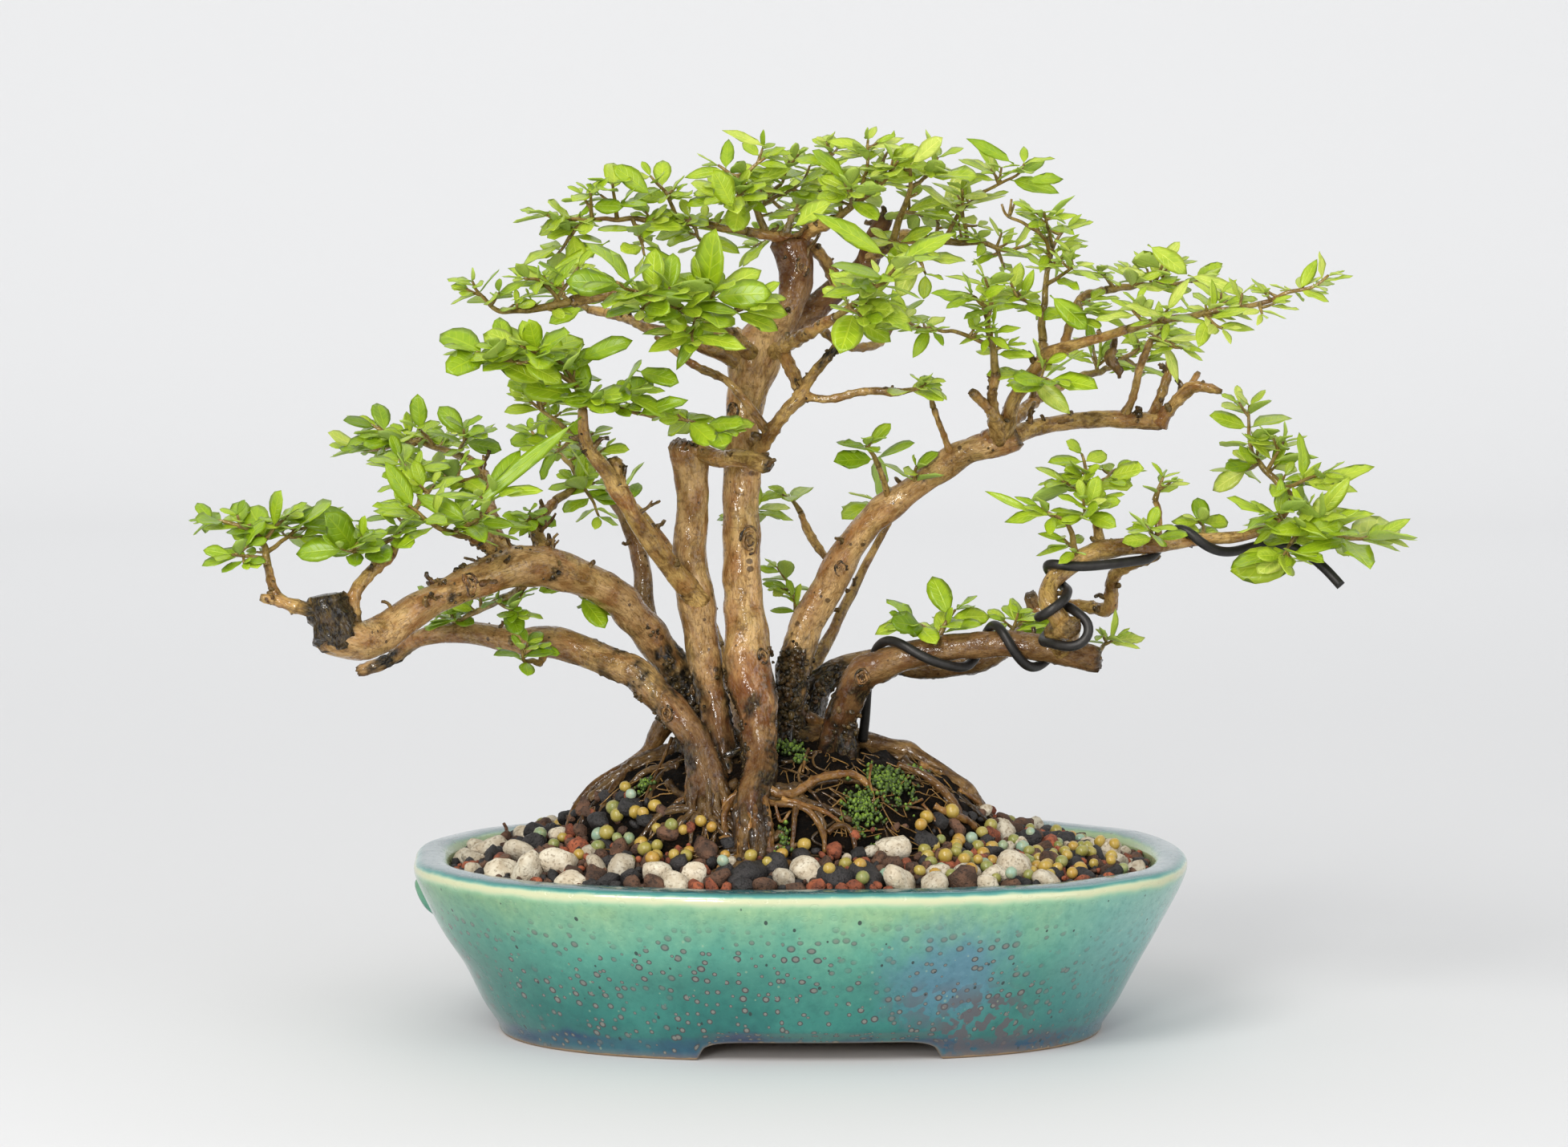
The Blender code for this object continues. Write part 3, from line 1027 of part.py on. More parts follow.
def main():
    clear_scene()
    glaze = material("teal_glaze", (0.09, 0.36, 0.31), 0.18)
    bark = material("bark", (0.42, 0.24, 0.12), 0.45)
    leaf_green = material("leaf_green", (0.16, 0.42, 0.05), 0.35)
    gravel = material("gravel", (0.17, 0.11, 0.08), 0.9)
    black_wire = material("black_wire", (0.02, 0.02, 0.022), 0.4, 0.6)
    black_mesh = material("black_mesh", (0.02, 0.02, 0.02), 0.6)

    pot = make_pot(glaze)
    substrate = make_substrate(gravel)
    meshes = [make_drain_mesh(f"drain_mesh_{side}", x * DRAIN_SPACING, black_mesh)
              for side, x in (("left", -1), ("right", 1))]
    tree, stems = make_tree(bark)
    wire = make_wire(stems, black_wire)

    nodes = [pot, substrate, *meshes, tree, wire]
    obstacles = Obstacles([evaluated(node) for node in nodes])
    found = {}
    for name, shoots in LEAFY_STEMS.items():
        paths, thick = clear_twigs(name, shoots, obstacles)
        found[name] = (paths, thick)
        obstacles.add(name, twigs_of(paths, thick))
    total = 0
    for name, shoots in LEAFY_STEMS.items():
        paths, thick = found[name]
        made, count = make_leafy_stem(name, shoots, paths, thick, obstacles, leaf_green)
        nodes.append(made)
        total += count
    tools = [item for item in bpy.data.objects if item.hide_render]
    points, middle = stand_on_centre(nodes, tools)
    size = points.max(axis=0) - points.min(axis=0)
    print("size in mm", size.round(1), "pot's middle at", (-middle[:2]).round(2), "leaves", total)
    for node in nodes:
        print(node.name, sum(len(face) - 2 for face in evaluated(node)[1]))
    print("triangles", sum(sum(len(face) - 2 for face in evaluated(node)[1]) for node in nodes))


main()
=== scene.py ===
"""The looks of a premna bonsai in an oval glazed pot, laid out as a Blender add-on.

Every table is in millimetres about the pot's middle: x to the right, y to the back, z up from
the surface that the pot stands on. `placed` turns a drawn stem's rows into places, and
`Shape.mesh` turns places into the frame's metres.
"""

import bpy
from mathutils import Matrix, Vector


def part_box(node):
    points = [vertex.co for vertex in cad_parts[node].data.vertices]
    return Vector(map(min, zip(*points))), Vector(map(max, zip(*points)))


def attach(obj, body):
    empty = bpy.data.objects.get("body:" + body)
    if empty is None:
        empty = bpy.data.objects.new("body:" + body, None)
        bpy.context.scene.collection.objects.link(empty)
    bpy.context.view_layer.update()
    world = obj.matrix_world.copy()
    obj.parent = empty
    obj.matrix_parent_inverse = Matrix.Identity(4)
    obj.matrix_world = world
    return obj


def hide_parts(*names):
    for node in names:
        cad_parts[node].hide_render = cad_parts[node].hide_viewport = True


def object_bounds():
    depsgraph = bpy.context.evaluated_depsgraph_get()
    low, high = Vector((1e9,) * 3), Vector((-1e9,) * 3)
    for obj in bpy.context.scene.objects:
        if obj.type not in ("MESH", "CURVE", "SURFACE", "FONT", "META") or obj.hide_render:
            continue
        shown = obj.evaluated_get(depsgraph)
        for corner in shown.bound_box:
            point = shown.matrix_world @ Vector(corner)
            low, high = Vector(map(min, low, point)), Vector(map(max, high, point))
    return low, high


bl_info = {
    "name": "Premna bonsai",
    "version": (1, 0, 0),
    "blender": (4, 5, 0),
    "location": "View3D > Sidebar > Bonsai",
    "description": "Builds the visible surfaces of a premna bonsai in its pot over the solids of the frame",
    "category": "Add Mesh",
}

import math

import bpy
import numpy as np

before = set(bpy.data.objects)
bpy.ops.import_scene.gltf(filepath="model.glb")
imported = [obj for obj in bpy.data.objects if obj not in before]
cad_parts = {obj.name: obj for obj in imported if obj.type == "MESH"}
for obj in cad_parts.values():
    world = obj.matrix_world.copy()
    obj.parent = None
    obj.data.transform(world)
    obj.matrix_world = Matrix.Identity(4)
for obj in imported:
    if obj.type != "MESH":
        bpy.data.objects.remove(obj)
FRAME_BOX = [list(corner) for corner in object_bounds()]

MM = 0.001
VIEWPOINT = np.array((-4.25, -1300.0, 234.6))
POT_BOX = [np.array(corner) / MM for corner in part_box("pot")]
POT_MIDDLE = np.array([*((POT_BOX[0] + POT_BOX[1])[:2] / 2), 0.0])

# Pot
RIM_HALF = (100.0, 74.0)
POT_HEIGHT = 45.5
FOOT_HALF = (78.5, 54.0)
FOOT_RECESS = 5.2
FOOT_RING = 7.0
FLOOR_TOP = 10.5
OVAL_POWER = 2.4
INNER_HALF = (RIM_HALF[0] - 9.3, RIM_HALF[1] - 11.8)
ARCH_CENTRE = 4.6
ARCH_HALF = 30.5
ARCH_HEIGHT = 4.6
DRAIN_SPACING = 38.0
DRAIN_RADIUS = 6.0

# Gravel and root pad
SOIL_LEVEL = 43.2
PAD_CENTRE_X = -5.0
PAD_HALF = (56.5, 41.0)
PAD_EDGE = 50.8
PAD_HEIGHT = 22.0
BANK_HEIGHT = 7.6

WIRE_RADIUS = 1.25
LEAF_THICKNESS = 0.34

# Camera: lens and sensor in mm, and how far it looks down
LENS = 116.56
SENSOR = 36.0
LOOK_DOWN = math.radians(5.16)

# Leaf forms: width over length, and the two powers that round its base and its tip
OVAL = (0.53, 0.78, 0.66)
LANCE = (0.35, 0.72, 0.92)

TRUNKS = {
    "left_front_trunk": [
        (-23, -29, 57, 4.6), (-24.2, -28.5, 65, 4.6), (-26, -27, 71, 4.1), (-28.2, -25.5, 76, 3.9),
        (-36.5, -21, 86, 4.2), (-42.5, -19, 91, 4.3), (-51, -15, 95.5, 4.2), (-62, -11, 99, 4.0), (-74, -6, 100, 3.5),
        (-87, 0, 102, 2.9), (-99, 4, 100, 2.3), (-106, 6, 95, 1.9), (-114, 7, 92, 1.7),],
    "left_arch_trunk": [
        (-24, -8, 61, 5.2), (-27, -7, 79, 5.0), (-30.6, -6, 89.4, 4.8), (-35.1, -8, 96.5, 4.6),
        (-45.3, -15, 108.9, 4.7), (-53.1, -21, 114.7, 4.8), (-61.8, -28, 118, 4.8), (-70, -34, 119.5, 4.8),
        (-83, -43, 115.5, 4.6), (-93, -51, 111, 4.0), (-103, -58, 105, 4.6), (-111, -63, 100, 4.7),
        (-117, -67, 100, 4.9), (-122, -69, 102, 4.9),],
    "left_upright_trunk": [
        (-17.5, -18, 61, 4.6), (-20.3, -17, 71, 3.9), (-23, -14, 85, 4.2), (-25, -13, 98, 4.6), (-28, -14, 120, 4.5),
        (-28, -14, 137, 4.3), (-29, -15, 151, 4.9),],
    "main_trunk": [
        (-12, -40, 50, 3.0), (-12.6, -36, 58, 3.4), (-10.8, -29, 65.5, 3.9), (-10.4, -25, 70.5, 4.1),
        (-11, -21, 78.8, 4.8), (-13.2, -17, 91.3, 6.3), (-13.9, -14.5, 99.6, 5.9), (-14.5, -12, 110, 5.1),
        (-15, -11, 122, 5.1), (-15, -10, 137, 4.9), (-15, -9, 149, 4.7), (-14, -8, 162, 4.9), (-12, -7, 172, 6.0),
        (-10, -4, 178, 5.0), (-5, 0, 182, 4.1), (-2, 3, 188, 4.0), (-1, 5, 195, 4.4), (-3, 6, 203, 4.8),],
    "second_leader": [
        (-11, -2, 176, 3.7), (0, 10, 183, 3.6), (10, 18, 191, 3.2), (16, 20, 196, 2.9), (19, 20, 203, 2.7),
        (22, 19, 209, 2.3),],
    "right_high_trunk": [
        (-5, -2, 62, 4.8), (-3.2, 1, 80, 4.3), (-2.5, 4, 89, 4.3), (-1.4, 6, 95.4, 4.7), (2.6, 8, 105.5, 4.5),
        (7, 8, 114, 4.2), (13, 6, 124, 4.0), (21, 4, 133, 3.7), (30, 2, 140, 3.5), (40, 0, 147, 3.5),
        (48, -2, 150, 3.3), (56, -3, 152, 2.9),],
    "right_low_trunk": [
        (9, -6, 63, 5.0), (9.9, -8, 73.6, 4.3), (10.6, -10, 80, 4.1), (15.5, -14, 90.2, 4.3), (21, -16, 93.2, 4.2),
        (28, -18, 96, 3.9), (40, -20, 98, 3.5), (54, -22, 99, 3.5), (68, -23, 97, 3.5), (77, -24, 95, 3.5),],
    "right_back_trunk": [
        (-2, 10, 67, 5.3), (2, 13, 84, 4.3), (7, 16, 90.5, 3.7), (20, 20, 95, 3.2), (31, 22, 93, 3.0),
        (45, 22, 94, 3.0), (55, 20, 100, 2.5), (60, 16, 107, 2.1), (59, 14, 112, 1.9),],
    "left_back_trunk": [
        (-17, 8, 66, 5.4), (-27, 12, 83, 4.6), (-36, 15, 95, 3.4), (-40, 17, 108, 2.7), (-41, 19, 120, 2.5),
        (-44, 21, 130, 2.1), (-48, 24, 136, 1.7),],
}

BRANCHES = {
    "wired_branch": [
        (67, -23, 98, 3.1), (69, -34, 102, 2.8), (66, -40, 106, 2.6), (64, -38, 110, 2.6), (65, -34, 115, 2.4),
        (70, -32, 120, 2.4), (76, -30, 123, 2.4), (84, -27, 124, 2.2), (95, -24, 125, 1.8), (104, -22, 126, 1.6),
        (114, -20, 127, 1.4), (122, -18, 130, 1.2),],
    "wired_stub": [(66, -34, 102, 2.6), (70, -44, 103, 2.8)],
    "low_cross_branch": [
        (60, 15.5, 107, 1.9), (71, 10, 109, 1.7), (79, 4, 108, 1.7), (80, 0, 113, 1.7), (81, -4, 117, 1.7),
        (86, -8, 120, 1.4), (92, -12, 122, 1.2),],
    "front_leaning_branch": [
        (-27, -15, 111, 3.3), (-32, -22, 117, 2.7), (-37, -28, 124, 2.6), (-42, -33, 131, 2.4), (-47, -38, 139, 2.2),
        (-51, -42, 145, 1.8), (-55, -46, 151, 1.6), (-56, -50, 160, 1.2),],
    "front_leaning_stub": [(-47, -38, 139, 2.0), (-48, -36, 147, 2.0)],
    "upright_side_knob": [(-27, -16, 149, 2.5), (-21, -21, 147, 2.2), (-15, -28, 147, 2.2), (-8, -33, 145, 2.4)],
    "trunk_network": [
        (-12, -12, 147, 1.8), (-8, -20, 153, 1.6), (-4, -24, 159, 1.6), (0, -24, 163, 1.6), (-2, -20, 169, 1.6),
        (-5, -14, 175, 1.8),],
    "network_charred_twig": [(0, -24, 163, 1.2), (3, -26, 168, 1.2), (7, -28, 173, 1.2), (11, -30, 178, 1.0)],
    "network_cross_twig": [
        (-8, -20, 153, 1.2), (-13, -22, 160, 1.0), (-19, -21, 167, 1.0), (-26, -18, 170, 1.0), (-33, -14, 175, 0.8),
        (-37, -10, 178, 0.8),],
    "network_right_twig": [(0, -24, 163, 1.2), (7, -25, 162, 1.0), (16, -26, 164, 1.0), (26, -28, 164, 1.0)],
    "fork_left_branch": [
        (-14, -8, 171, 2.7), (-20, -12, 174, 2.3), (-27, -16, 177, 2.0), (-34, -20, 183, 1.8), (-40, -24, 188, 1.6),
        (-49, -28, 189, 1.6), (-59, -32, 187, 1.6),],
    "fork_back_branch": [
        (-11, 2, 177, 2.1), (-19, 10, 179, 1.7), (-28, 16, 179, 1.5), (-38, 22, 180, 1.3), (-45, 30, 183, 1.3),
        (-54, 38, 185, 1.1),],
    "crown_left_branch": [
        (10, 14, 190, 1.7), (7, 12, 196, 1.7), (3, 8, 201, 1.5), (-3, 4, 203, 1.5), (-14, 0, 205, 1.2),],
    "crown_centre_branch": [(-2, 7, 200, 1.9), (2, 4, 205, 1.9), (9, 0, 208, 1.5)],
    "crown_top_twig": [(17, 19, 198, 1.3), (23, 10, 201, 1.3)],
    "crown_right_branch": [(17, 20, 199, 2.1), (25, 22, 203, 1.9), (32, 22, 203, 1.7)],
    "front_crown_branch": [(-9, -7, 173, 2.0), (0, -24, 178, 1.6), (9, -36, 183, 1.4)],
    "front_left_crown_branch": [(-12, -9, 173, 2.0), (-18, -26, 179, 1.6)],
    "crown_back_twig": [(2, 14, 183, 1.3), (11, 24, 176, 1.1), (19, 32, 176, 1.1), (23, 38, 180, 0.9)],
    "crown_rear_branch": [(-3, 8, 196, 1.9), (-4, 22, 203, 1.7)],
    "high_horizontal_branch": [
        (50, -2, 151, 2.7), (58, 4, 154, 2.3), (67, 8, 156, 2.1), (76, 10, 157, 2.1), (86, 10, 157, 2.1),
        (93, 10, 156, 1.9),],
    "high_end_stub": [
        (92, 10, 156, 1.9), (96, 8, 161, 1.5), (100, 6, 165, 1.5), (104, 4, 165, 1.2), (108, 3, 164, 0.8),],
    "high_end_snag": [(99, 6, 164, 1.0), (102, 8, 169, 0.8)],
    "high_mid_stub": [(90, 10, 157, 1.5), (92, 12, 162, 1.3), (94, 14, 168, 1.3), (95, 15, 173, 1.0)],
    "high_mid_shoot": [(82, 10, 157, 1.3), (85, 8, 162, 1.0), (87, 6, 170, 1.0), (90, 4, 178, 0.8)],
    "high_rising_branch": [
        (49, -2, 151, 2.7), (53, -6, 156, 2.3), (54, -10, 161, 1.9), (58, -13, 167, 1.8), (62, -16, 172, 1.8),
        (64, -17, 174, 1.6), (70, -20, 176, 1.4), (78, -24, 178, 1.2), (84, -28, 180, 1.2),],
    "high_vertical_branch": [(62, -16, 171, 1.6), (62, -14, 177, 1.2)],
    "high_left_branch": [(51, -4, 152, 2.1), (49, -14, 161, 1.4), (50, -20, 169, 1.2)],
    "high_left_stub": [(51, -8, 156, 1.4), (48, -16, 160, 1.2), (44, -22, 164, 1.2)],
    "high_back_branch": [(49, -1, 151, 2.2), (51, 6, 153, 1.9), (59, 18, 161, 1.7), (68, 28, 167, 1.5)],
    "high_middle_branch": [(67, -18, 174, 1.2), (71, -8, 187, 1.0), (78, -2, 190, 1.0)],
    "mid_right_shoot": [(39, 0, 146, 1.2), (37, -4, 152, 0.8), (34, -8, 160, 0.8)],
    "mid_right_low_shoot": [(23, 4, 133, 1.0), (22, 0, 139, 0.8), (20, -4, 145, 0.8)],
    "mid_left_shoot": [(11, 8, 119, 1.3), (6, 14, 122, 1.0), (2, 18, 128, 1.1), (0, 20, 133, 0.8)],
    "left_snag": [
        (-118, -68, 103, 2.2), (-121, -70, 107, 1.8), (-127, -72, 108, 1.6), (-134, -72, 110, 1.4),
        (-139, -72, 111, 1.0),],
    "left_outer_branch": [(-130, -72, 108, 1.2), (-135, -70, 112, 1.2), (-137, -66, 119, 1.0)],
    "left_mid_branch": [(-114, -66, 102, 1.6), (-115, -66, 111, 1.6), (-111, -62, 117, 1.6), (-105, -56, 122, 1.4)],
    "left_pad_branch": [
        (-74, -36, 120, 2.2), (-78, -28, 126, 2.2), (-80, -18, 134, 1.8), (-81, -8, 142, 1.4), (-86, 2, 147, 1.2),],
    "left_pad_side_branch": [(-78, -34, 122, 1.6), (-85, -44, 127, 1.2)],
    "left_inner_branch": [(-64, -28, 120, 1.8), (-68, -20, 129, 1.6), (-63, -10, 136, 1.2)],
    "left_under_branch": [(-70, -32, 118, 1.4), (-72, -32, 113, 1.2)],
    "left_low_shoot": [(-64, -12, 100, 1.2), (-67, -20, 94, 0.8)],
    "right_rear_branch": [
        (-3, 16, 83, 2.5), (7, 34, 100, 1.7), (13, 44, 112, 1.3), (18, 50, 122, 1.1), (23, 52, 131, 0.9),],
    "left_rear_branch": [
        (-17, 12, 70, 3.2), (-15, 22, 80, 2.7), (-20, 40, 95, 2.1), (-27, 52, 112, 1.7), (-34, 60, 124, 1.3),
        (-43, 66, 135, 1.1),],
    "wired_up_shoot": [(77, -28, 124, 1.4), (76, -24, 131, 1.2)],
    "wired_side_shoot": [(92, -24, 125, 1.0), (92, -20, 133, 0.8), (91, -18, 136, 0.8)],
    "wired_tip_shoot": [(122, -18, 130, 1.0), (127, -14, 136, 0.8)],
}

# Surface roots in plan, as (x, y, radius, lift of the root's middle above the pad)
ROOTS = [
    [(-2, 0, 3.4, 3.0), (8, 2, 3.0, 2.6), (17, 1, 2.8, 2.2), (28, 0, 2.6, 1.6), (36, -3, 2.5, 1.2), (43, -4, 2.2, 1.0),
     (47, -6, 1.4, 0.2)],
    [(26, -8, 1.4, 0.6), (34, -14, 1.3, 0.6), (38, -18, 1.0, 0.3)],
    [(-10, -30, 1.6, 0.6), (-1, -30, 1.4, 0.7), (6, -27, 1.3, 0.7), (14, -25, 1.1, 0.5), (19, -26, 0.9, 0.1)],
    [(-9, -33, 1.2, 0.4), (0, -33, 1.1, 0.5), (8, -34, 1.0, 0.4), (13, -35, 0.9, 0.1)],
    [(0, -32, 1.1, 0.4), (5, -36, 1.0, 0.4), (6, -38, 0.8, 0.1)],
    [(-16, -28, 1.3, 0.5), (-22, -31, 1.1, 0.5), (-20, -36, 0.9, 0.1)],
    [(-28, -2, 2.6, 2.6), (-34, -3, 2.2, 2.2), (-41, -5, 2.0, 1.4), (-47, -6, 1.8, 1.0), (-53, -7, 1.6, 0.6),
     (-57, -8, 1.1, 0.0)],
    [(-44, -6, 1.4, 0.8), (-48, -12, 1.2, 0.6), (-51, -18, 0.9, 0.1)],
    [(-30, -12, 1.2, 0.8), (-36, -18, 1.0, 0.5), (-39, -25, 0.8, 0.1)],
    [(0, 14, 2.4, 1.6), (7, 22, 2.0, 1.2), (12, 29, 1.6, 0.8), (16, 35, 1.0, 0.1)],
    [(-20, 14, 2.4, 1.8), (-27, 21, 2.0, 1.2), (-34, 25, 1.6, 0.8), (-39, 27, 1.0, 0.1)],
    [(-10, 18, 1.8, 1.0), (-13, 27, 1.5, 0.8), (-11, 34, 1.1, 0.4), (-12, 38, 0.8, 0.0)],
    [(12, 8, 1.8, 1.2), (24, 13, 1.5, 0.8), (34, 16, 1.2, 0.5), (40, 17, 0.9, 0.1)],
    [(-28, 6, 1.7, 1.2), (-38, 10, 1.4, 0.8), (-46, 14, 1.1, 0.4), (-50, 15, 0.9, 0.1)],
]

# The training wire's route, drawn as the stems are, without a radius
WIRE_ROUTE = [
    (16, -2, 74), (17, -4, 80), (17, -8, 90), (19, -12, 97), (22, -16, 100), (26, -22, 99), (31, -25, 95.5),
    (36, -25, 93.3), (41, -22.5, 92.6), (45, -17, 95), (47, -16, 100), (49, -19, 104), (52, -25.5, 103), (54, -28, 98),
    (57, -26.5, 94), (61, -21, 92.6), (65, -17.5, 96), (69, -20, 102.5), (68, -27, 103.5), (64.0, -33, 100.5),
    (64.6, -39.5, 100.2), (66.9, -43.2, 99.0), (70.2, -44, 98.3), (73.4, -44, 99.9), (74.9, -43.6, 103.2),
    (73.4, -43, 106.6), (70.2, -41.5, 107.9), (67, -36.5, 108.4), (63, -33.4, 107.6), (60.4, -36.5, 106.4),
    (61.0, -41.5, 105.2), (64.0, -44.6, 105.9), (67.4, -43.2, 108.6), (69.0, -39.5, 111.6), (69.2, -35.5, 114.4),
    (66.5, -30.6, 117), (62.6, -31, 118.6), (62.7, -35.6, 119.6), (66, -37, 119), (72, -36.5, 118.6), (79, -33, 119.6),
    (86, -29, 120.4), (91.5, -23, 122), (94, -20.5, 126), (97, -23, 129), (101, -26.5, 126), (106, -25.5, 122.6),
    (111, -20.5, 122), (117, -16, 125), (124, -17, 125.5), (130, -20.5, 123), (135, -23, 119), (139, -24, 114),
]

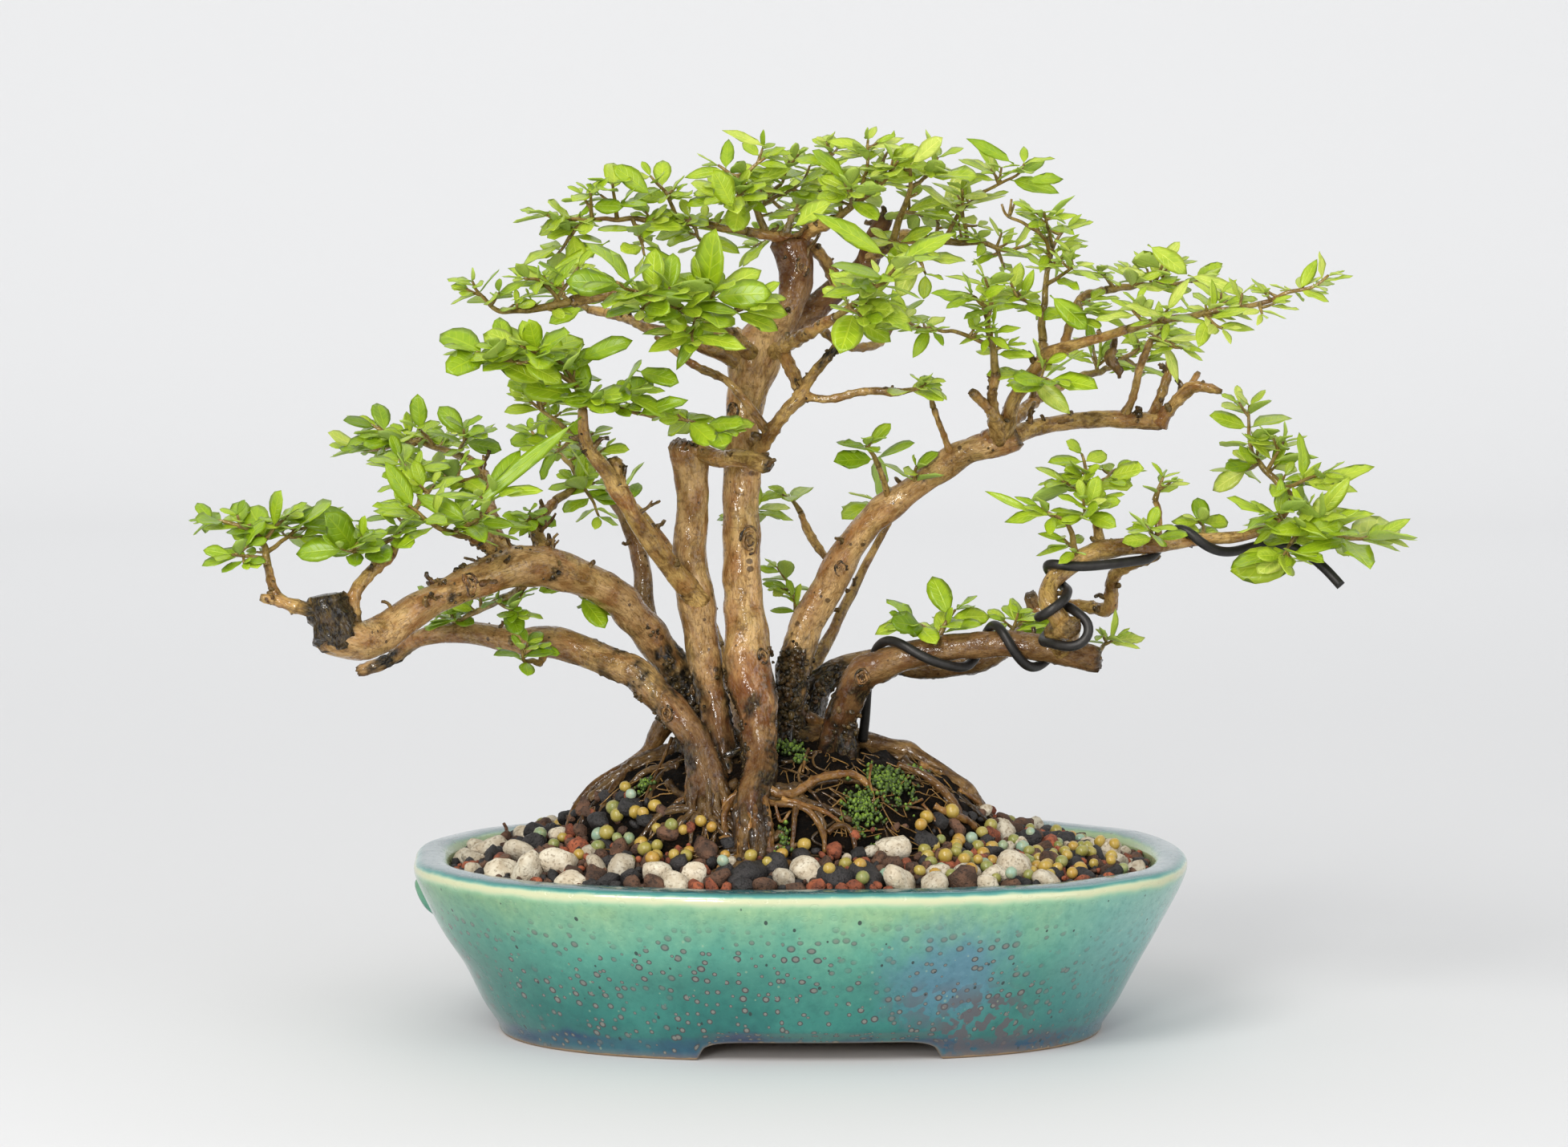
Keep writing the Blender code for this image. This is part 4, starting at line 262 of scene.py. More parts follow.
# Leafy stems: each holds shoots of (points, leaf length, pairs of leaves, leaf form). The first shoot
# leaves the wood at its first point and the others spring from it.
LEAFY_STEMS = {
    "crown_left_spray": [
        ([(-14, 0, 205), (-26, -4, 207), (-40, -8, 208), (-53, -12, 208), (-60, -14, 208),
          (-66, -16, 210)], 9, 4, OVAL),
        ([(-53, -12, 208), (-54, -17, 215)], 8, 3, OVAL),
        ([(-47, -10, 208), (-48, -14, 217)], 11, 3, OVAL),
        ([(-31, -6, 207), (-34, -8, 214), (-38, -10, 219)], 8, 3, OVAL),
        ([(-56, -12, 208), (-60, -10, 202), (-62, -6, 199)], 11, 3, OVAL),
        ([(-43, -9, 208), (-41, -16, 203), (-40, -18, 199)], 10, 3, OVAL),
        ([(-28, -4, 207), (-25, 6, 201)], 10, 3, OVAL),
    ],
    "crown_mid_spray": [
        ([(-9, 2, 205), (-12, 0, 212), (-15, -4, 218), (-9, -6, 224)], 12, 4, LANCE),
        ([(-12, 0, 212), (-5, 6, 217), (-3, 6, 223)], 10, 3, OVAL),
        ([(-13, 0, 213), (-19, -18, 214)], 12, 3, OVAL),
        ([(-15, -4, 218), (-21, -2, 222)], 10, 3, LANCE),
        ([(-5, 6, 216), (2, 16, 218)], 9, 3, OVAL),
    ],
    "fork_left_spray": [
        ([(-59, -32, 187), (-69, -36, 185), (-77, -38, 185), (-82, -40, 189), (-84, -42, 192)], 7, 3, OVAL),
        ([(-61, -33, 187), (-66, -36, 192), (-71, -39, 193)], 10, 3, LANCE),
        ([(-63, -34, 186), (-57, -30, 196)], 9, 3, OVAL),
    ],
    "fork_back_spray": [
        ([(-54, 38, 185), (-60, 44, 188), (-63, 47, 192)], 9, 4, OVAL),
    ],
    "front_crown_left_spray": [
        ([(-18, -26, 179), (-25, -38, 183), (-34, -50, 186), (-41, -58, 189), (-47, -64, 192)], 16, 2, OVAL),
        ([(-25, -38, 183), (-22, -47, 190)], 16, 2, OVAL),
        ([(-24, -37, 182), (-14, -45, 186)], 14, 2, OVAL),
        ([(-27, -40, 183), (-28, -53, 177)], 16, 1, LANCE),
        ([(-38, -54, 187), (-41, -62, 185)], 10, 1, OVAL),
    ],
    "front_crown_right_spray": [
        ([(9, -36, 183), (17, -48, 189), (23, -58, 194), (25, -61, 197)], 17, 2, LANCE),
        ([(12, -41, 185), (16, -50, 183)], 13, 2, OVAL),
    ],
    "crown_top_spray": [
        ([(9, 0, 208), (14, -4, 212), (20, -8, 217), (25, -14, 223)], 9, 3, OVAL),
        ([(11, -1, 209), (8, -3, 221), (7, -4, 227)], 8, 3, OVAL),
        ([(14, -4, 212), (17, -10, 221), (17, -10, 228)], 10, 4, LANCE),
        ([(18, -7, 216), (22, -2, 225)], 9, 3, LANCE),
        ([(10, -2, 215), (13, -18, 216)], 9, 3, OVAL),
    ],
    "crown_tip_spray": [
        ([(23, 10, 201), (26, 4, 209), (28, -2, 216), (28, -6, 221), (27, -8, 224)], 0, 0, OVAL),
        ([(28, -2, 216), (33, 4, 220), (35, 6, 224)], 12, 3, OVAL),
        ([(26, 3, 210), (31, 10, 209)], 9, 3, OVAL),
        ([(24, 9, 203), (30, 2, 198), (32, 0, 194)], 10, 4, OVAL),
    ],
    "crown_rear_spray": [
        ([(-4, 22, 203), (-2, 36, 209), (2, 48, 214), (7, 58, 217), (9, 62, 221)], 10, 4, OVAL),
        ([(-2, 36, 209), (-9, 42, 214), (-13, 45, 216)], 9, 3, OVAL),
        ([(3, 49, 214), (16, 58, 216)], 10, 3, OVAL),
        ([(-3, 30, 206), (-8, 44, 203), (-12, 50, 201)], 9, 3, OVAL),
    ],
    "crown_back_low_spray": [
        ([(23, 38, 180), (25, 42, 185)], 9, 4, OVAL),
    ],
    "crown_right_spray": [
        ([(32, 22, 203), (39, 22, 202), (46, 22, 202), (53, 22, 200), (59, 22, 202)], 9, 3, LANCE),
        ([(37, 22, 203), (41, 20, 210), (47, 16, 215), (55, 12, 219), (57, 12, 222)], 12, 2, LANCE),
        ([(42, 19, 211), (41, 12, 216)], 10, 3, LANCE),
        ([(34, 22, 203), (36, 34, 210), (39, 39, 213)], 9, 3, OVAL),
        ([(50, 22, 201), (52, 28, 196)], 9, 3, LANCE),
    ],
    "high_vertical_spray": [
        ([(62, -14, 177), (62, -10, 184), (63, -6, 193), (64, -4, 200), (66, -3, 204),
          (68, -2, 206)], 9, 3, LANCE),
        ([(63, -5, 196), (63, -10, 202), (59, -14, 206), (53, -17, 209), (51, -18, 212)], 0, 0, LANCE),
        ([(59, -14, 206), (62, -18, 210)], 9, 3, LANCE),
        ([(62, -7, 192), (70, -17, 196)], 9, 4, LANCE),
        ([(62, -10, 185), (56, -18, 188), (54, -19, 192)], 10, 3, LANCE),
    ],
    "high_left_spray": [
        ([(50, -20, 169), (49, -24, 176), (48, -26, 182), (49, -27, 188), (47, -30, 193)], 11, 3, LANCE),
        ([(49, -24, 176), (41, -30, 179), (35, -34, 180), (29, -38, 181), (25, -40, 184)], 10, 3, LANCE),
        ([(48, -26, 185), (43, -36, 189)], 10, 2, LANCE),
    ],
    "high_middle_spray": [
        ([(78, -2, 190), (86, 4, 191), (96, 10, 192), (102, 12, 192)], 12, 3, LANCE),
        ([(91, 6, 191), (93, 4, 197)], 11, 2, OVAL),
        ([(85, 3, 191), (84, 10, 196)], 9, 3, LANCE),
        ([(80, 0, 190), (76, -6, 195)], 9, 3, LANCE),
    ],
    "high_hanging_spray": [
        ([(71, -8, 187), (72, -18, 183)], 12, 2, OVAL),
    ],
    "high_rising_spray": [
        ([(84, -28, 180), (92, -32, 182), (103, -36, 184), (115, -40, 186), (127, -43, 190),
          (132, -44, 191), (135, -44, 194)], 8, 3, LANCE),
        ([(92, -32, 182), (94, -40, 185)], 10, 3, LANCE),
        ([(88, -30, 181), (85, -32, 185)], 10, 3, LANCE),
        ([(104, -36, 184), (109, -32, 187)], 10, 3, LANCE),
        ([(103, -36, 184), (108, -42, 180)], 10, 3, LANCE),
        ([(117, -41, 187), (118, -46, 184)], 8, 1, LANCE),
    ],
    "high_shoot_spray": [
        ([(90, 4, 178), (98, 2, 175)], 10, 4, LANCE),
    ],
    "high_back_spray": [
        ([(68, 28, 167), (76, 36, 169), (80, 42, 171), (91, 50, 178), (94, 54, 182)], 10, 4, LANCE),
        ([(76, 36, 169), (75, 44, 176)], 10, 4, LANCE),
        ([(83, 44, 173), (88, 54, 169)], 10, 2, LANCE),
    ],
    "high_base_spray": [
        ([(59, -14, 168), (64, -30, 167)], 13, 2, OVAL),
    ],
    "network_spray": [
        ([(26, -28, 164), (31, -33, 165)], 9, 3, OVAL),
    ],
    "mid_right_spray": [
        ([(34, -8, 160), (33, -10, 164)], 9, 4, OVAL),
    ],
    "mid_right_low_spray": [
        ([(20, -4, 145), (17, -8, 150)], 10, 4, OVAL),
    ],
    "mid_right_small_spray": [
        ([(29, 2, 139), (30, -4, 145)], 8, 3, OVAL),
    ],
    "mid_left_spray": [
        ([(0, 20, 133), (-3, 23, 137)], 11, 3, OVAL),
    ],
    "mid_rear_spray": [
        ([(23, 52, 131), (19, 48, 136)], 12, 3, OVAL),
    ],
    "low_green_shoot": [
        ([(0, 6, 100), (-2, 20, 112), (-6, 24, 119)], 7, 5, OVAL),
    ],
    "main_rear_spray": [
        ([(-15, -10, 128), (-11, 16, 134)], 10, 3, OVAL),
    ],
    "left_outer_spray": [
        ([(-137, -66, 119), (-138, -62, 125), (-143, -58, 129), (-153, -56, 131)], 9, 4, OVAL),
        ([(-138, -62, 125), (-134, -60, 131)], 11, 3, OVAL),
        ([(-137, -65, 121), (-146, -70, 122)], 11, 2, OVAL),
        ([(-138, -64, 123), (-128, -56, 129), (-125, -54, 130)], 14, 2, OVAL),
    ],
    "left_mid_spray": [
        ([(-105, -56, 122), (-102, -46, 130), (-98, -36, 136), (-100, -28, 143),
          (-103, -26, 147)], 10, 3, OVAL),
        ([(-103, -50, 126), (-113, -66, 123), (-118, -72, 124)], 12, 3, OVAL),
        ([(-100, -40, 134), (-94, -34, 140)], 9, 3, OVAL),
    ],
    "left_pad_spray": [
        ([(-86, 2, 147), (-94, 12, 150), (-103, 20, 152), (-111, 24, 156)], 10, 3, OVAL),
        ([(-94, 12, 150), (-98, 6, 155)], 10, 3, OVAL),
        ([(-98, 16, 151), (-105, 14, 147)], 9, 3, OVAL),
        ([(-89, 4, 148), (-85, -4, 153)], 10, 3, OVAL),
        ([(-100, 18, 151), (-109, 32, 149), (-115, 36, 150)], 9, 3, OVAL),
    ],
    "left_pad_low_spray": [
        ([(-81, -8, 142), (-89, -17, 141), (-93, -20, 142)], 9, 4, OVAL),
    ],
    "left_front_pad_spray": [
        ([(-85, -44, 127), (-91, -52, 128), (-96, -58, 131), (-101, -62, 135)], 13, 3, LANCE),
        ([(-89, -50, 128), (-82, -62, 132), (-79, -66, 138)], 19, 1, LANCE),
    ],
    "left_inner_spray": [
        ([(-63, -10, 136), (-57, -2, 141), (-61, 6, 147), (-66, 12, 150), (-69, 14, 154)], 8, 4, OVAL),
        ([(-57, -2, 141), (-54, -10, 137), (-52, -12, 132)], 9, 3, OVAL),
        ([(-60, 4, 146), (-55, 14, 149)], 9, 3, OVAL),
    ],
    "left_inner_low_spray": [
        ([(-66, -15, 132), (-71, -26, 131)], 7, 4, OVAL),
    ],
    "left_under_spray": [
        ([(-72, -32, 113), (-78, -22, 110), (-84, -12, 107), (-90, -4, 105), (-97, 0, 109)], 9, 3, OVAL),
        ([(-78, -22, 110), (-73, -32, 107)], 8, 2, OVAL),
    ],
    "left_arch_under_spray": [
        ([(-60, -24, 119), (-57, -16, 112), (-54, -12, 109)], 9, 3, OVAL),
    ],
    "left_low_clover": [
        ([(-67, -20, 94), (-71, -27, 95), (-72, -29, 98)], 8, 2, OVAL),
    ],
    "front_lean_spray": [
        ([(-56, -50, 160), (-58, -54, 166), (-61, -56, 171)], 15, 3, OVAL),
        ([(-58, -54, 166), (-65, -58, 170), (-76, -62, 172), (-83, -64, 174)], 14, 2, OVAL),
        ([(-69, -60, 171), (-72, -63, 176)], 15, 2, OVAL),
        ([(-56, -51, 162), (-48, -50, 160), (-40, -46, 158), (-30, -42, 157), (-24, -40, 155),
          (-20, -42, 154)], 11, 3, OVAL),
        ([(-48, -50, 160), (-44, -57, 164)], 14, 2, OVAL),
    ],
    "front_lean_back_spray": [
        ([(-51, -42, 145), (-61, -34, 155), (-70, -28, 162)], 9, 4, OVAL),
        ([(-66, -31, 159), (-69, -30, 167)], 9, 3, OVAL),
        ([(-58, -36, 152), (-63, -26, 148)], 9, 3, OVAL),
    ],
    "low_branch_spray": [
        ([(34, -19, 97), (37, -17, 104), (40, -16, 108)], 12, 2, OVAL),
        ([(36, -18, 101), (28, -16, 105)], 11, 2, OVAL),
    ],
    "low_branch_small_spray": [
        ([(51, -21, 98), (56, -12, 104), (60, -10, 105)], 9, 3, OVAL),
    ],
    "low_end_blade": [
        ([(76, -22, 96), (79, -12, 100)], 11, 1, LANCE),
    ],
    "wired_up_spray": [
        ([(76, -24, 131), (75, -20, 139), (72, -18, 148)], 9, 3, OVAL),
        ([(75, -21, 137), (67, -26, 141)], 9, 3, OVAL),
        ([(75, -20, 139), (81, -12, 144)], 9, 3, OVAL),
        ([(76, -23, 133), (72, -36, 132)], 9, 3, OVAL),
    ],
    "wired_left_spray": [
        ([(71, -32, 121), (69, -37, 129), (62, -39, 134)], 12, 1, LANCE),
    ],
    "wired_side_spray": [
        ([(91, -18, 136), (93, -18, 142)], 8, 3, LANCE),
    ],
    "wired_mid_spray": [
        ([(91, -25, 125), (90, -36, 129)], 8, 4, OVAL),
    ],
    "wired_mid_rear_spray": [
        ([(104, -22, 126), (103, -12, 131)], 9, 4, OVAL),
    ],
    "wired_upper_spray": [
        ([(127, -14, 136), (122, -10, 141), (116, -6, 148), (115, -4, 156), (115, -4, 160)], 10, 4, OVAL),
        ([(124, -11, 139), (134, -18, 143)], 12, 3, LANCE),
        ([(120, -8, 144), (124, -10, 151)], 10, 3, LANCE),
        ([(118, -7, 146), (113, 4, 143)], 10, 2, OVAL),
    ],
    "wired_end_spray": [
        ([(122, -18, 130), (129, -22, 128), (134, -26, 127), (148, -28, 126)], 20, 3, LANCE),
        ([(124, -19, 129), (123, -34, 133)], 14, 2, LANCE),
        ([(128, -22, 128), (124, -35, 122)], 16, 1, OVAL),
        ([(126, -21, 128), (130, -8, 133)], 12, 2, LANCE),
    ],
    "left_rear_spray": [
        ([(-43, 66, 135), (-47, 68, 139)], 10, 4, OVAL),
    ],
}


def placed(rows):
    """Drawn rows slid along their lines of sight to their depths; a radius is left alone."""
    rows = np.array(rows, float)
    reach = (rows[:, 1] - VIEWPOINT[1]) / -VIEWPOINT[1]
    moved = rows.copy()
    for axis in (0, 2):
        moved[:, axis] = VIEWPOINT[axis] + (rows[:, axis] - VIEWPOINT[axis]) * reach
    return moved


def unit(vectors):
    """Each vector over its own length."""
    return vectors / np.maximum(np.linalg.norm(vectors, axis=-1, keepdims=True), 1e-9)


def waves(points, length, seed, count=12):
    """Soft noise, mostly from -1 to 1: a sum of sine waves of about one length that run in random directions."""
    draw = np.random.default_rng(seed)
    ways = unit(draw.normal(size=(count, 3))) * (2 * np.pi / (length * draw.uniform(0.6, 1.6, (count, 1))))
    phases = draw.uniform(0, 2 * np.pi, count)
    sums = np.sin(points.reshape(-1, 3) @ ways.T + phases).sum(axis=-1)
    return (sums / math.sqrt(count)).reshape(points.shape[:-1])


def along(rows):
    """Distance along a path at each of its rows."""
    return np.concatenate(([0.0], np.cumsum(np.linalg.norm(np.diff(rows[:, :3], axis=0), axis=1))))


def curve(rows, step):
    """Rows about a step apart on a Catmull-Rom curve through the given ones; a radius is carried along."""
    rows = np.asarray(rows, float)
    padded = np.vstack((2 * rows[0] - rows[1], rows, 2 * rows[-1] - rows[-2]))
    a, b, c, d = (padded[i:len(padded) - 3 + i, None] for i in range(4))
    t = np.linspace(0, 1, 12, endpoint=False)[None, :, None]
    fine = 0.5 * (2 * b + (c - a) * t + (2 * a - 5 * b + 4 * c - d) * t ** 2 + (3 * b - a - 3 * c + d) * t ** 3)
    fine = np.vstack((fine.reshape(-1, rows.shape[1]), rows[-1]))
    reached = along(fine)
    places = np.linspace(0, reached[-1], max(4, int(reached[-1] / step) + 2))
    return np.column_stack([np.interp(places, reached, column) for column in fine.T])


def frames(path):
    """The way a path runs at each point, and two directions square to it that are carried on without twist."""
    steps = unit(np.diff(path, axis=0))
    ways = unit(np.vstack((steps[:1], steps[:-1] + steps[1:], steps[-1:])))
    start = np.array((0.0, 1.0, 0.0)) if abs(ways[0][1]) < 0.8 else np.array((1.0, 0.0, 0.0))
    side = np.cross(ways[0], start)
    sides = []
    for way in ways:
        side = unit(side - way * np.dot(side, way))
        sides.append(side)
    sides = np.array(sides)
    return ways, sides, np.cross(ways, sides)


def grid_quads(rows, columns, closed=True):
    """Faces of a grid of points, row by row; a closed grid joins its last column to its first."""
    i = np.arange(rows - 1)[:, None] * columns
    j = np.arange(columns if closed else columns - 1)[None, :]
    k = (j + 1) % columns
    return np.stack((i + j, i + k, i + columns + k, i + columns + j), axis=-1).reshape(-1, 4)


def fan(ring, centre):
    """Triangles from a ring of points to one in its middle."""
    return np.column_stack((ring, np.roll(ring, -1), np.full(len(ring), centre)))


def caps(rows, columns):
    """Triangles that close a grid's two ends onto the two points that follow the grid's own."""
    last = rows * columns
    return np.vstack((fan(np.arange(columns)[::-1], last), fan(np.arange(columns) + last - columns, last + 1)))


def copies(faces, count, points):
    """The faces of one small surface for each of many that have the same number of points."""
    return faces + np.arange(count)[:, None, None] * points


def circle(count):
    """Even turns round a circle."""
    return 2 * np.pi * np.arange(count) / count


class Shape:
    """Surfaces gathered into one mesh: points, faces, and named values at the points."""

    def __init__(self):
        self.points, self.quads, self.tris, self.values = [], [], [], {}
        self.quad_finish, self.tri_finish = [], []
        self.count = 0

    def add(self, points, quads=(), tris=(), finish=0, **values):
        """Adds a surface. A value is one number for all of its points, or a row for each."""
        points = np.asarray(points, float).reshape(-1, 3)
        quads = np.asarray(quads, int).reshape(-1, 4)
        tris = np.asarray(tris, int).reshape(-1, 3)
        for name, value in values.items():
            value = np.asarray(value, float)
            rows = value.reshape(len(points), -1) if value.size > 1 else np.full((len(points), 1), float(value))
            self.values.setdefault(name, []).append((self.count, rows))
        self.points.append(points)
        self.quads.append(quads + self.count)
        self.tris.append(tris + self.count)
        self.quad_finish.append(np.full(len(quads), finish))
        self.tri_finish.append(np.full(len(tris), finish))
        self.count += len(points)

    def mesh(self, name):
        """The mesh, with its places in the frame and its values as attributes of the points."""
        points = np.concatenate(self.points)
        faces = np.concatenate(self.quads).tolist() + np.concatenate(self.tris).tolist()
        mesh = bpy.data.meshes.new(name)
        mesh.from_pydata(((points + POT_MIDDLE) * MM).tolist(), [], faces)
        mesh.polygons.foreach_set("material_index", np.concatenate(self.quad_finish + self.tri_finish).astype(int))
        for label, chunks in self.values.items():
            width = max(chunk.shape[1] for _, chunk in chunks)
            whole = np.zeros((len(points), width), np.float32)
            for first, chunk in chunks:
                whole[first:first + len(chunk)] = chunk
            made = mesh.attributes.new(label, "FLOAT_VECTOR" if width == 3 else "FLOAT", "POINT")
            made.data.foreach_set("vector" if width == 3 else "value", whole.ravel())
        mesh.shade_smooth()
        return mesh


def make_piece(name, shape, materials, replaced):
    """A new piece of the plant that stands for the named nodes and goes with the frame's one body."""
    mesh = shape.mesh(name)
    for made in materials:
        mesh.materials.append(made)
    piece = bpy.data.objects.new(name, mesh)
    bpy.context.scene.collection.objects.link(piece)
    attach(piece, "root")
    if replaced:
        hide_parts(*replaced)
    return piece


def tube(path, radii, sides, swell=None):
    """A profile carried along a path. Its radius is the path's own, times one plus a swelling that is a
    function of the place along it, the angle round it and the plain surface point there.
    Returns points, faces, the angle-and-length coordinates in mm, and the distance along."""
    _, side, other = frames(path)
    angle = circle(sides)
    round_about = np.cos(angle)[None, :, None] * side[:, None] + np.sin(angle)[None, :, None] * other[:, None]
    radius = np.repeat(radii[:, None], sides, axis=1)
    reached = along(path)
    if swell is not None:
        radius = radius * (1 + swell(reached[:, None], angle[None, :], path[:, None] + round_about * radius[..., None]))
    points = (path[:, None] + round_about * radius[..., None]).reshape(-1, 3)
    points = np.vstack((points, path[:1], path[-1:]))
    grain = np.stack(np.broadcast_arrays(np.cos(angle) * radii[:, None], np.sin(angle) * radii[:, None],
                                         reached[:, None]), axis=-1).reshape(-1, 3)
    grain = np.vstack((grain, (0, 0, reached[0]), (0, 0, reached[-1])))
    far = np.concatenate((np.repeat(reached, sides), reached[:1], reached[-1:]))
    return points, grid_quads(len(path), sides), caps(len(path), sides), grain, far


def oval(half_length, half_width, angle):
    """Plan of an oval that is a little squarer than an ellipse."""
    cosine, sine = np.cos(angle), np.sin(angle)
    return (half_length * np.sign(cosine) * np.abs(cosine) ** (2 / OVAL_POWER),
            half_width * np.sign(sine) * np.abs(sine) ** (2 / OVAL_POWER))


def oval_reach(x, y, half_length, half_width):
    """0 at the middle of an oval and 1 on its edge."""
    return ((np.abs(x) / half_length) ** OVAL_POWER + (np.abs(y) / half_width) ** OVAL_POWER) ** (1 / OVAL_POWER)


def pad_reach(x, y):
    """0 at the middle of the root pad and 1 at its edge."""
    return np.hypot((x - PAD_CENTRE_X) / PAD_HALF[0], y / PAD_HALF[1])


def on_pad(reach, angle):
    """The plan of places on the root pad, from its middle and round it."""
    return PAD_CENTRE_X + PAD_HALF[0] * reach * np.cos(angle), PAD_HALF[1] * reach * np.sin(angle)


def pad_height(x, y):
    """Top of the root pad: a dome with full shoulders and low lumps."""
    reach = np.minimum(pad_reach(x, y), 1.0)
    lumps = 0.9 * np.sin(0.23 * x + 0.6) * np.cos(0.31 * y) + 0.6 * np.sin(0.47 * x - 0.36 * y)
    return PAD_EDGE + PAD_HEIGHT * (1 - reach ** 3) ** 0.8 + lumps * (1 - reach) ** 0.5


def soil_height(x, y):
    """Top of the gravel: higher against the root pad."""
    return SOIL_LEVEL + BANK_HEIGHT * np.exp(-np.maximum(pad_reach(x, y) - 1, 0) * 3.2)


class Value:
    """What comes out of a shader node. Sums with it put down the math nodes that they stand for."""

    def __init__(self, net, socket):
        self.net, self.socket = net, socket

    def __add__(self, other):
        return self.net.math("ADD", self, other)

    def __sub__(self, other):
        return self.net.math("SUBTRACT", self, other)

    def __rsub__(self, other):
        return self.net.math("SUBTRACT", other, self)

    def __mul__(self, other):
        return self.net.math("MULTIPLY", self, other)

    def __truediv__(self, other):
        return self.net.math("DIVIDE", self, other)

    def __rtruediv__(self, other):
        return self.net.math("DIVIDE", other, self)

    def __abs__(self):
        return self.net.math("ABSOLUTE", self)

    def swing(self, width):
        """A noise turned into a swing of a width about zero."""
        return self.net.math("MULTIPLY_ADD", self, width, -width / 2)

    def fade(self, low, high, start=0.0, end=1.0):
        """A smooth change from start to end as the value goes from low to high."""
        return self.net.value("ShaderNodeMapRange", {"Value": self, "From Min": low, "From Max": high, "To Min": start,
                                                     "To Max": end}, interpolation_type="SMOOTHSTEP")


class Net:
    """A shader tree being put together: nodes are put down with their values and joined to what feeds them."""

    def __init__(self, tree):
        self.tree = tree

    def put(self, kind, inputs=None, **settings):
        """A new node with its settings, its inputs set or joined to what feeds them."""
        node = self.tree.nodes.new(kind)
        for name, value in settings.items():
            setattr(node, name, value)
        for key, value in (inputs or {}).items():
            socket = node.inputs[key]
            if isinstance(value, Value):
                self.tree.links.new(value.socket, socket)
            elif socket.type == "RGBA":
                socket.default_value = (*value[:3], 1.0)
            else:
                socket.default_value = value
        return node

    def value(self, kind, inputs=None, output=0, **settings):
        """One output of a new node."""
        return Value(self, self.put(kind, inputs, **settings).outputs[output])

    def values(self, kind, inputs=None, **settings):
        """All outputs of a new node, by name."""
        return {socket.name: Value(self, socket) for socket in self.put(kind, inputs, **settings).outputs}

    def math(self, operation, *values):
        """What an operation makes of numbers."""
        return self.value("ShaderNodeMath", dict(enumerate(values)), operation=operation)

    def most(self, one, other):
        """The greater of two."""
        return self.math("MAXIMUM", one, other)

    def blend(self, share, under, over, mode="MIX"):
        """One colour laid over another by a share."""
        return self.value("ShaderNodeMix", {0: share, 6: under, 7: over}, 2, data_type="RGBA", blend_type=mode,
                          clamp_factor=True)

    def tint(self, colour, by):
        """A colour multiplied by another."""
        return self.blend(1.0, colour, by, "MULTIPLY")

    def ramp(self, value, stops):
        """A colour that follows a value through the given stops."""
        node = self.put("ShaderNodeValToRGB", {"Fac": value})
        while len(node.color_ramp.elements) < len(stops):
            node.color_ramp.elements.new(0.5)
        for element, (position, colour) in zip(node.color_ramp.elements, stops):
            element.position = position
            element.color = (*colour, 1.0)
        return Value(self, node.outputs["Color"])

    def grey(self, value):
        """A value as a colour."""
        return self.value("ShaderNodeCombineColor", {0: value, 1: value, 2: value})

    def split(self, vector):
        """The three parts of a vector."""
        return self.values("ShaderNodeSeparateXYZ", {"Vector": vector}).values()

    def distance(self, place, point):
        """How far a place is from a point."""
        return self.value("ShaderNodeVectorMath", {0: place, 1: point}, "Value", operation="DISTANCE")

    def scaled(self, place, scale, shift=(0.0, 0.0, 0.0), turn=(0.0, 0.0, 0.0)):
        """A place scaled, turned and shifted."""
        return self.value("ShaderNodeMapping", {"Vector": place, "Scale": scale, "Location": shift, "Rotation": turn})

    def pot_place(self):
        """The place on a finished surface in millimetres about the pot's middle."""
        return self.scaled(self.value("ShaderNodeTexCoord", output="Object"), (1 / MM,) * 3, tuple(-POT_MIDDLE))

    def stored(self, name, output="Fac"):
        """A value that the surface's points carry."""
        return self.value("ShaderNodeAttribute", output=output, attribute_name=name)

    def noise(self, place, scale, detail=3.0, roughness=0.5, distortion=0.0):
        """A noise from 0 to 1. Its scale is one number, or one for each direction."""
        if isinstance(scale, tuple):
            place, scale = self.scaled(place, scale), 1.0
        return self.value("ShaderNodeTexNoise", {"Vector": place, "Scale": scale, "Detail": detail,
                                                 "Roughness": roughness, "Distortion": distortion}, "Fac")

    def use(self, name, **inputs):
        """A group placed here with its own values."""
        tree = bpy.data.node_groups.get(name) or GROUPS[name](name)
        return self.values("ShaderNodeGroup", spaced(inputs), node_tree=tree)

    def specks(self, place, spacing, radius, edge, share, kind="Specks"):
        """Round specks in a share of the cells of a spacing: masks of them and of their rings, and their tones."""
        return self.use(kind, Place=place, Spacing=spacing, Radius=radius, Edge=edge, Share=share)

    def blotches(self, place, size, level, softness, detail=3.0):
        """A mask of soft-edged blotches of a size."""
        return self.use("Blotches", Place=place, Size=size, Level=level, Softness=softness, Detail=detail)["Mask"]

    def relief(self, place, coarse, fine, share):
        """A rough height from 0 to 1, of a coarse and a fine size and the fine one's share."""
        return self.use("Relief", Place=place, Coarse_size=coarse, Fine_size=fine, Fine_share=share)["Height"]

    def bump(self, height, distance, strength=1.0):
        """A normal bent by a height in shares of a distance in mm."""
        return self.value("ShaderNodeBump", {"Height": height, "Strength": strength, "Distance": distance * MM})

    def shade(self, **inputs):
        """Puts down a material's shader, fed by its named inputs."""
        shader = self.value("ShaderNodeBsdfPrincipled", spaced(inputs))
        self.put("ShaderNodeOutputMaterial", {"Surface": shader})


def spaced(inputs):
    """Named arguments with spaces in their names again, as sockets have them."""
    return {label.replace("_", " "): value for label, value in inputs.items()}


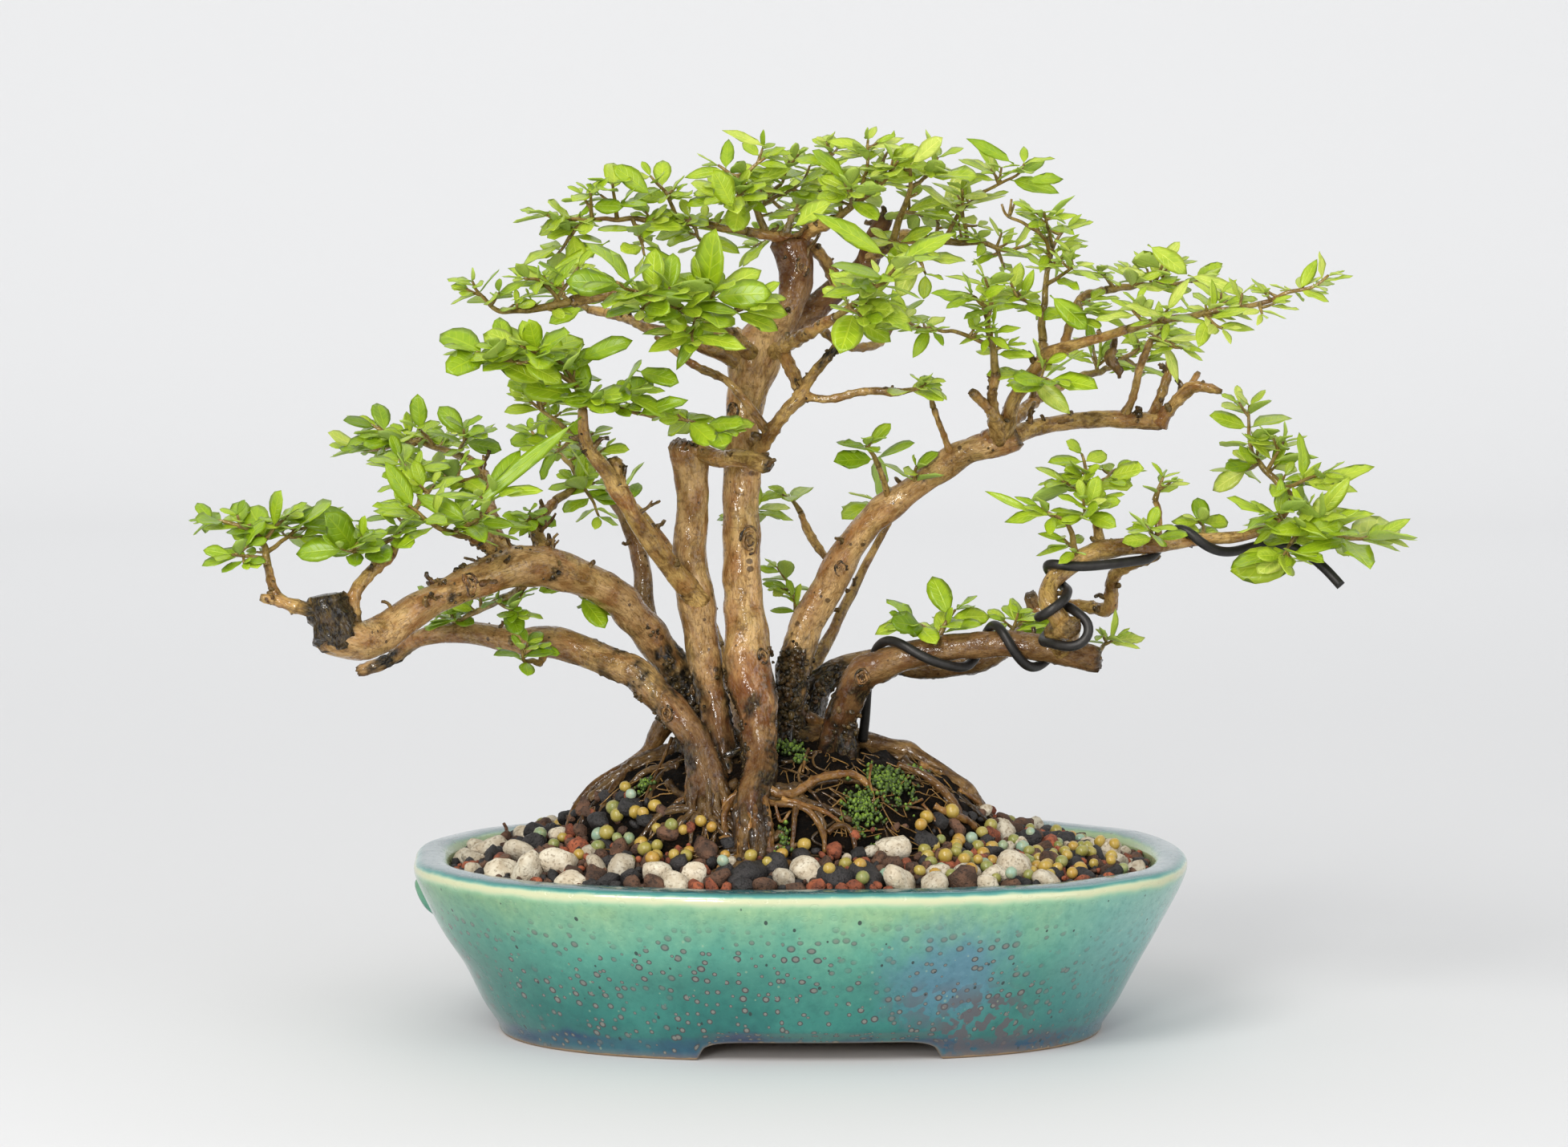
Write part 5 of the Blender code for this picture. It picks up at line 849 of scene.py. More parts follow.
def group(name, inputs, outputs):
    """A named shader node group of numbers about a place: its net and what it is given, by name."""
    tree = bpy.data.node_groups.new(name, "ShaderNodeTree")
    tree.interface.new_socket(name="Place", in_out="INPUT", socket_type="NodeSocketVector")
    for label, value in inputs.items():
        tree.interface.new_socket(name=label, in_out="INPUT", socket_type="NodeSocketFloat").default_value = value
    for label in outputs:
        tree.interface.new_socket(name=label, in_out="OUTPUT", socket_type="NodeSocketFloat")
    net = Net(tree)
    return net, net.values("NodeGroupInput")


def specks_group(name):
    """Round specks: a mask of the specks, a mask of a ring about each of them, and a value for each."""
    net, given = group(name, {"Spacing": 1.0, "Radius": 0.2, "Edge": 0.05, "Share": 1.0}, ("Mask", "Ring", "Tone"))
    cells = net.values("ShaderNodeTexVoronoi", {"Vector": given["Place"], "Scale": 1.0 / given["Spacing"]},
                       feature="F1", voronoi_dimensions="2D" if name == "Flat specks" else "3D")
    lot, size, tone = net.values("ShaderNodeSeparateColor", {"Color": cells["Color"]}).values()
    radius = given["Radius"] * (size * 0.9 + 0.45)
    inside = cells["Distance"].fade(radius, radius - given["Edge"]) * net.math("LESS_THAN", lot, given["Share"])
    core = cells["Distance"].fade(radius * 0.7, radius * 0.45)
    net.put("NodeGroupOutput", {"Mask": inside, "Ring": inside * (1.0 - core), "Tone": tone})
    return net.tree


def blotches_group(name):
    """Soft-edged blotches where a noise lies above a level."""
    net, given = group(name, {"Size": 1.0, "Level": 0.5, "Softness": 0.1, "Detail": 3.0}, ("Mask",))
    level, softness = given["Level"], given["Softness"]
    noise = net.noise(given["Place"], 1.0 / given["Size"], given["Detail"], 0.55)
    net.put("NodeGroupOutput", {"Mask": noise.fade(level - softness, level + softness)})
    return net.tree


def relief_group(name):
    """A rough surface's height from 0 to 1: a coarse noise with a fine one on it."""
    net, given = group(name, {"Coarse size": 2.0, "Fine size": 0.5, "Fine share": 0.4}, ("Height",))
    coarse = net.noise(given["Place"], 1.0 / given["Coarse size"], 4.0, 0.55)
    fine = net.noise(given["Place"], 1.0 / given["Fine size"], 3.0, 0.6)
    share = given["Fine share"]
    net.put("NodeGroupOutput", {"Height": coarse * (1.0 - share) + fine * share})
    return net.tree


GROUPS = {"Specks": specks_group, "Flat specks": specks_group, "Blotches": blotches_group, "Relief": relief_group}


def new_material(name):
    """A material without nodes, and the net of its tree."""
    made = bpy.data.materials.new(name)
    made.use_nodes = True
    made.node_tree.nodes.clear()
    return made, Net(made.node_tree)


def glaze_material(look):
    """A flowing glaze: navy at the foot, teal above it, sage under the rim, a cream line where it breaks over the
    edge, a dark teal lip with a painted blue-grey sheen towards both ends, and ringed spots and small black specks over
    all."""
    made, net = new_material("Flowing glaze")
    place = net.pot_place()
    x, _, z = net.split(place)
    runs = net.noise(place, (0.16, 0.16, 0.03), 4.0, 0.6)
    slow = net.noise(place, (0.028, 0.028, 0.02), 2.0)
    body = net.ramp((z + runs.swing(9.0) + slow.swing(10.0)) / 46.0, [
        (0.00, (0.014, 0.105, 0.128)), (0.12, (0.012, 0.122, 0.118)), (0.28, (0.016, 0.150, 0.128)),
        (0.46, (0.040, 0.202, 0.162)), (0.62, (0.090, 0.305, 0.225)), (0.77, (0.176, 0.390, 0.250)),
        (0.90, (0.252, 0.425, 0.228))])
    body = net.blend((z + (slow.swing(14.0) + runs.swing(4.0))).fade(6.6, 4.2), body, (0.008, 0.040, 0.115))
    body = net.blend(net.blotches(place, 17.0, 0.52, 0.16) * 0.35, body, (0.060, 0.280, 0.225))
    blue = (net.distance(place, (38.0, -66.0, 21.0)) + runs.swing(18.0)).fade(24.0, 5.0)
    body = net.blend(blue * 0.90, body, (0.088, 0.205, 0.285))
    haze = x.fade(58.0, 98.0) * z.fade(6.0, 30.0)
    body = net.blend(haze * 0.45, body, (0.330, 0.560, 0.560))
    body = net.blend(x.fade(46.0, 84.0) * 0.4, body, (0.080, 0.300, 0.310))
    body = net.blend(x.fade(-52.0, -84.0, 0.0, 0.75), body, net.tint(body, (0.60, 0.70, 0.70)))
    cloud = net.noise(place, 0.42, 5.0, 0.68)
    body = net.blend(cloud.fade(0.50, 0.34, 0.0, 0.6), body, net.tint(body, (0.66, 0.76, 0.78)))
    body = net.blend(cloud.fade(0.52, 0.68, 0.0, 0.5), body, net.tint(body, (1.45, 1.25, 1.2)))

    # Ringed spots in flocks on the lower wall
    on_wall = net.stored("wall", "Vector")
    ringed = net.specks(on_wall, 3.1, 0.27, 0.05, 0.80, "Flat specks")
    flock = net.blotches(net.scaled(place, (1.0,) * 3, (31.0, 7.0, 4.0)), 17.0, 0.45, 0.09)
    flock = net.most(flock, (net.distance(place, (-12.0, -64.0, 19.0)) + runs.swing(20.0)).fade(24.0, 13.0))
    flock = net.most(flock, blue * 0.95) * x.fade(58.0, 74.0, 1.0, 0.25)
    lower = z.fade(39.0, 27.0, 0.04, 1.0) * flock
    body = net.blend(ringed["Mask"] * lower, body, (0.052, 0.056, 0.058))
    eye = (ringed["Mask"] - ringed["Ring"]) * lower
    body = net.blend(eye * 0.85, body, (0.225, 0.215, 0.190))

    # Clusters of grains under the blue patch and along the sole, and small black and pale specks
    crust = net.most(blue * z.fade(24.0, 14.0), net.distance(place, (46.0, -54.0, 6.0)).fade(17.0, 9.0))
    body = net.blend(net.blotches(place, 3.4, 0.52, 0.02, 1.5) * crust * 0.88, body, (0.100, 0.082, 0.092))
    sole = net.distance(place, (58.0, -50.0, 4.0)).fade(30.0, 14.0) * (z + runs * 6.0).fade(10.0, 6.5)
    body = net.blend(net.blotches(place, 1.9, 0.47, 0.03) * sole * 0.85, body, (0.070, 0.080, 0.098))
    black = net.specks(net.scaled(on_wall, (1.0, 0.7, 1.0), (7.0, 3.0, 0.0)), 6.5, 0.062, 0.025, 0.32, "Flat specks")
    body = net.blend(black["Mask"] * 0.9, body, (0.018, 0.030, 0.030))
    pale = net.specks(net.scaled(place, (1.0, 1.0, 0.8), (9.0, 3.0, 5.0)), 2.6, 0.13, 0.06, 0.4)
    body = net.blend(pale["Mask"] * 0.35, body, (0.38, 0.46, 0.30))

    # The lip: the glaze is thin on its edge and pools on its top
    lip_place, _, _ = net.split(net.stored("lip", "Vector"))
    across = lip_place + net.noise(place, 0.16, 3.0).swing(0.12)
    lip = net.ramp(across, [(0.00, (0.27, 0.485, 0.29)), (0.34, (0.34, 0.54, 0.38)), (0.44, (0.070, 0.26, 0.235)),
                            (0.56, (0.014, 0.105, 0.120)), (0.80, (0.024, 0.125, 0.135)), (0.92, (0.16, 0.31, 0.24)),
                            (1.00, (0.36, 0.48, 0.26))])
    fleck = net.specks(place, 1.9, 0.30, 0.1, 0.6)
    lip = net.blend(fleck["Mask"] * 0.75 * across.fade(0.5, 0.62), lip,
                    net.blend(fleck["Tone"], (0.020, 0.025, 0.030), (0.33, 0.33, 0.33)))
    # Painted sheen: a blue-grey sheen painted on the lip towards both ends of the pot.
    painted_lip_sheen = (abs(x) + slow.swing(20.0)).fade(52.0, 86.0) * (across.fade(0.46, 0.62) * across.fade(0.98, 0.86))
    lip = net.blend(painted_lip_sheen * 0.62, lip, (0.27, 0.33, 0.36))
    colour = net.blend(across.fade(0.02, 0.20), body, lip)
    cream = across.fade(0.08, 0.22) * across.fade(0.44, 0.30)
    colour = net.blend(cream * 0.85, colour, (0.57, 0.54, 0.335))
    colour = net.blend(across.fade(1.02, 1.08), colour, (0.42, 0.50, 0.26))
    bare = net.most((z + runs.swing(1.4)).fade(0.9, 0.5), net.stored("bare"))
    colour = net.blend(bare, colour, (0.33, 0.22, 0.13))
    wet = net.blotches(place, 9.0, 0.5, 0.2) * 0.07 + look.glaze_roughness
    pits = net.noise(place, 0.22, 3.0) - net.most(ringed["Ring"], black["Mask"]) * 0.5
    net.shade(Base_Color=net.tint(colour, look.glaze_tint), Roughness=net.most(wet, bare * 0.75),
              Coat_Weight=(1.0 - bare) * 0.25, Coat_Roughness=0.06, IOR=1.5, Normal=net.bump(pits, 0.35, 0.35))
    return made


def bark_material(name, look, light, deep, gloss, red=(0.235, 0.070, 0.014)):
    """Wet bark: soft mottling that runs a little with the wood, pale flecks that are partly mottling and partly painted
    highlights of the wet skin, a thin olive film, dark dots, redder ripe patches, and black crust where it has rotted,
    and near the trunks' feet painted shade of the same black on their flanks and backs. A wet coat breaks up over the
    finest relief."""
    made, net = new_material(name)
    grain = net.stored("grain", "Vector")
    tone, rot_and_shade, ripe = net.split(net.stored("traits", "Vector"))
    ridges = net.noise(grain, (0.34, 0.34, 0.17), 5.0, 0.62, 0.5)
    fine = net.noise(grain, (1.9, 1.9, 0.75), 4.0, 0.65)
    patch = net.noise(grain, (0.17, 0.17, 0.09))
    colour = net.blend(ridges.fade(0.34, 0.60), deep, light)
    colour = net.blend(patch.fade(0.44, 0.66, 0.0, 0.52), colour, red)
    film = net.blotches(net.scaled(grain, (1.0, 1.0, 0.7), (31.0, 5.0, 2.0)), 6.0, 0.55, 0.08)
    colour = net.blend(film * 0.5, colour, net.tint(colour, (0.62, 0.66, 0.42)))
    colour = net.blend(fine.fade(0.46, 0.32, 0.0, 0.50), colour, (0.045, 0.022, 0.006))
    # Pale flecks on the fine relief's peaks: pale mottling, and painted highlights of the wet skin.
    colour = net.blend(fine.fade(0.56, 0.72, 0.0, 0.32), colour, (0.70, 0.53, 0.28))
    crack = abs(net.noise(grain, (0.75, 0.75, 0.26), 3.0, 0.55, 0.4) - 0.5).fade(0.030, 0.004)
    colour = net.blend(crack * patch.fade(0.60, 0.42, 0.06, 0.36), colour, (0.060, 0.028, 0.007))
    pores = net.specks(grain, 2.2, 0.18, 0.07, 0.22)
    scars = net.specks(net.scaled(grain, (1.0, 1.0, 1.3), (3.0, 9.0, 1.0)), 4.6, 0.20, 0.08, 0.20)
    dots = net.most(pores["Mask"], scars["Mask"])
    colour = net.blend(dots * 0.8, colour, (0.030, 0.016, 0.007))
    bands = net.noise(grain, (0.26, 0.26, 0.7), 4.0)
    colour = net.blend(bands.fade(0.57, 0.68, 0.0, 0.5), colour, (0.110, 0.055, 0.016))
    ripened = net.blend(ridges.fade(0.38, 0.68), net.tint(red, (0.62, 0.62, 0.62)), net.blend(0.28, red, light))
    colour = net.tint(net.blend(ripe * 0.9, colour, ripened), net.grey(tone))
    # Near-black of rotted bark and crust; on the trunks' feet the same channel paints shade.
    rot_and_shade_colour = net.blend(fine.fade(0.44, 0.68), (0.0050, 0.0036, 0.0024), (0.070, 0.050, 0.018))
    colour = net.blend(rot_and_shade, colour, rot_and_shade_colour)
    beads = net.noise(grain, (1.5, 1.5, 1.0), 2.0).fade(0.44, 0.54, 0.12, 1.0)
    net.shade(Base_Color=net.tint(colour, look.bark_tint),
              Roughness=ridges.fade(0.35, 0.7, gloss + 0.24, gloss + 0.08) + rot_and_shade * 0.2,
              Specular_IOR_Level=0.12, Coat_Weight=beads * patch.fade(0.36, 0.54, 0.55, 1.0), Coat_Roughness=0.09,
              Normal=net.bump(ridges * 0.6 + fine * 0.4 + dots * 0.12 - crack * 0.10, 1.1, 0.8),
              Coat_Normal=net.bump(net.noise(grain, (1.1, 1.1, 0.7), 2.0), 0.20))
    return made


def stone_material(name, look, light, deep, spot, gloss, pit_depth):
    """Stone with open pores: dimples painted dark as the shade in them, and paler grains over two tones."""
    made, net = new_material(name)
    place = net.pot_place()
    colour = net.blend(net.noise(place, 0.33).fade(0.36, 0.64), deep, light)
    # Painted shade: the pits take the spot colour, standing in for the shade inside the pores, which the bump alone
    # doesn't cast.
    pits = net.noise(place, 1.25, 2.0, 0.4).fade(0.585, 0.66)
    colour = net.blend(pits * 0.5, colour, spot)
    colour = net.blend(net.blotches(place, 0.8, 0.56, 0.08) * 0.25, colour, spot)
    colour = net.tint(colour, net.grey(net.stored("tone")))
    net.shade(Base_Color=net.tint(colour, look.gravel_tint), Roughness=gloss,
              Normal=net.bump(net.relief(place, 1.8, 0.45, 0.45) - pits * 0.25, pit_depth, 0.8))
    return made


def bead_material(look):
    """Small feed beads, each with its own colour from amber through yellow-green to mint, slightly clouded."""
    made, net = new_material("Feed beads")
    place = net.pot_place()
    colour = net.ramp(net.stored("tone"), [
        (0.00, (0.44, 0.235, 0.030)), (0.22, (0.46, 0.300, 0.045)), (0.45, (0.38, 0.300, 0.050)),
        (0.68, (0.27, 0.265, 0.055)), (0.88, (0.20, 0.235, 0.060)), (0.93, (0.25, 0.39, 0.28)),
        (1.0, (0.34, 0.45, 0.33))])
    colour = net.blend(net.blotches(place, 1.3, 0.52, 0.12) * 0.35, colour, (0.46, 0.38, 0.15))
    net.shade(Base_Color=net.tint(colour, look.gravel_tint), Roughness=0.3,
              Normal=net.bump(net.noise(place, 1.2, 2.0), 0.15, 0.5))
    return made


def earth_material(look):
    """Dark peaty root pad, with brown fibres and crumbs in it."""
    made, net = new_material("Root pad earth")
    place = net.pot_place()
    coarse = net.noise(place, 0.22, 5.0, 0.65)
    fibre = net.noise(net.scaled(place, (0.5, 0.5, 1.9), turn=(0.5, 0.3, 0.9)), 1.0, 5.0, 0.7, 1.4)
    colour = net.blend(coarse.fade(0.38, 0.66), (0.0015, 0.0010, 0.0006), (0.0080, 0.0042, 0.0020))
    colour = net.blend(fibre.fade(0.56, 0.68, 0.0, 0.75), colour, (0.040, 0.019, 0.006))
    crumbs = net.specks(place, 1.3, 0.3, 0.1, 0.25)
    colour = net.blend(crumbs["Mask"] * 0.6, colour, (0.060, 0.033, 0.014))
    net.shade(Base_Color=net.tint(colour, look.bark_tint), Roughness=coarse.fade(0.4, 0.6, 0.75, 0.45),
              Specular_IOR_Level=0.10, Normal=net.bump(net.relief(place, 2.6, 0.7, 0.5) + fibre * 0.5, 1.3))
    return made


def moss_material(look):
    """Moss, near-black green at the foot of its tufts, which is painted shade, and bright green at their tips."""
    made, net = new_material("Moss")
    colour = net.ramp(net.stored("tone"), [(0.0, (0.010, 0.018, 0.002)), (0.40, (0.040, 0.072, 0.005)),
                                           (0.7, (0.120, 0.205, 0.014)), (1.0, (0.300, 0.410, 0.045))])
    net.shade(Base_Color=net.tint(colour, look.leaf_tint), Roughness=0.55)
    return made


def leaf_material(name, look, back=False):
    """A glossy leaf: a paler midrib and side veins, a yellower margin, its own tint, whose bright end is painted
    sunlight, a matt paler back, and a painted glow of its own colour that stands for light through the leaf.
    """
    made, net = new_material(name)
    run, across, tint = net.split(net.stored("blade", "Vector"))
    # Tint ramp from deep green to bright yellow-green; its bright end is painted light, the colour of sunlit upper
    # leaves.
    colour = net.ramp(tint, [
        (0.00, (0.120, 0.200, 0.005)), (0.30, (0.195, 0.305, 0.007)), (0.60, (0.285, 0.395, 0.014)),
        (0.85, (0.345, 0.440, 0.034)), (1.00, (0.430, 0.500, 0.080))])
    off = abs(across)
    side_vein = abs(net.math("FRACT", run * 7.0 - off * 1.5) - 0.5).fade(0.13, 0.03) * off.fade(0.95, 0.5)
    veins = net.most(off.fade(0.10, 0.02), side_vein * 0.7)
    pale = net.tint(colour, (1.55, 1.38, 1.75))
    dark = net.tint(colour, (0.66, 0.76, 0.55))
    colour = net.blend(net.noise(net.pot_place(), 0.3).fade(0.44, 0.62, 0.0, 0.6), colour, dark)
    colour = net.blend(veins * 0.55, colour, pale)
    colour = net.blend(off.fade(0.84, 1.0, 0.0, 0.4), colour, pale)
    if back:
        colour = net.blend(0.45, colour, (0.330, 0.440, 0.130))
    colour = net.tint(colour, look.leaf_tint)
    # Painted glow: the leaf emits its own colour, standing in for light passed through it from behind.
    net.shade(Base_Color=colour, Emission_Color=colour, Emission_Strength=look.leaf_painted_glow,
              Roughness=0.5 if back else look.leaf_roughness, Specular_IOR_Level=0.25 if back else 0.4,
              Normal=net.bump(1.0 - veins, 0.16, 0.55))
    return made


def plain_material(name, colour, deep, roughness, size, depth, metallic=0.0):
    """One matt stuff with two tones and a fine relief."""
    made, net = new_material(name)
    place = net.pot_place()
    net.shade(Base_Color=net.blend(net.blotches(place, size * 3.0, 0.5, 0.2), deep, colour), Roughness=roughness,
              Metallic=metallic, Normal=net.bump(net.relief(place, size * 2.0, size * 0.5, 0.4), depth, 0.7))
    return made


def foot_arch(x):
    """Height of the low passage under the foot at a place along the pot: 0 outside it, with rounded shoulders."""
    off = np.abs(x - ARCH_CENTRE) / ARCH_HALF
    return ARCH_HEIGHT * np.maximum(1 - np.minimum(off, 1) ** 9, 0) ** 0.45


def pot_surface(look):
    """The pot as one closed skin: oval rings carried along a profile that starts in the middle of the underside,
    rounds the foot, rises up the wall, rolls over the lip and runs down inside to the middle of the floor.
    Where the low passage crosses the foot, the rows near the ground are lifted by its height."""
    rim, foot = np.array(RIM_HALF), np.array(FOOT_HALF)
    ring, top = foot - FOOT_RING, POT_HEIGHT

    def wall(part):
        return foot + (rim - foot) * part

    def row(half, height, lip=0.0, bare=0.0):
        return (*half, height, lip, bare)

    def chain(corners, counts):
        parts = []
        for start, end, rows in zip(corners, corners[1:], counts):
            share = np.linspace(0, 1, rows, endpoint=False)[:, None]
            parts.append(np.array(start) * (1 - share) + np.array(end) * share)
        return np.vstack(parts)

    # Columns: half length, half width, height, place across the lip, bare clay
    under = chain([row((2, 2), FOOT_RECESS, 0, 1), row(ring - 1.4, FOOT_RECESS, 0, 1), row(ring - 0.5, 4.4, 0, 1),
                   row(ring - 0.1, 0.5, 0, 1), row(ring + 0.6, 0, 0, 1), row(foot - 1.7, 0, 0, 1)], (6, 2, 4, 2, 3))
    outside = curve([
        row(foot - 1.7, 0, 0, 1), row(foot - 0.75, 0.55, 0, 0.4), row(foot - 0.1, 2.6), row(wall(0.16), 8.0),
        row(wall(0.40), 17.6), row(wall(0.66), 26.7), row(wall(0.84), 34.0), row(wall(0.955), 39.4),
        row(wall(1.0), 42.6, 0.16), row(wall(0.985), 44.2, 0.38), row(wall(0.915), 45.2, 0.52),
        row(rim - (5.0, 6.2), top, 0.72), row(rim - (7.4, 9.4), top - 0.5, 0.92),
        row(rim - (8.7, 11.2), top - 2.0, 1.06), row(rim - (9.6, 12.2), top - 4.6, 1.2),
        row(rim - (10.6, 13.2), top - 8.0, 1.3)], 0.85)
    inside = chain([row(rim - (10.6, 13.2), top - 8.0, 1.3), row(rim - 26, FLOOR_TOP + 2.5, 1.4),
                    row(rim - (34, 33), FLOOR_TOP, 1.4), row((2, 2), FLOOR_TOP, 1.4)], (8, 3, 6))[1:]
    profile = np.vstack((under, outside, inside, row((2, 2), FLOOR_TOP, 1.4)))
    across, bare = profile[:, 3:4], profile[:, 4:5]
    x, y = oval(profile[:, 0:1], profile[:, 1:2], circle(look.pot_columns))
    z = np.repeat(profile[:, 2:3], look.pot_columns, axis=1)
    skin = np.stack((x, y, z), axis=-1)
    outwards = unit(skin * (1, 1, 0))
    uneven = waves(skin * (1, 1, 1.6), 34.0, 5)
    skin += outwards * (0.3 * (uneven - 1.2) * np.clip((z - 9) / 10, 0, 1) * (across < 1.1))[..., None]
    skin[..., 2] -= 0.25 * np.abs(waves(skin * (1, 1, 0), 60.0, 6)) * (across > 0.3) * (z > 30)
    # The first rows of the foot ring's inner wall and of its sole
    inner_row, sole_row = 8, 12
    row_number = np.arange(len(profile))[:, None]
    lift = foot_arch(x) * (row_number >= inner_row) * (np.hypot(x / 70, y / 46) > 0.9)
    reach = np.where(across + (row_number < sole_row) > 0, FOOT_RECESS, 8.0)
    skin[..., 2] = np.where(z < reach, lift + z * (reach - lift) / reach, skin[..., 2])
    rows, columns = x.shape
    shape = Shape()
    points = np.vstack((skin.reshape(-1, 3), (0, 0, FOOT_RECESS), (0, 0, FLOOR_TOP)))
    lip = np.append(np.repeat(across, columns), (0, 1.4))
    # Millimetres round the wall at half its height from the middle of its back, and along its profile
    middle = skin[np.argmin(np.abs(profile[:, 2] - top / 2))]
    back = columns // 4
    steps = np.roll(middle, -back - 1, axis=0) - np.roll(middle, -back, axis=0)
    around = np.repeat(np.roll(np.cumsum(np.linalg.norm(steps, axis=-1)), back)[None], rows, axis=0)
    up = np.repeat(along(profile * (0, 1, 1, 0, 0))[:, None], columns, axis=1)
    wall_place = np.vstack((np.stack((around, up, around * 0), axis=-1).reshape(-1, 3), np.zeros((2, 3))))
    shape.add(points, grid_quads(rows, columns), caps(rows, columns), lip=np.column_stack((lip, lip * 0, lip * 0)),
              bare=np.append(np.repeat(bare, columns), (1, 0)), wall=wall_place)
    return shape


def lug_surface():
    """The small lug under the lip at the left end: a bent roll with both ends in the wall."""
    shape = Shape()
    path = curve([(-96.0, 0, 38.4), (-98.3, 0, 37.2), (-98.0, 0, 35.0), (-97.0, 0, 32.8), (-95.7, 0, 31.0),
                  (-93.7, 0, 29.6), (-91.5, 0, 29.4)], 0.6)
    lug, quads, tris, _, _ = tube(path, np.full(len(path), 1.35), 16)
    lug[:, 1] *= 1.7
    shape.add(lug, quads, tris, lip=np.zeros((len(lug), 3)), bare=0.0, wall=lug)
    return shape


def hidden_cutter(name, x):
    """A drain hole's cutting tool, which isn't shown."""
    columns, ends = 48, (-2.0, FLOOR_TOP + 4.0)
    angle = circle(columns)
    ring = (x + DRAIN_RADIUS * np.cos(angle), DRAIN_RADIUS * np.sin(angle))
    points = [np.column_stack((*ring, np.full(columns, height))) for height in ends]
    shape = Shape()
    shape.add(np.vstack((*points, *((x, 0, height) for height in ends))), grid_quads(2, columns), caps(2, columns))
    tool = bpy.data.objects.new(name, shape.mesh(name))
    bpy.context.scene.collection.objects.link(tool)
    tool.hide_render = True
    tool.display_type = "WIRE"
    return tool


def lump_grid(rows, columns):
    """Directions of a ball's grid of points, without its poles, which are added as the last two."""
    tilt = np.pi * (np.arange(rows) + 1) / (rows + 1)
    angle = circle(columns)
    ring = np.stack((np.sin(tilt)[:, None] * np.cos(angle), np.sin(tilt)[:, None] * np.sin(angle),
                     np.repeat(-np.cos(tilt)[:, None], columns, axis=1)), axis=-1).reshape(-1, 3)
    return np.vstack((ring, (0, 0, -1), (0, 0, 1))), grid_quads(rows, columns), caps(rows, columns)


def turned(count, draw):
    """Random turns, as matrices."""
    a = draw.normal(size=(count, 4))
    w, x, y, z = (a / np.linalg.norm(a, axis=1, keepdims=True)).T
    return np.stack((1 - 2 * (y * y + z * z), 2 * (x * y - z * w), 2 * (x * z + y * w),
                     2 * (x * y + z * w), 1 - 2 * (x * x + z * z), 2 * (y * z - x * w),
                     2 * (x * z - y * w), 2 * (y * z + x * w), 1 - 2 * (x * x + y * y)), axis=-1).reshape(count, 3, 3)


def lumps(centres, radii, grid, sharpness, flats, squash, rough, draw):
    """Stones at once: each is a ball whose radius in a direction is held back by its own random flat faces,
    rounded off where they meet, then stretched, roughened and turned. Returns each one's points, and all faces."""
    ways, quads, tris = lump_grid(*grid)
    count = len(centres)
    reach = np.ones((count, len(ways)))
    if flats:
        planes = unit(draw.normal(size=(count, flats, 3)))
        depth = draw.uniform(0.72, 1.05, (count, flats))
        facing = np.maximum(np.einsum("pk,nfk->npf", ways, planes), 0) / depth[:, None]
        reach = np.minimum((facing ** sharpness).sum(axis=-1) + 0.35, 60.0) ** (-1.0 / sharpness)
    sizes = draw.uniform(0.9, 1.1, (count, 3)) * np.array(squash)
    points = ways * reach[..., None] * sizes[:, None]
    points = points * (1 + rough * waves(points + draw.uniform(-50, 50, (count, 1, 3)), 0.85, 3))[..., None]
    points = np.einsum("nij,npj->npi", turned(count, draw), points)
    points = centres[:, None] + points * radii[:, None, None]
    return points, copies(quads, count, len(ways)), copies(tris, count, len(ways))


# Larger stones seen in the gravel, as (x, y, width)
PUMICE = [
    (-87, 0, 6.9), (-83, -25, 6.0), (-80, 0, 7.8), (-77, -35, 8.1), (-70, -37, 9.0), (-72, 10, 5.7), (-73, -9, 4.2),
    (-61, -35, 9.0), (-57, -50, 6.6), (-51, -44, 5.4), (-45, -46, 7.2), (-35, -57, 6.6), (-30, -58, 6.0),
    (-37, -57, 8.4), (-8, -60, 5.7), (-2, -60, 9.0), (23, -37, 7.8), (27, -58, 9.0), (34, -57, 7.4), (41, -52, 6.3),
    (34, -48, 5.4), (52, -42, 10.2), (49, -48, 6.8), (46, -54, 5.1), (44, 55, 6.6), (58, 50, 6.0), (33, 58, 3.3),
    (75, 5, 5.4), (79, -5, 7.2), (85, -18, 5.7), (84, 11, 4.8), (62, -47, 6.6), (47, -8, 3.6),
]
BLACK_LAVA = [
    (-79, -12, 6.3), (-43, -24, 5.4), (-32, -46, 5.7), (-48, -54, 5.4), (-45, -55, 5.4), (-15, -60, 9.0),
    (-45, -55, 4.5), (-16, -60, 5.4), (-50, -53, 3.9), (-10, -58, 7.8), (-16, -56, 4.2), (-65, -31, 5.1),
    (38, 57, 4.5), (67, 32, 4.8), (31, -31, 6.3), (45, -44, 5.1), (8, -60, 7.5), (19, -59, 9.0), (58, -8, 6.3),
    (71, -20, 4.2), (71, -37, 5.4), (79, -32, 6.0), (88, 3, 3.0),
]
BROWN_LAVA = [
    (-38, -57, 5.4), (-24, -39, 7.8), (-27, -59, 6.6), (-50, -53, 6.0), (-41, -56, 5.1), (-9, -60, 6.0),
    (-4, -60, 4.2), (78, -27, 5.4), (28, -46, 5.1), (41, -56, 8.4), (39, -35, 4.5), (52, -52, 5.4), (79, 32, 4.8),
]
RED_LAVA = [
    (-37, -44, 3.6), (-24, -59, 3.7), (-25, -56, 3.0), (-28, -58, 4.8), (-20, -59, 3.5), (59, 5, 4.5), (65, -36, 4.5),
    (14, -60, 4.2), (11, -60, 3.6), (4, -60, 4.8), (70, -42, 3.9), (21, -59, 2.4),
]
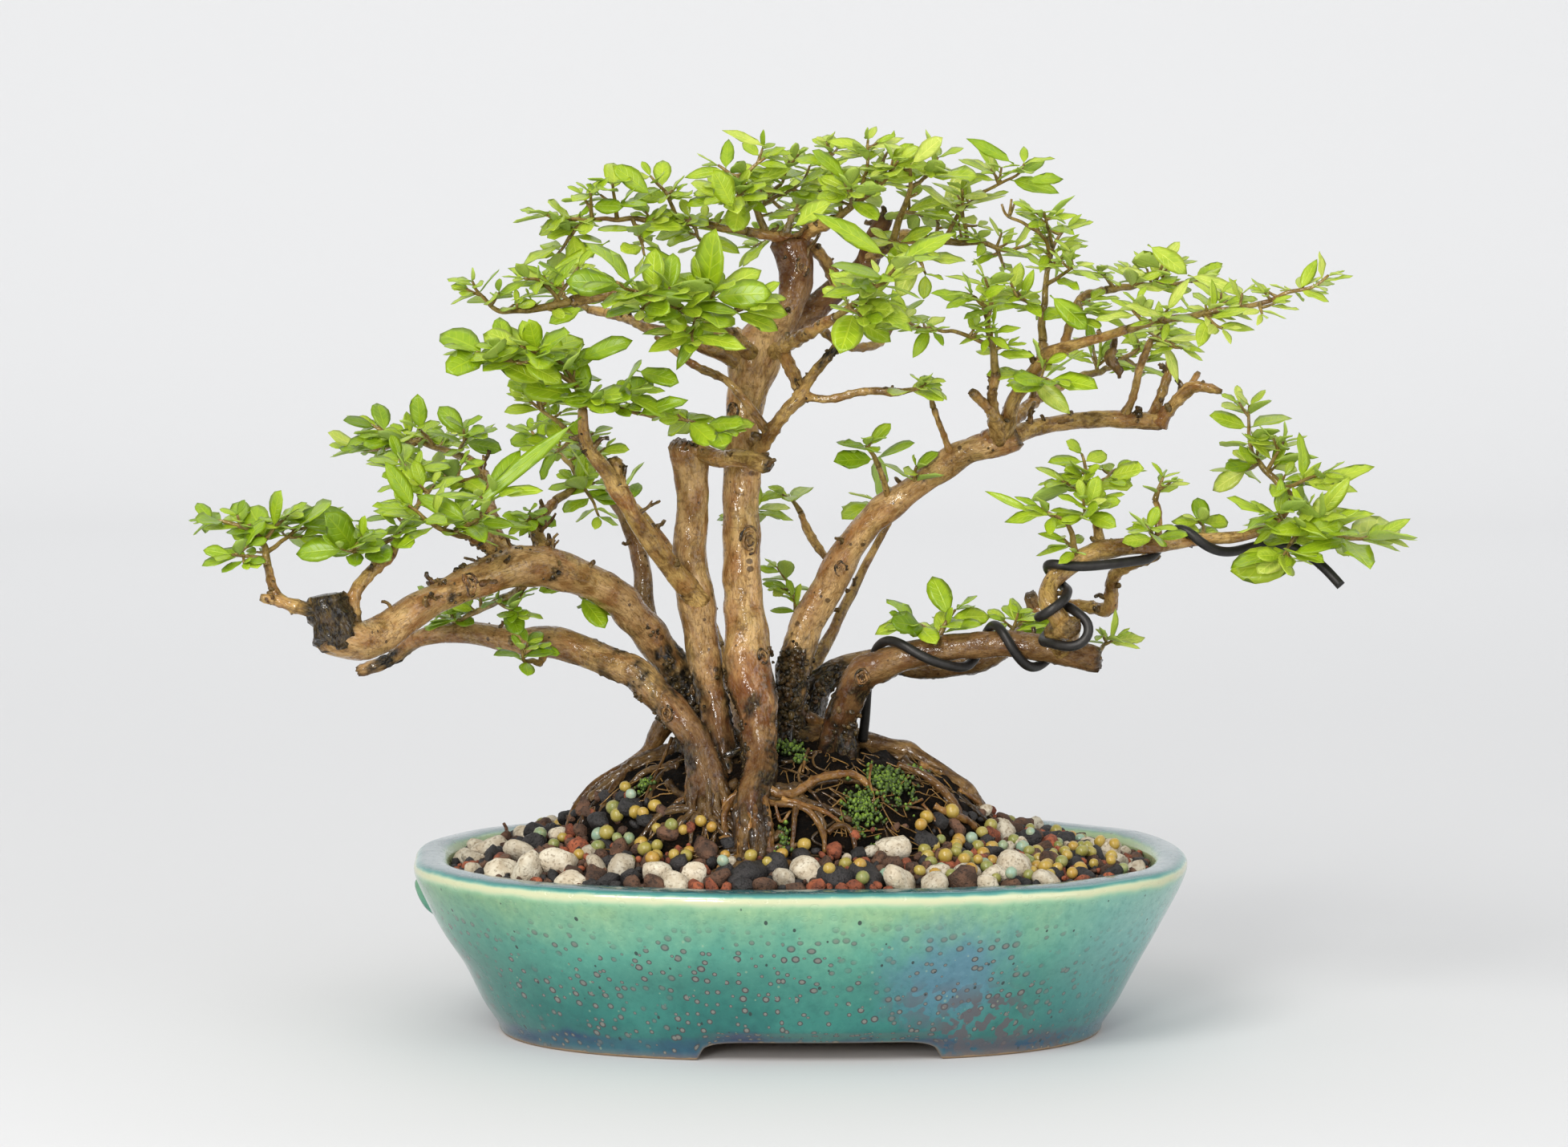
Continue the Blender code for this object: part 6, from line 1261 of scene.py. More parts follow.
# Where feed beads lie together, as (x, y, spread, how many)
BEADS = [
    (-46, -23, 8, 46), (-38, -31, 7, 34), (-30, -35, 6, 16), (-62, -16, 6, 7), (-36, -40, 7, 14), (38, -32, 8, 46),
    (46, -24, 9, 34), (56, -30, 9, 34), (44, -38, 6, 26), (66, -24, 8, 20), (62, -38, 8, 26), (-8, -46, 7, 7),
    (-20, -48, 5, 4), (12, -52, 8, 6), (34, -50, 7, 14), (50, -50, 6, 10), (72, -8, 9, 16), (70, 14, 10, 10),
    (-60, 18, 12, 10), (0, 52, 26, 12), (50, 40, 14, 8), (78, -30, 6, 6), (2, -38, 6, 5),
]

# For each kind of stone: how sharp its edges are, how many flat faces it has, and how rough they are
STONE_SHAPES = ((16.0, 9, 0.055), (13.0, 11, 0.09), (12.0, 11, 0.10), (12.0, 11, 0.08))
BIG_STONE = 1.9


def bed_height(x, y):
    """Top of what stones lie on: the gravel, or the root pad's lower slope."""
    return np.where(pad_reach(x, y) < 1, pad_height(x, y), soil_height(x, y))


def in_gravel(x, y, radius):
    """True where a stone of a radius lies between the root pad and the pot's inner wall. On the left and right of
    the pad's front, stones lie a little way up its slope."""
    edge = 0.97 - np.where(y < -5, 0.14 * np.exp(-((x + 45) / 16) ** 2) + 0.05 * np.exp(-((x - 36) / 18) ** 2), 0)
    inside = oval_reach(x, y, INNER_HALF[0] - radius, INNER_HALF[1] - radius) < 1
    return inside & (pad_reach(x, y) > edge)


def lay_stones(draw):
    """Places of all stones: the larger ones seen, moved apart, then smaller and smaller ones dropped in the gaps.
    Returns x, y, radius and kind."""
    seen = [(x, y, width * 0.5, kind) for kind, stones in enumerate((PUMICE, BLACK_LAVA, BROWN_LAVA, RED_LAVA))
            for x, y, width in stones]
    laid = np.array(seen, float)
    for _ in range(60):
        apart = laid[:, None, :2] - laid[None, :, :2]
        distance = np.hypot(*np.moveaxis(apart, -1, 0)) + 1e-6
        wanted = 0.98 * (laid[:, None, 2] + laid[None, :, 2])
        push = np.where((distance < wanted) & (distance > 1e-5), (wanted - distance) / distance, 0.0)
        laid[:, :2] += 0.3 * (push[..., None] * apart).sum(axis=1)
        x, y, radius, _ = laid.T
        out = oval_reach(x, y, RIM_HALF[0] - 9.6 - radius, RIM_HALF[1] - 12.1 - radius)
        laid[:, :2] /= np.maximum(out, 1.0)[:, None]
    for radius, tries, share in ((3.2, 160, (0.30, 0.34, 0.30, 0.06)), (2.6, 700, (0.14, 0.36, 0.36, 0.14)),
                                 (2.0, 2600, (0.07, 0.33, 0.38, 0.22)), (1.5, 4600, (0.05, 0.29, 0.40, 0.26)),
                                 (1.05, 7500, (0.05, 0.27, 0.42, 0.26)), (0.75, 8000, (0.05, 0.25, 0.45, 0.25))):
        x = draw.uniform(-RIM_HALF[0], RIM_HALF[0], tries)
        y = draw.uniform(-RIM_HALF[1], RIM_HALF[1], tries)
        size = radius * draw.uniform(0.85, 1.15, tries)
        kind = draw.choice(4, tries, p=share)
        fits = in_gravel(x, y, size)
        for stone in np.column_stack((x, y, size, kind))[fits]:
            gap = np.hypot(laid[:, 0] - stone[0], laid[:, 1] - stone[1]) - 0.88 * (laid[:, 2] + stone[2])
            if gap.min() > 0:
                laid = np.vstack((laid, stone))
    return laid


def gravel_surfaces(look):
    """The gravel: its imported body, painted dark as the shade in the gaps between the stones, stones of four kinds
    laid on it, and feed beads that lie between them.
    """
    draw = np.random.default_rng(look.seed)
    columns = 200
    angle = circle(columns)
    rim_x, rim_y = oval(*INNER_HALF, angle)
    turn = np.arctan2(rim_y / PAD_HALF[1], (rim_x - PAD_CENTRE_X) / PAD_HALF[0])
    edge_x, edge_y = PAD_CENTRE_X + (PAD_HALF[0] - 1.5) * np.cos(turn), (PAD_HALF[1] - 1.5) * np.sin(turn)
    share = np.linspace(0, 1, 22)[:, None]
    x, y = edge_x + (rim_x - edge_x) * share, edge_y + (rim_y - edge_y) * share
    top = np.stack((x, y, soil_height(x, y) - 1.0), axis=-1)
    top[..., 2] += 0.35 * waves(top, 3.0, 9) - 2.4 * np.clip((share - 0.7) / 0.3, 0, 1)
    under_pad, bottom = 40.9, FLOOR_TOP + 0.45
    inner = np.stack((edge_x, edge_y, np.full(columns, under_pad)), axis=-1)[None]
    down = [np.stack((*oval(length, width, angle), np.full(columns, height)), axis=-1)[None]
            for length, width, height in ((89.2, 60.7, 38.3), (73.4, 47.4, 13.4), (65.4, 40.4, bottom))]
    body = np.concatenate((inner, top, *down))[::-1]
    shape = Shape()
    # The body takes the brown lava's finish at tone 0.35: fine brown grit, painted darker as the shade in the gaps
    # between the stones.
    shape.add(np.vstack((body.reshape(-1, 3), (0, 0, bottom), (0, 0, under_pad))), grid_quads(len(body), columns),
              caps(len(body), columns), finish=2, tone=0.35)
    laid = lay_stones(draw)
    for kind, (sharpness, flats, rough) in enumerate(STONE_SHAPES):
        for big in (True, False):
            x, y, radius = laid[(laid[:, 3] == kind) & ((laid[:, 2] > BIG_STONE) == big), :3].T
            height = bed_height(x, y) - 0.05 * radius + 0.4 + draw.uniform(-0.3, 0.5, len(x))
            wall = oval_reach(x, y, *INNER_HALF)
            height -= np.clip((wall - 0.84) / 0.12, 0, 1) * np.where(y > -25, 2.6, 0.8)
            height += (0.5 if kind == 0 else 0.0) * (radius > 2.4)
            tone = draw.uniform(0.72, 1.06, len(x))
            points, quads, tris = lumps(np.column_stack((x, y, height)), radius * 1.14, (11, 16) if big else (4, 8),
                                        sharpness, flats, (1.16, 0.84, 0.70), rough * (1 if big else 0.5), draw)
            shape.add(points, quads, tris, kind, tone=np.repeat(tone, points.shape[1]))
    spots = np.concatenate([np.column_stack((x + draw.normal(size=count) * spread * 0.55,
                                             y + draw.normal(size=count) * spread * 0.45))
                            for x, y, spread, count in BEADS])
    spots = spots[in_gravel(*spots.T, 1.4)]
    kept = []
    for spot in spots:
        if all(math.dist(spot, other) > 3.05 for other in kept):
            kept.append(spot)
    spots = np.array(kept)
    over = np.hypot(*(spots[:, None] - laid[None, :, :2]).transpose(2, 0, 1))
    raised = np.maximum(laid[None, :, 2] ** 2 * 0.75 - over ** 2, 0).max(axis=1) ** 0.5
    centres = np.column_stack((spots, bed_height(*spots.T) + 1.3 + np.minimum(raised, 2.2)))
    radius = draw.uniform(1.3, 1.95, len(spots))
    tone = draw.uniform(0, 1, len(spots))
    points, quads, tris = lumps(centres, radius, (6, 10), 1.0, 0, (1, 1, 1), 0.02, draw)
    shape.add(points, quads, tris, 4, tone=np.repeat(tone, points.shape[1]))
    stub = curve([(-76.6, 10, 43), (-76.9, 9.8, 47), (-76.4, 9.6, 49.4), (-77.2, 9.4, 51.2)], 0.8)
    bent, quads, tris, _, _ = tube(stub, np.linspace(0.75, 0.4, len(stub)), 8)
    shape.add(bent, quads, tris, finish=2, tone=1.2)
    return shape


def stem_rows():
    """All wood as rows in space: trunks, then branches."""
    return {name: placed(rows) for name, rows in (*TRUNKS.items(), *BRANCHES.items())}


# Knots on the trunks, as (trunk, height, radius, turn from the front)
KNOTS = [
    ("main_trunk", 127, 2.9, 24), ("main_trunk", 196, 1.9, 20), ("left_arch_trunk", 119, 2.0, -10),
    ("main_trunk", 160, 1.7, -40), ("right_low_trunk", 92, 1.9, 0), ("left_upright_trunk", 112, 1.6, 30),
    ("left_front_trunk", 84, 1.8, -30), ("right_high_trunk", 118, 1.6, 10), ("main_trunk", 98, 1.6, 40),
    ("left_arch_trunk", 88, 1.8, 40),
]
# Rot, as (drawn place, reach)
ROTTEN = [
    ((-123, -69, 107), 6.5), ((-119, -68, 105), 4.5), ((-91, -52, 112), 2.2), ((-64, -33, 117), 2.2),
    ((-29, -15, 153), 3.2), ((80, -24, 95), 2.6), ((-8, -34, 145), 2.4), ((8.6, -28, 174.5), 5.0),
    ((-106, 6, 95), 5.5), ((-2.6, 3, 94), 6.0), ((-2.7, 1, 88), 7.5), ((-3, -1, 81), 8.0), ((-3, -4, 74), 8.0),
    ((7, 12, 90), 6.0), ((3, 8, 84), 7.0), ((12, -10, 79), 3.4), ((11, -10, 73), 5.5), ((-31, -10, 87), 8.0),
    ((-29, -12, 80), 7.5), ((-34, -14, 91), 5.0), ((-27, -12, 73), 5.0), ((-38.5, -21, 88.5), 3.2),
    ((-36, -22, 82), 2.8), ((-19, -17, 92), 2.6), ((-17, -22, 70), 4.0), ((-34.5, -12, 96), 3.4),
    ((-46, -17, 96.5), 2.6), ((-52, -14, 98.5), 2.0), ((-28, -26, 68), 2.2), ((-36, -18, 87), 5.0),
    ((-41, -20, 90.5), 4.0), ((-33, -8, 95), 5.0), ((-29, -6, 91), 5.0),
]
# Redder, darker wet patches on the trunks' lower parts, as (drawn place, reach)
REDDENED = [
    ((-12, -22, 87), 8.5), ((-13, -22, 80), 7.5), ((-9, -20, 92), 5.0), ((-21.5, -20, 80), 5.0),
    ((-20.5, -21, 74), 5.0), ((-12.4, -38, 57), 6.5), ((-12, -40, 51), 6.0), ((-23, -14, 86), 3.0),
    ((-25, -30, 63), 4.0), ((-4, 4, 186), 7.0), ((-2, 3, 198), 9.0), ((13, -16, 88), 4.5), ((-20, -19, 88), 3.0),
]
# Tone of each trunk: brightness, and how dark red its bark has turned
BARK_TONES = {"left_front_trunk": (0.90, 0.1), "left_arch_trunk": (0.95, 0.12), "left_upright_trunk": (0.90, 0.08),
              "main_trunk": (1.10, 0.0), "second_leader": (0.70, 0.55), "right_high_trunk": (1.12, 0.10),
              "right_low_trunk": (0.62, 0.50), "right_back_trunk": (0.55, 0.15), "left_back_trunk": (0.62, 0.15)}


def wood_tube(shape, name, rows, stems, step, sides, draw, knots=(), end_cut=True, finish=0, springs_up=True,
              rough=1.0):
    """One length of wood: a tube with long ridges and low lumps, thicker where it springs from its parent and where
    other wood springs from it, with a raised ring and a hollow at each knot."""
    path = curve(rows, step)
    radii = path[:, 3].copy()
    if not springs_up:
        radii *= np.sqrt(np.clip(1 - (1 - along(path) / (0.9 * radii[0])).clip(0) ** 2, 0.03, 1))
    path = path[:, :3].copy()
    count = len(path)
    wander = waves(path, 14.0, 31)[:, None] * frames(path)[1] * 0.25
    path[1:-1] += wander[1:-1] * np.minimum(radii, 3)[1:-1, None] * 0.35
    total = along(path)[-1]
    springs = np.array([other[0, :3] for key, other in stems.items() if key != name])
    seed = hash_of(name) % 9973
    thick = radii.max() > 2.4

    def swell(s, angle, plain):
        at = np.minimum((s / total * (count - 1)).astype(int), count - 1)
        radius = radii[at]
        ridge = np.sin(5 * angle + 1.7 * np.sin(s / 17 + seed) + seed) * np.sin(2 * angle + s / 13 + seed)
        low = waves(plain, 8.5, seed)
        fine = waves(plain, 2.6, seed + 1, 16)
        value = rough * (0.028 * ridge + 0.045 * low + (0.012 if thick else 0.045) * fine)
        if not thick:
            value = value + 0.20 * np.exp(-((np.mod(s + seed % 7, 3.6) - 1.8) / 0.5) ** 2)
        if springs_up:
            value = value + 0.34 * np.exp(-s / (0.9 * rows[0, 3]))
        else:
            above = np.maximum(plain[..., 2] - pad_height(plain[..., 0], plain[..., 1]), 0)
            flutes = 0.26 + 0.30 * np.cos(5 * angle + seed) * np.cos(angle + 2 * seed)
            value = value - 0.05 + flutes * np.exp(-above / 6.0) * (above < 30)
        near = np.linalg.norm(plain[:, :, None] - springs[None, None], axis=-1).min(axis=-1)
        value = value + 0.16 * np.exp(-(near / (1.5 * radius)) ** 2)
        for centre, size in knots:
            distance = np.linalg.norm(plain - centre, axis=-1)
            rim = 0.08 * np.exp(-((distance - size) / (0.36 * size)) ** 2)
            hollow = 0.10 * np.exp(-(distance / (0.55 * size)) ** 2)
            value = value + (rim - hollow) * size / radius
        return value

    points, quads, tris, grain, far = tube(path, radii, sides, swell)
    if end_cut:
        last = points[(count - 1) * sides:count * sides]
        last[:] = path[-1] + (last - path[-1]) * 0.8 + 0.12 * radii[-1] * waves(last, 1.1, seed + 4)[:, None]
    points[-1] += frames(path)[0][-1] * 0.05 * radii[-1]
    tone, ripe = BARK_TONES.get(name, (1.0, 0.08))
    high = np.clip((points[:, 2] - 178) / 16, 0, 1) if name in TRUNKS else np.zeros(len(points))
    tones = (tone + (0.56 - tone) * high) * (1 + 0.10 * waves(points, 22.0, 8))
    base = np.clip((93 - points[:, 2]) / 16, 0, 1)
    if name in TRUNKS:
        tones = tones * (1 - 0.50 * base) * (1 - 0.25 * np.clip((69 - points[:, 2]) / 6, 0, 1))
    ripes = np.clip(ripe + 0.95 * high + 0.65 * base + 0.12 * waves(points, 12.0, 12), 0, 1)
    if name not in TRUNKS and name not in BRANCHES:
        tones = tones * (0.75 + 0.45 * waves(points[:1], 1.0, seed)[0].clip(-1, 1))
    rot_and_shade = np.zeros(len(points))
    for spots, value, fray in ((ROTTEN, rot_and_shade, 0.45), (REDDENED, ripes, 0.3)):
        for centre, reach in spots:
            off = np.linalg.norm(points - placed([(*centre, 0.0)])[0, :3], axis=1) / reach
            frayed = fray * waves(points, 3.2, 17) + 0.5 * fray * waves(points, 1.1, 18)
            value[:] = np.maximum(value, np.clip(1.6 - 1.3 * off + frayed, 0, 1))
    for centre, size in knots:
        rot_and_shade = np.maximum(rot_and_shade, 0.7 * np.exp(-(np.linalg.norm(points - centre, axis=1) / (0.45 * size)) ** 2))
        knot_rings(shape, path, radii, centre, size, finish, draw)
    if name in TRUNKS:
        # Near their feet the trunks' flanks and backs, turned away from the front, are blackened through the same
        # channel: ragged rotted bark, and painted shade.
        axis = np.vstack((np.repeat(path, sides, axis=0), path[:1], path[-1:]))
        away = unit(points - axis)
        side_on = 0.25 + 0.75 * away[:, 1] + 0.35 * np.abs(away[:, 0])
        ragged = 0.6 * waves(points, 6.0, 55) + 0.35 * waves(points, 1.8, 56)
        mould_and_side_shade = np.clip((101 - points[:, 2]) / 14, 0, 1) * np.clip(side_on + ragged, 0, 1)
        rot_and_shade = np.maximum(rot_and_shade, np.clip(1.3 * mould_and_side_shade, 0, 0.92))
        points += away * (rot_and_shade * 0.32 * waves(points, 1.5, 57))[:, None]
    if end_cut:
        rot_and_shade = np.maximum(rot_and_shade, 0.65 * np.clip(1 - (total - far) / 1.4, 0, 1))
    shift = (seed % 89) * 3.1
    shape.add(points, quads, tris, finish, grain=grain + (0, 0, shift), traits=np.column_stack((tones, rot_and_shade, ripes)))


def knot_rings(shape, path, radii, centre, size, finish, draw):
    """Broken raised rings round the middle of a knot, laid on the trunk's skin."""
    out = unit((centre - path[np.linalg.norm(path - centre, axis=1).argmin()]) * (1, 1, 0))
    side = np.cross(out, (0.0, 0.0, 1.0))
    for reach, dark, thick in ((1.22, 0.75, 0.34), (0.84, 0.15, 0.30), (0.46, 0.60, 0.24)):
        turn = draw.uniform(0, 2 * np.pi) + np.linspace(0, draw.uniform(4.2, 5.8), 18)
        spots = centre + size * reach * (0.74 * np.cos(turn)[:, None] * side + np.sin(turn)[:, None] * (0, 0, 1.0))
        at = np.linalg.norm(spots[:, None] - path[None], axis=-1).argmin(axis=1)
        seats = path[at] + unit(spots - path[at]) * (radii[at] + 0.05)[:, None] + draw.normal(0, 0.07, (18, 3))
        ring, quads, tris, grain, _ = tube(seats, thick * (1 + 0.35 * waves(seats, 1.8, 40)), 5)
        black = np.clip(dark + 0.5 * waves(ring, 1.6, 41), 0, 1)
        shape.add(ring, quads, tris, finish, grain=grain + centre,
                  traits=traits_of(1.0, black, 0.4))


def hash_of(name):
    """A whole number that is the same for the same name every time."""
    value = 7
    for letter in name:
        value = (value * 131 + ord(letter)) % 1000003
    return value


def trunk_surfaces(look):
    """The trunks with their knots."""
    draw = np.random.default_rng(look.seed + 1)
    stems = stem_rows()
    shape = Shape()
    for name in TRUNKS:
        rows = stems[name]
        knots = []
        for trunk, height, size, turn in KNOTS:
            if trunk != name:
                continue
            path = curve(rows, 0.8)
            nearest = path[np.argmin(np.abs(path[:, 2] - height))]
            facing = math.radians(turn)
            knots.append((nearest[:3] + np.array((math.sin(facing), -math.cos(facing), 0.0)) * nearest[3], size))
        wood_tube(shape, name, rows, stems, 1.0, 44 if rows[:, 3].max() > 4.5 else 32, draw, knots, springs_up=False)
    return shape


# Short dead snags, as (stem, from share, to share, how many, longest in mm)
SNAGS = [
    ("left_arch_trunk", 0.42, 0.96, 24, 7.5), ("left_pad_branch", 0.1, 0.95, 10, 5.5),
    ("left_inner_branch", 0.1, 0.9, 8, 5.0), ("left_mid_branch", 0.1, 0.9, 9, 5.0),
    ("left_front_trunk", 0.35, 0.95, 9, 4.5), ("left_snag", 0.2, 0.9, 4, 3.0),
    ("front_leaning_branch", 0.1, 0.95, 12, 5.5), ("left_back_trunk", 0.3, 0.95, 8, 5.0),
    ("right_low_trunk", 0.4, 1.0, 7, 3.5), ("wired_branch", 0.05, 0.95, 12, 4.0),
    ("high_horizontal_branch", 0.2, 1.0, 12, 6.5), ("high_end_stub", 0.1, 1.0, 7, 4.0),
    ("high_rising_branch", 0.05, 0.9, 10, 4.0), ("high_vertical_branch", 0.1, 0.9, 4, 3.0),
    ("high_back_branch", 0.2, 0.95, 6, 4.0), ("high_left_branch", 0.1, 0.95, 5, 3.5),
    ("high_mid_stub", 0.2, 1.0, 4, 3.0), ("trunk_network", 0.1, 0.95, 8, 4.5),
    ("fork_left_branch", 0.15, 0.95, 9, 4.5), ("fork_back_branch", 0.2, 0.95, 6, 4.0),
    ("second_leader", 0.3, 1.0, 7, 4.5), ("crown_left_branch", 0.1, 0.9, 6, 4.0),
    ("crown_right_branch", 0.1, 0.9, 5, 4.0), ("crown_centre_branch", 0.1, 0.9, 4, 4.0),
    ("front_crown_branch", 0.3, 0.95, 4, 3.0), ("network_right_twig", 0.2, 0.95, 5, 2.5),
    ("low_cross_branch", 0.1, 0.9, 6, 3.0), ("right_high_trunk", 0.55, 1.0, 7, 3.0),
    ("upright_side_knob", 0.4, 1.0, 6, 2.2), ("right_back_trunk", 0.4, 1.0, 5, 3.0), ("main_trunk", 0.78, 1.0, 6, 4.0),
    ("left_outer_branch", 0.2, 0.9, 4, 3.0), ("right_rear_branch", 0.3, 0.9, 5, 4.0),
    ("left_rear_branch", 0.3, 0.9, 6, 4.5),
]


def branch_surfaces(look):
    """The bare branches, and the short dead snags that stand on them and on the trunks."""
    draw = np.random.default_rng(look.seed + 2)
    stems = stem_rows()
    shape = Shape()
    for name in BRANCHES:
        wood_tube(shape, name, stems[name], stems, 1.0, 18 if stems[name][:, 3].max() > 1.9 else 12, draw, rough=1.5)
    for name, first, last, count, longest in SNAGS:
        path = curve(stems[name], 0.8)
        for number in range(int(count * look.snags)):
            at = path[min(int(draw.uniform(first, last) * len(path)), len(path) - 1)]
            aim = unit(draw.normal(size=3) * (1, 1, 0.6) + (0, -0.2, 0.8))
            reach = at[3] + draw.uniform(0.15, 1.0) ** 1.8 * longest * 0.8
            thick = min(draw.uniform(0.5, 1.05), at[3] * 0.6)
            share = np.linspace(0, 1, 6)[:, None]
            bend = draw.normal(0, 0.28, 3) * (reach - at[3] * 0.5) * share ** 2
            rows = np.column_stack((at[:3] + aim * reach * share + bend + draw.normal(0, 0.28, (6, 3)) * share,
                                    np.linspace(thick * 1.25, thick * 0.6, 6) * draw.uniform(0.85, 1.2, 6)))
            snag_tube(shape, f"{name} snag {number}", rows, draw)
            if reach > at[3] + 3.0:
                fork = unit(aim + draw.normal(0, 0.7, 3))
                twig = np.column_stack((rows[3, :3] + fork * np.linspace(0, reach * 0.35, 4)[:, None],
                                        np.linspace(thick * 0.7, thick * 0.4, 4)))
                snag_tube(shape, f"{name} snag fork {number}", twig, draw)
    stump = curve(placed([(-118.6, -68, 98.5, 4.9), (-119.6, -68.5, 102, 5.3), (-121, -69, 106, 5.3),
                          (-122, -69, 109.5, 5.0), (-122.4, -69, 111.6, 4.3)]), 0.9)
    points, quads, tris, grain, _ = tube(stump[:, :3], stump[:, 3], 20, lambda s, angle, plain: (
        0.13 * waves(plain, 3.6, 91) + 0.07 * waves(plain, 1.5, 92)))
    black = np.clip(0.93 + 0.15 * waves(points, 3.0, 93), 0, 1)
    shape.add(points, quads, tris, grain=grain, traits=traits_of(0.6, black, 0.1))
    crust_lumps(shape, stems, draw)
    dead = placed([(80.4, -8, 178.5, 0.5), (80.2, -8, 175.5, 1.0), (79.3, -9, 172.5, 1.5), (81.2, -8.5, 170.0, 1.3),
                   (81.8, -8, 167.5, 0.6)])
    snag_tube(shape, "withered leaf", dead, draw)
    return shape


# Black crust on the wood, as (drawn place, spread, lumps, largest lump)
CRUST = [
    ((-120.5, -69, 107.0), 2.2, 40, 1.2), ((-116.5, -67, 103), 2.0, 24, 1.1), ((-91, -52, 112), 1.6, 9, 0.9),
    ((-63.5, -34, 117), 1.7, 12, 0.9), ((-37, -16, 102), 1.5, 7, 0.7), ((-71, -28, 108), 2.4, 14, 1.0),
    ((-88, -44, 121), 2.6, 16, 1.0), ((-82, -40, 122), 3.0, 18, 1.0), ((-75, -36, 123), 2.4, 12, 0.9),
    ((-56, -46, 150), 2.0, 10, 0.8), ((-47, -36, 145), 2.2, 16, 1.0), ((-34, -19, 116), 1.8, 12, 0.8),
    ((-29, -16, 153), 1.8, 16, 0.9), ((50, -3, 152), 1.8, 12, 0.8), ((8.5, -28, 174), 1.6, 12, 0.8),
    ((-1, -24, 163), 1.6, 10, 0.7), ((-27, -20, 152), 1.8, 10, 0.8), ((-3, 0, 95), 3.4, 46, 1.2),
    ((-3, -1, 89), 3.6, 50, 1.3), ((-2.7, -3, 82), 3.6, 44, 1.3), ((-3, -5, 76), 3.6, 36, 1.2),
    ((7, 8, 90), 3.2, 30, 1.2), ((4, 4, 84), 3.4, 34, 1.2), ((-31, -12, 87), 2.6, 26, 1.1),
    ((-30, -14, 81), 2.8, 24, 1.1), ((-40, -21, 86), 2.4, 20, 1.0), ((-37, -21, 80), 2.6, 18, 1.0),
    ((-19, -17, 90), 1.8, 14, 0.9), ((12.5, -12, 80), 2.2, 18, 1.0), ((11, -12, 75), 2.8, 22, 1.0),
    ((-16.5, -24, 78), 2.2, 14, 0.9), ((-17, -26, 70), 2.6, 18, 1.0), ((-34, -14, 93), 1.8, 14, 0.9),
    ((-6, -16, 97), 1.4, 8, 0.7),
]


def traits_of(tone, rot_and_shade, ripe):
    """A row for each point of how bright, how far rotting and, on the trunks' feet, painted shade have blackened it,
    and how red its bark is. The blackening is given for each point.
    """
    return np.column_stack((np.full(len(rot_and_shade), tone), rot_and_shade, np.full(len(rot_and_shade), ripe)))


def crust_lumps(shape, stems, draw):
    """Black crust: clumps of small rough lumps seated on the skin of the nearest wood."""
    for place, spread, count, largest in CRUST:
        middle = placed([(*place, 1.0)])[0, :3]
        spots = middle + draw.normal(size=(count, 3)) * spread * (0.8, 0.6, 0.8)
        best = None
        for name in TRUNKS if place[2] < 118 else stems:
            path = curve(stems[name], 1.2)
            off = spots[:, None] - path[None, :, :3]
            gap = np.linalg.norm(off, axis=-1) - path[None, :, 3]
            at = gap.argmin(axis=1)
            index = np.arange(count)
            seat = path[at, :3] + unit(off[index, at]) * path[at, 3:4]
            ways = unit(path[-1, :3] - path[-2, :3])
            flat = off[index, at] - (off[index, at] @ ways)[:, None] * ways
            flat *= np.minimum(1, 0.9 * path[-1, 3] / np.maximum(np.linalg.norm(flat, axis=1), 1e-9))[:, None]
            seat = np.where((at == len(path) - 1)[:, None], path[-1, :3] + flat, seat)
            if best is None:
                best, seats = gap[index, at], seat
            else:
                seats = np.where((gap[index, at] < best)[:, None], seat, seats)
                best = np.minimum(best, gap[index, at])
        sizes = draw.uniform(0.35, 1.0, count) * largest
        keep = best < 6.0
        if not keep.any():
            continue
        points, quads, tris = lumps(seats[keep], sizes[keep], (5, 8), 9.0, 7, (1.0, 0.85, 0.65), 0.12, draw)
        dark = np.repeat(draw.uniform(0.55, 1.0, keep.sum()), points.shape[1])
        shape.add(points, quads, tris, grain=points, traits=traits_of(0.7, dark, 0.1))


def snag_tube(shape, name, rows, draw):
    """A short dead snag, dark and rough."""
    path = curve(rows, 0.8)
    seed = hash_of(name) % 997
    points, quads, tris, grain, far = tube(path[:, :3], path[:, 3], 7,
                                           lambda s, angle, plain: 0.30 * waves(plain, 1.3, seed))
    dark = np.clip(0.35 + 0.5 * far / far.max() + 0.3 * waves(points, 2.0, 5), 0, 1) * draw.uniform(0.5, 1.0)
    shape.add(points, quads, tris, grain=grain + (0, 0, seed), traits=traits_of(0.8, dark, 0.15))


def root_pad_surface():
    """The root pad: a dome of earth and matted roots on a polar grid, with a closed underside."""
    columns, rows = 220, 62
    angle = circle(columns)
    reach = np.linspace(0.03, 1, rows)[:, None] ** 0.8
    x, y = on_pad(reach, angle)
    top = np.stack((x, y, pad_height(x, y)), axis=-1)
    uneven = waves(top, 8.0, 41) + 0.55 * waves(top, 3.2, 42) + 0.28 * waves(top, 1.5, 43, 18)
    fibres = 0.5 * np.abs(waves(top * (1, 1, 0.4), 4.2, 44)) ** 0.5
    top[..., 2] += (uneven + fibres) * 0.75 - 0.3
    skirt = top[-1:] * (1, 1, 0) + (0, 0, 41.2)
    body = np.concatenate((skirt, top[::-1]))
    shape = Shape()
    points = np.vstack((body.reshape(-1, 3), (PAD_CENTRE_X, 0, 41.2), body[-1].mean(axis=0)))
    shape.add(points, grid_quads(len(body), columns), caps(len(body), columns))
    return shape


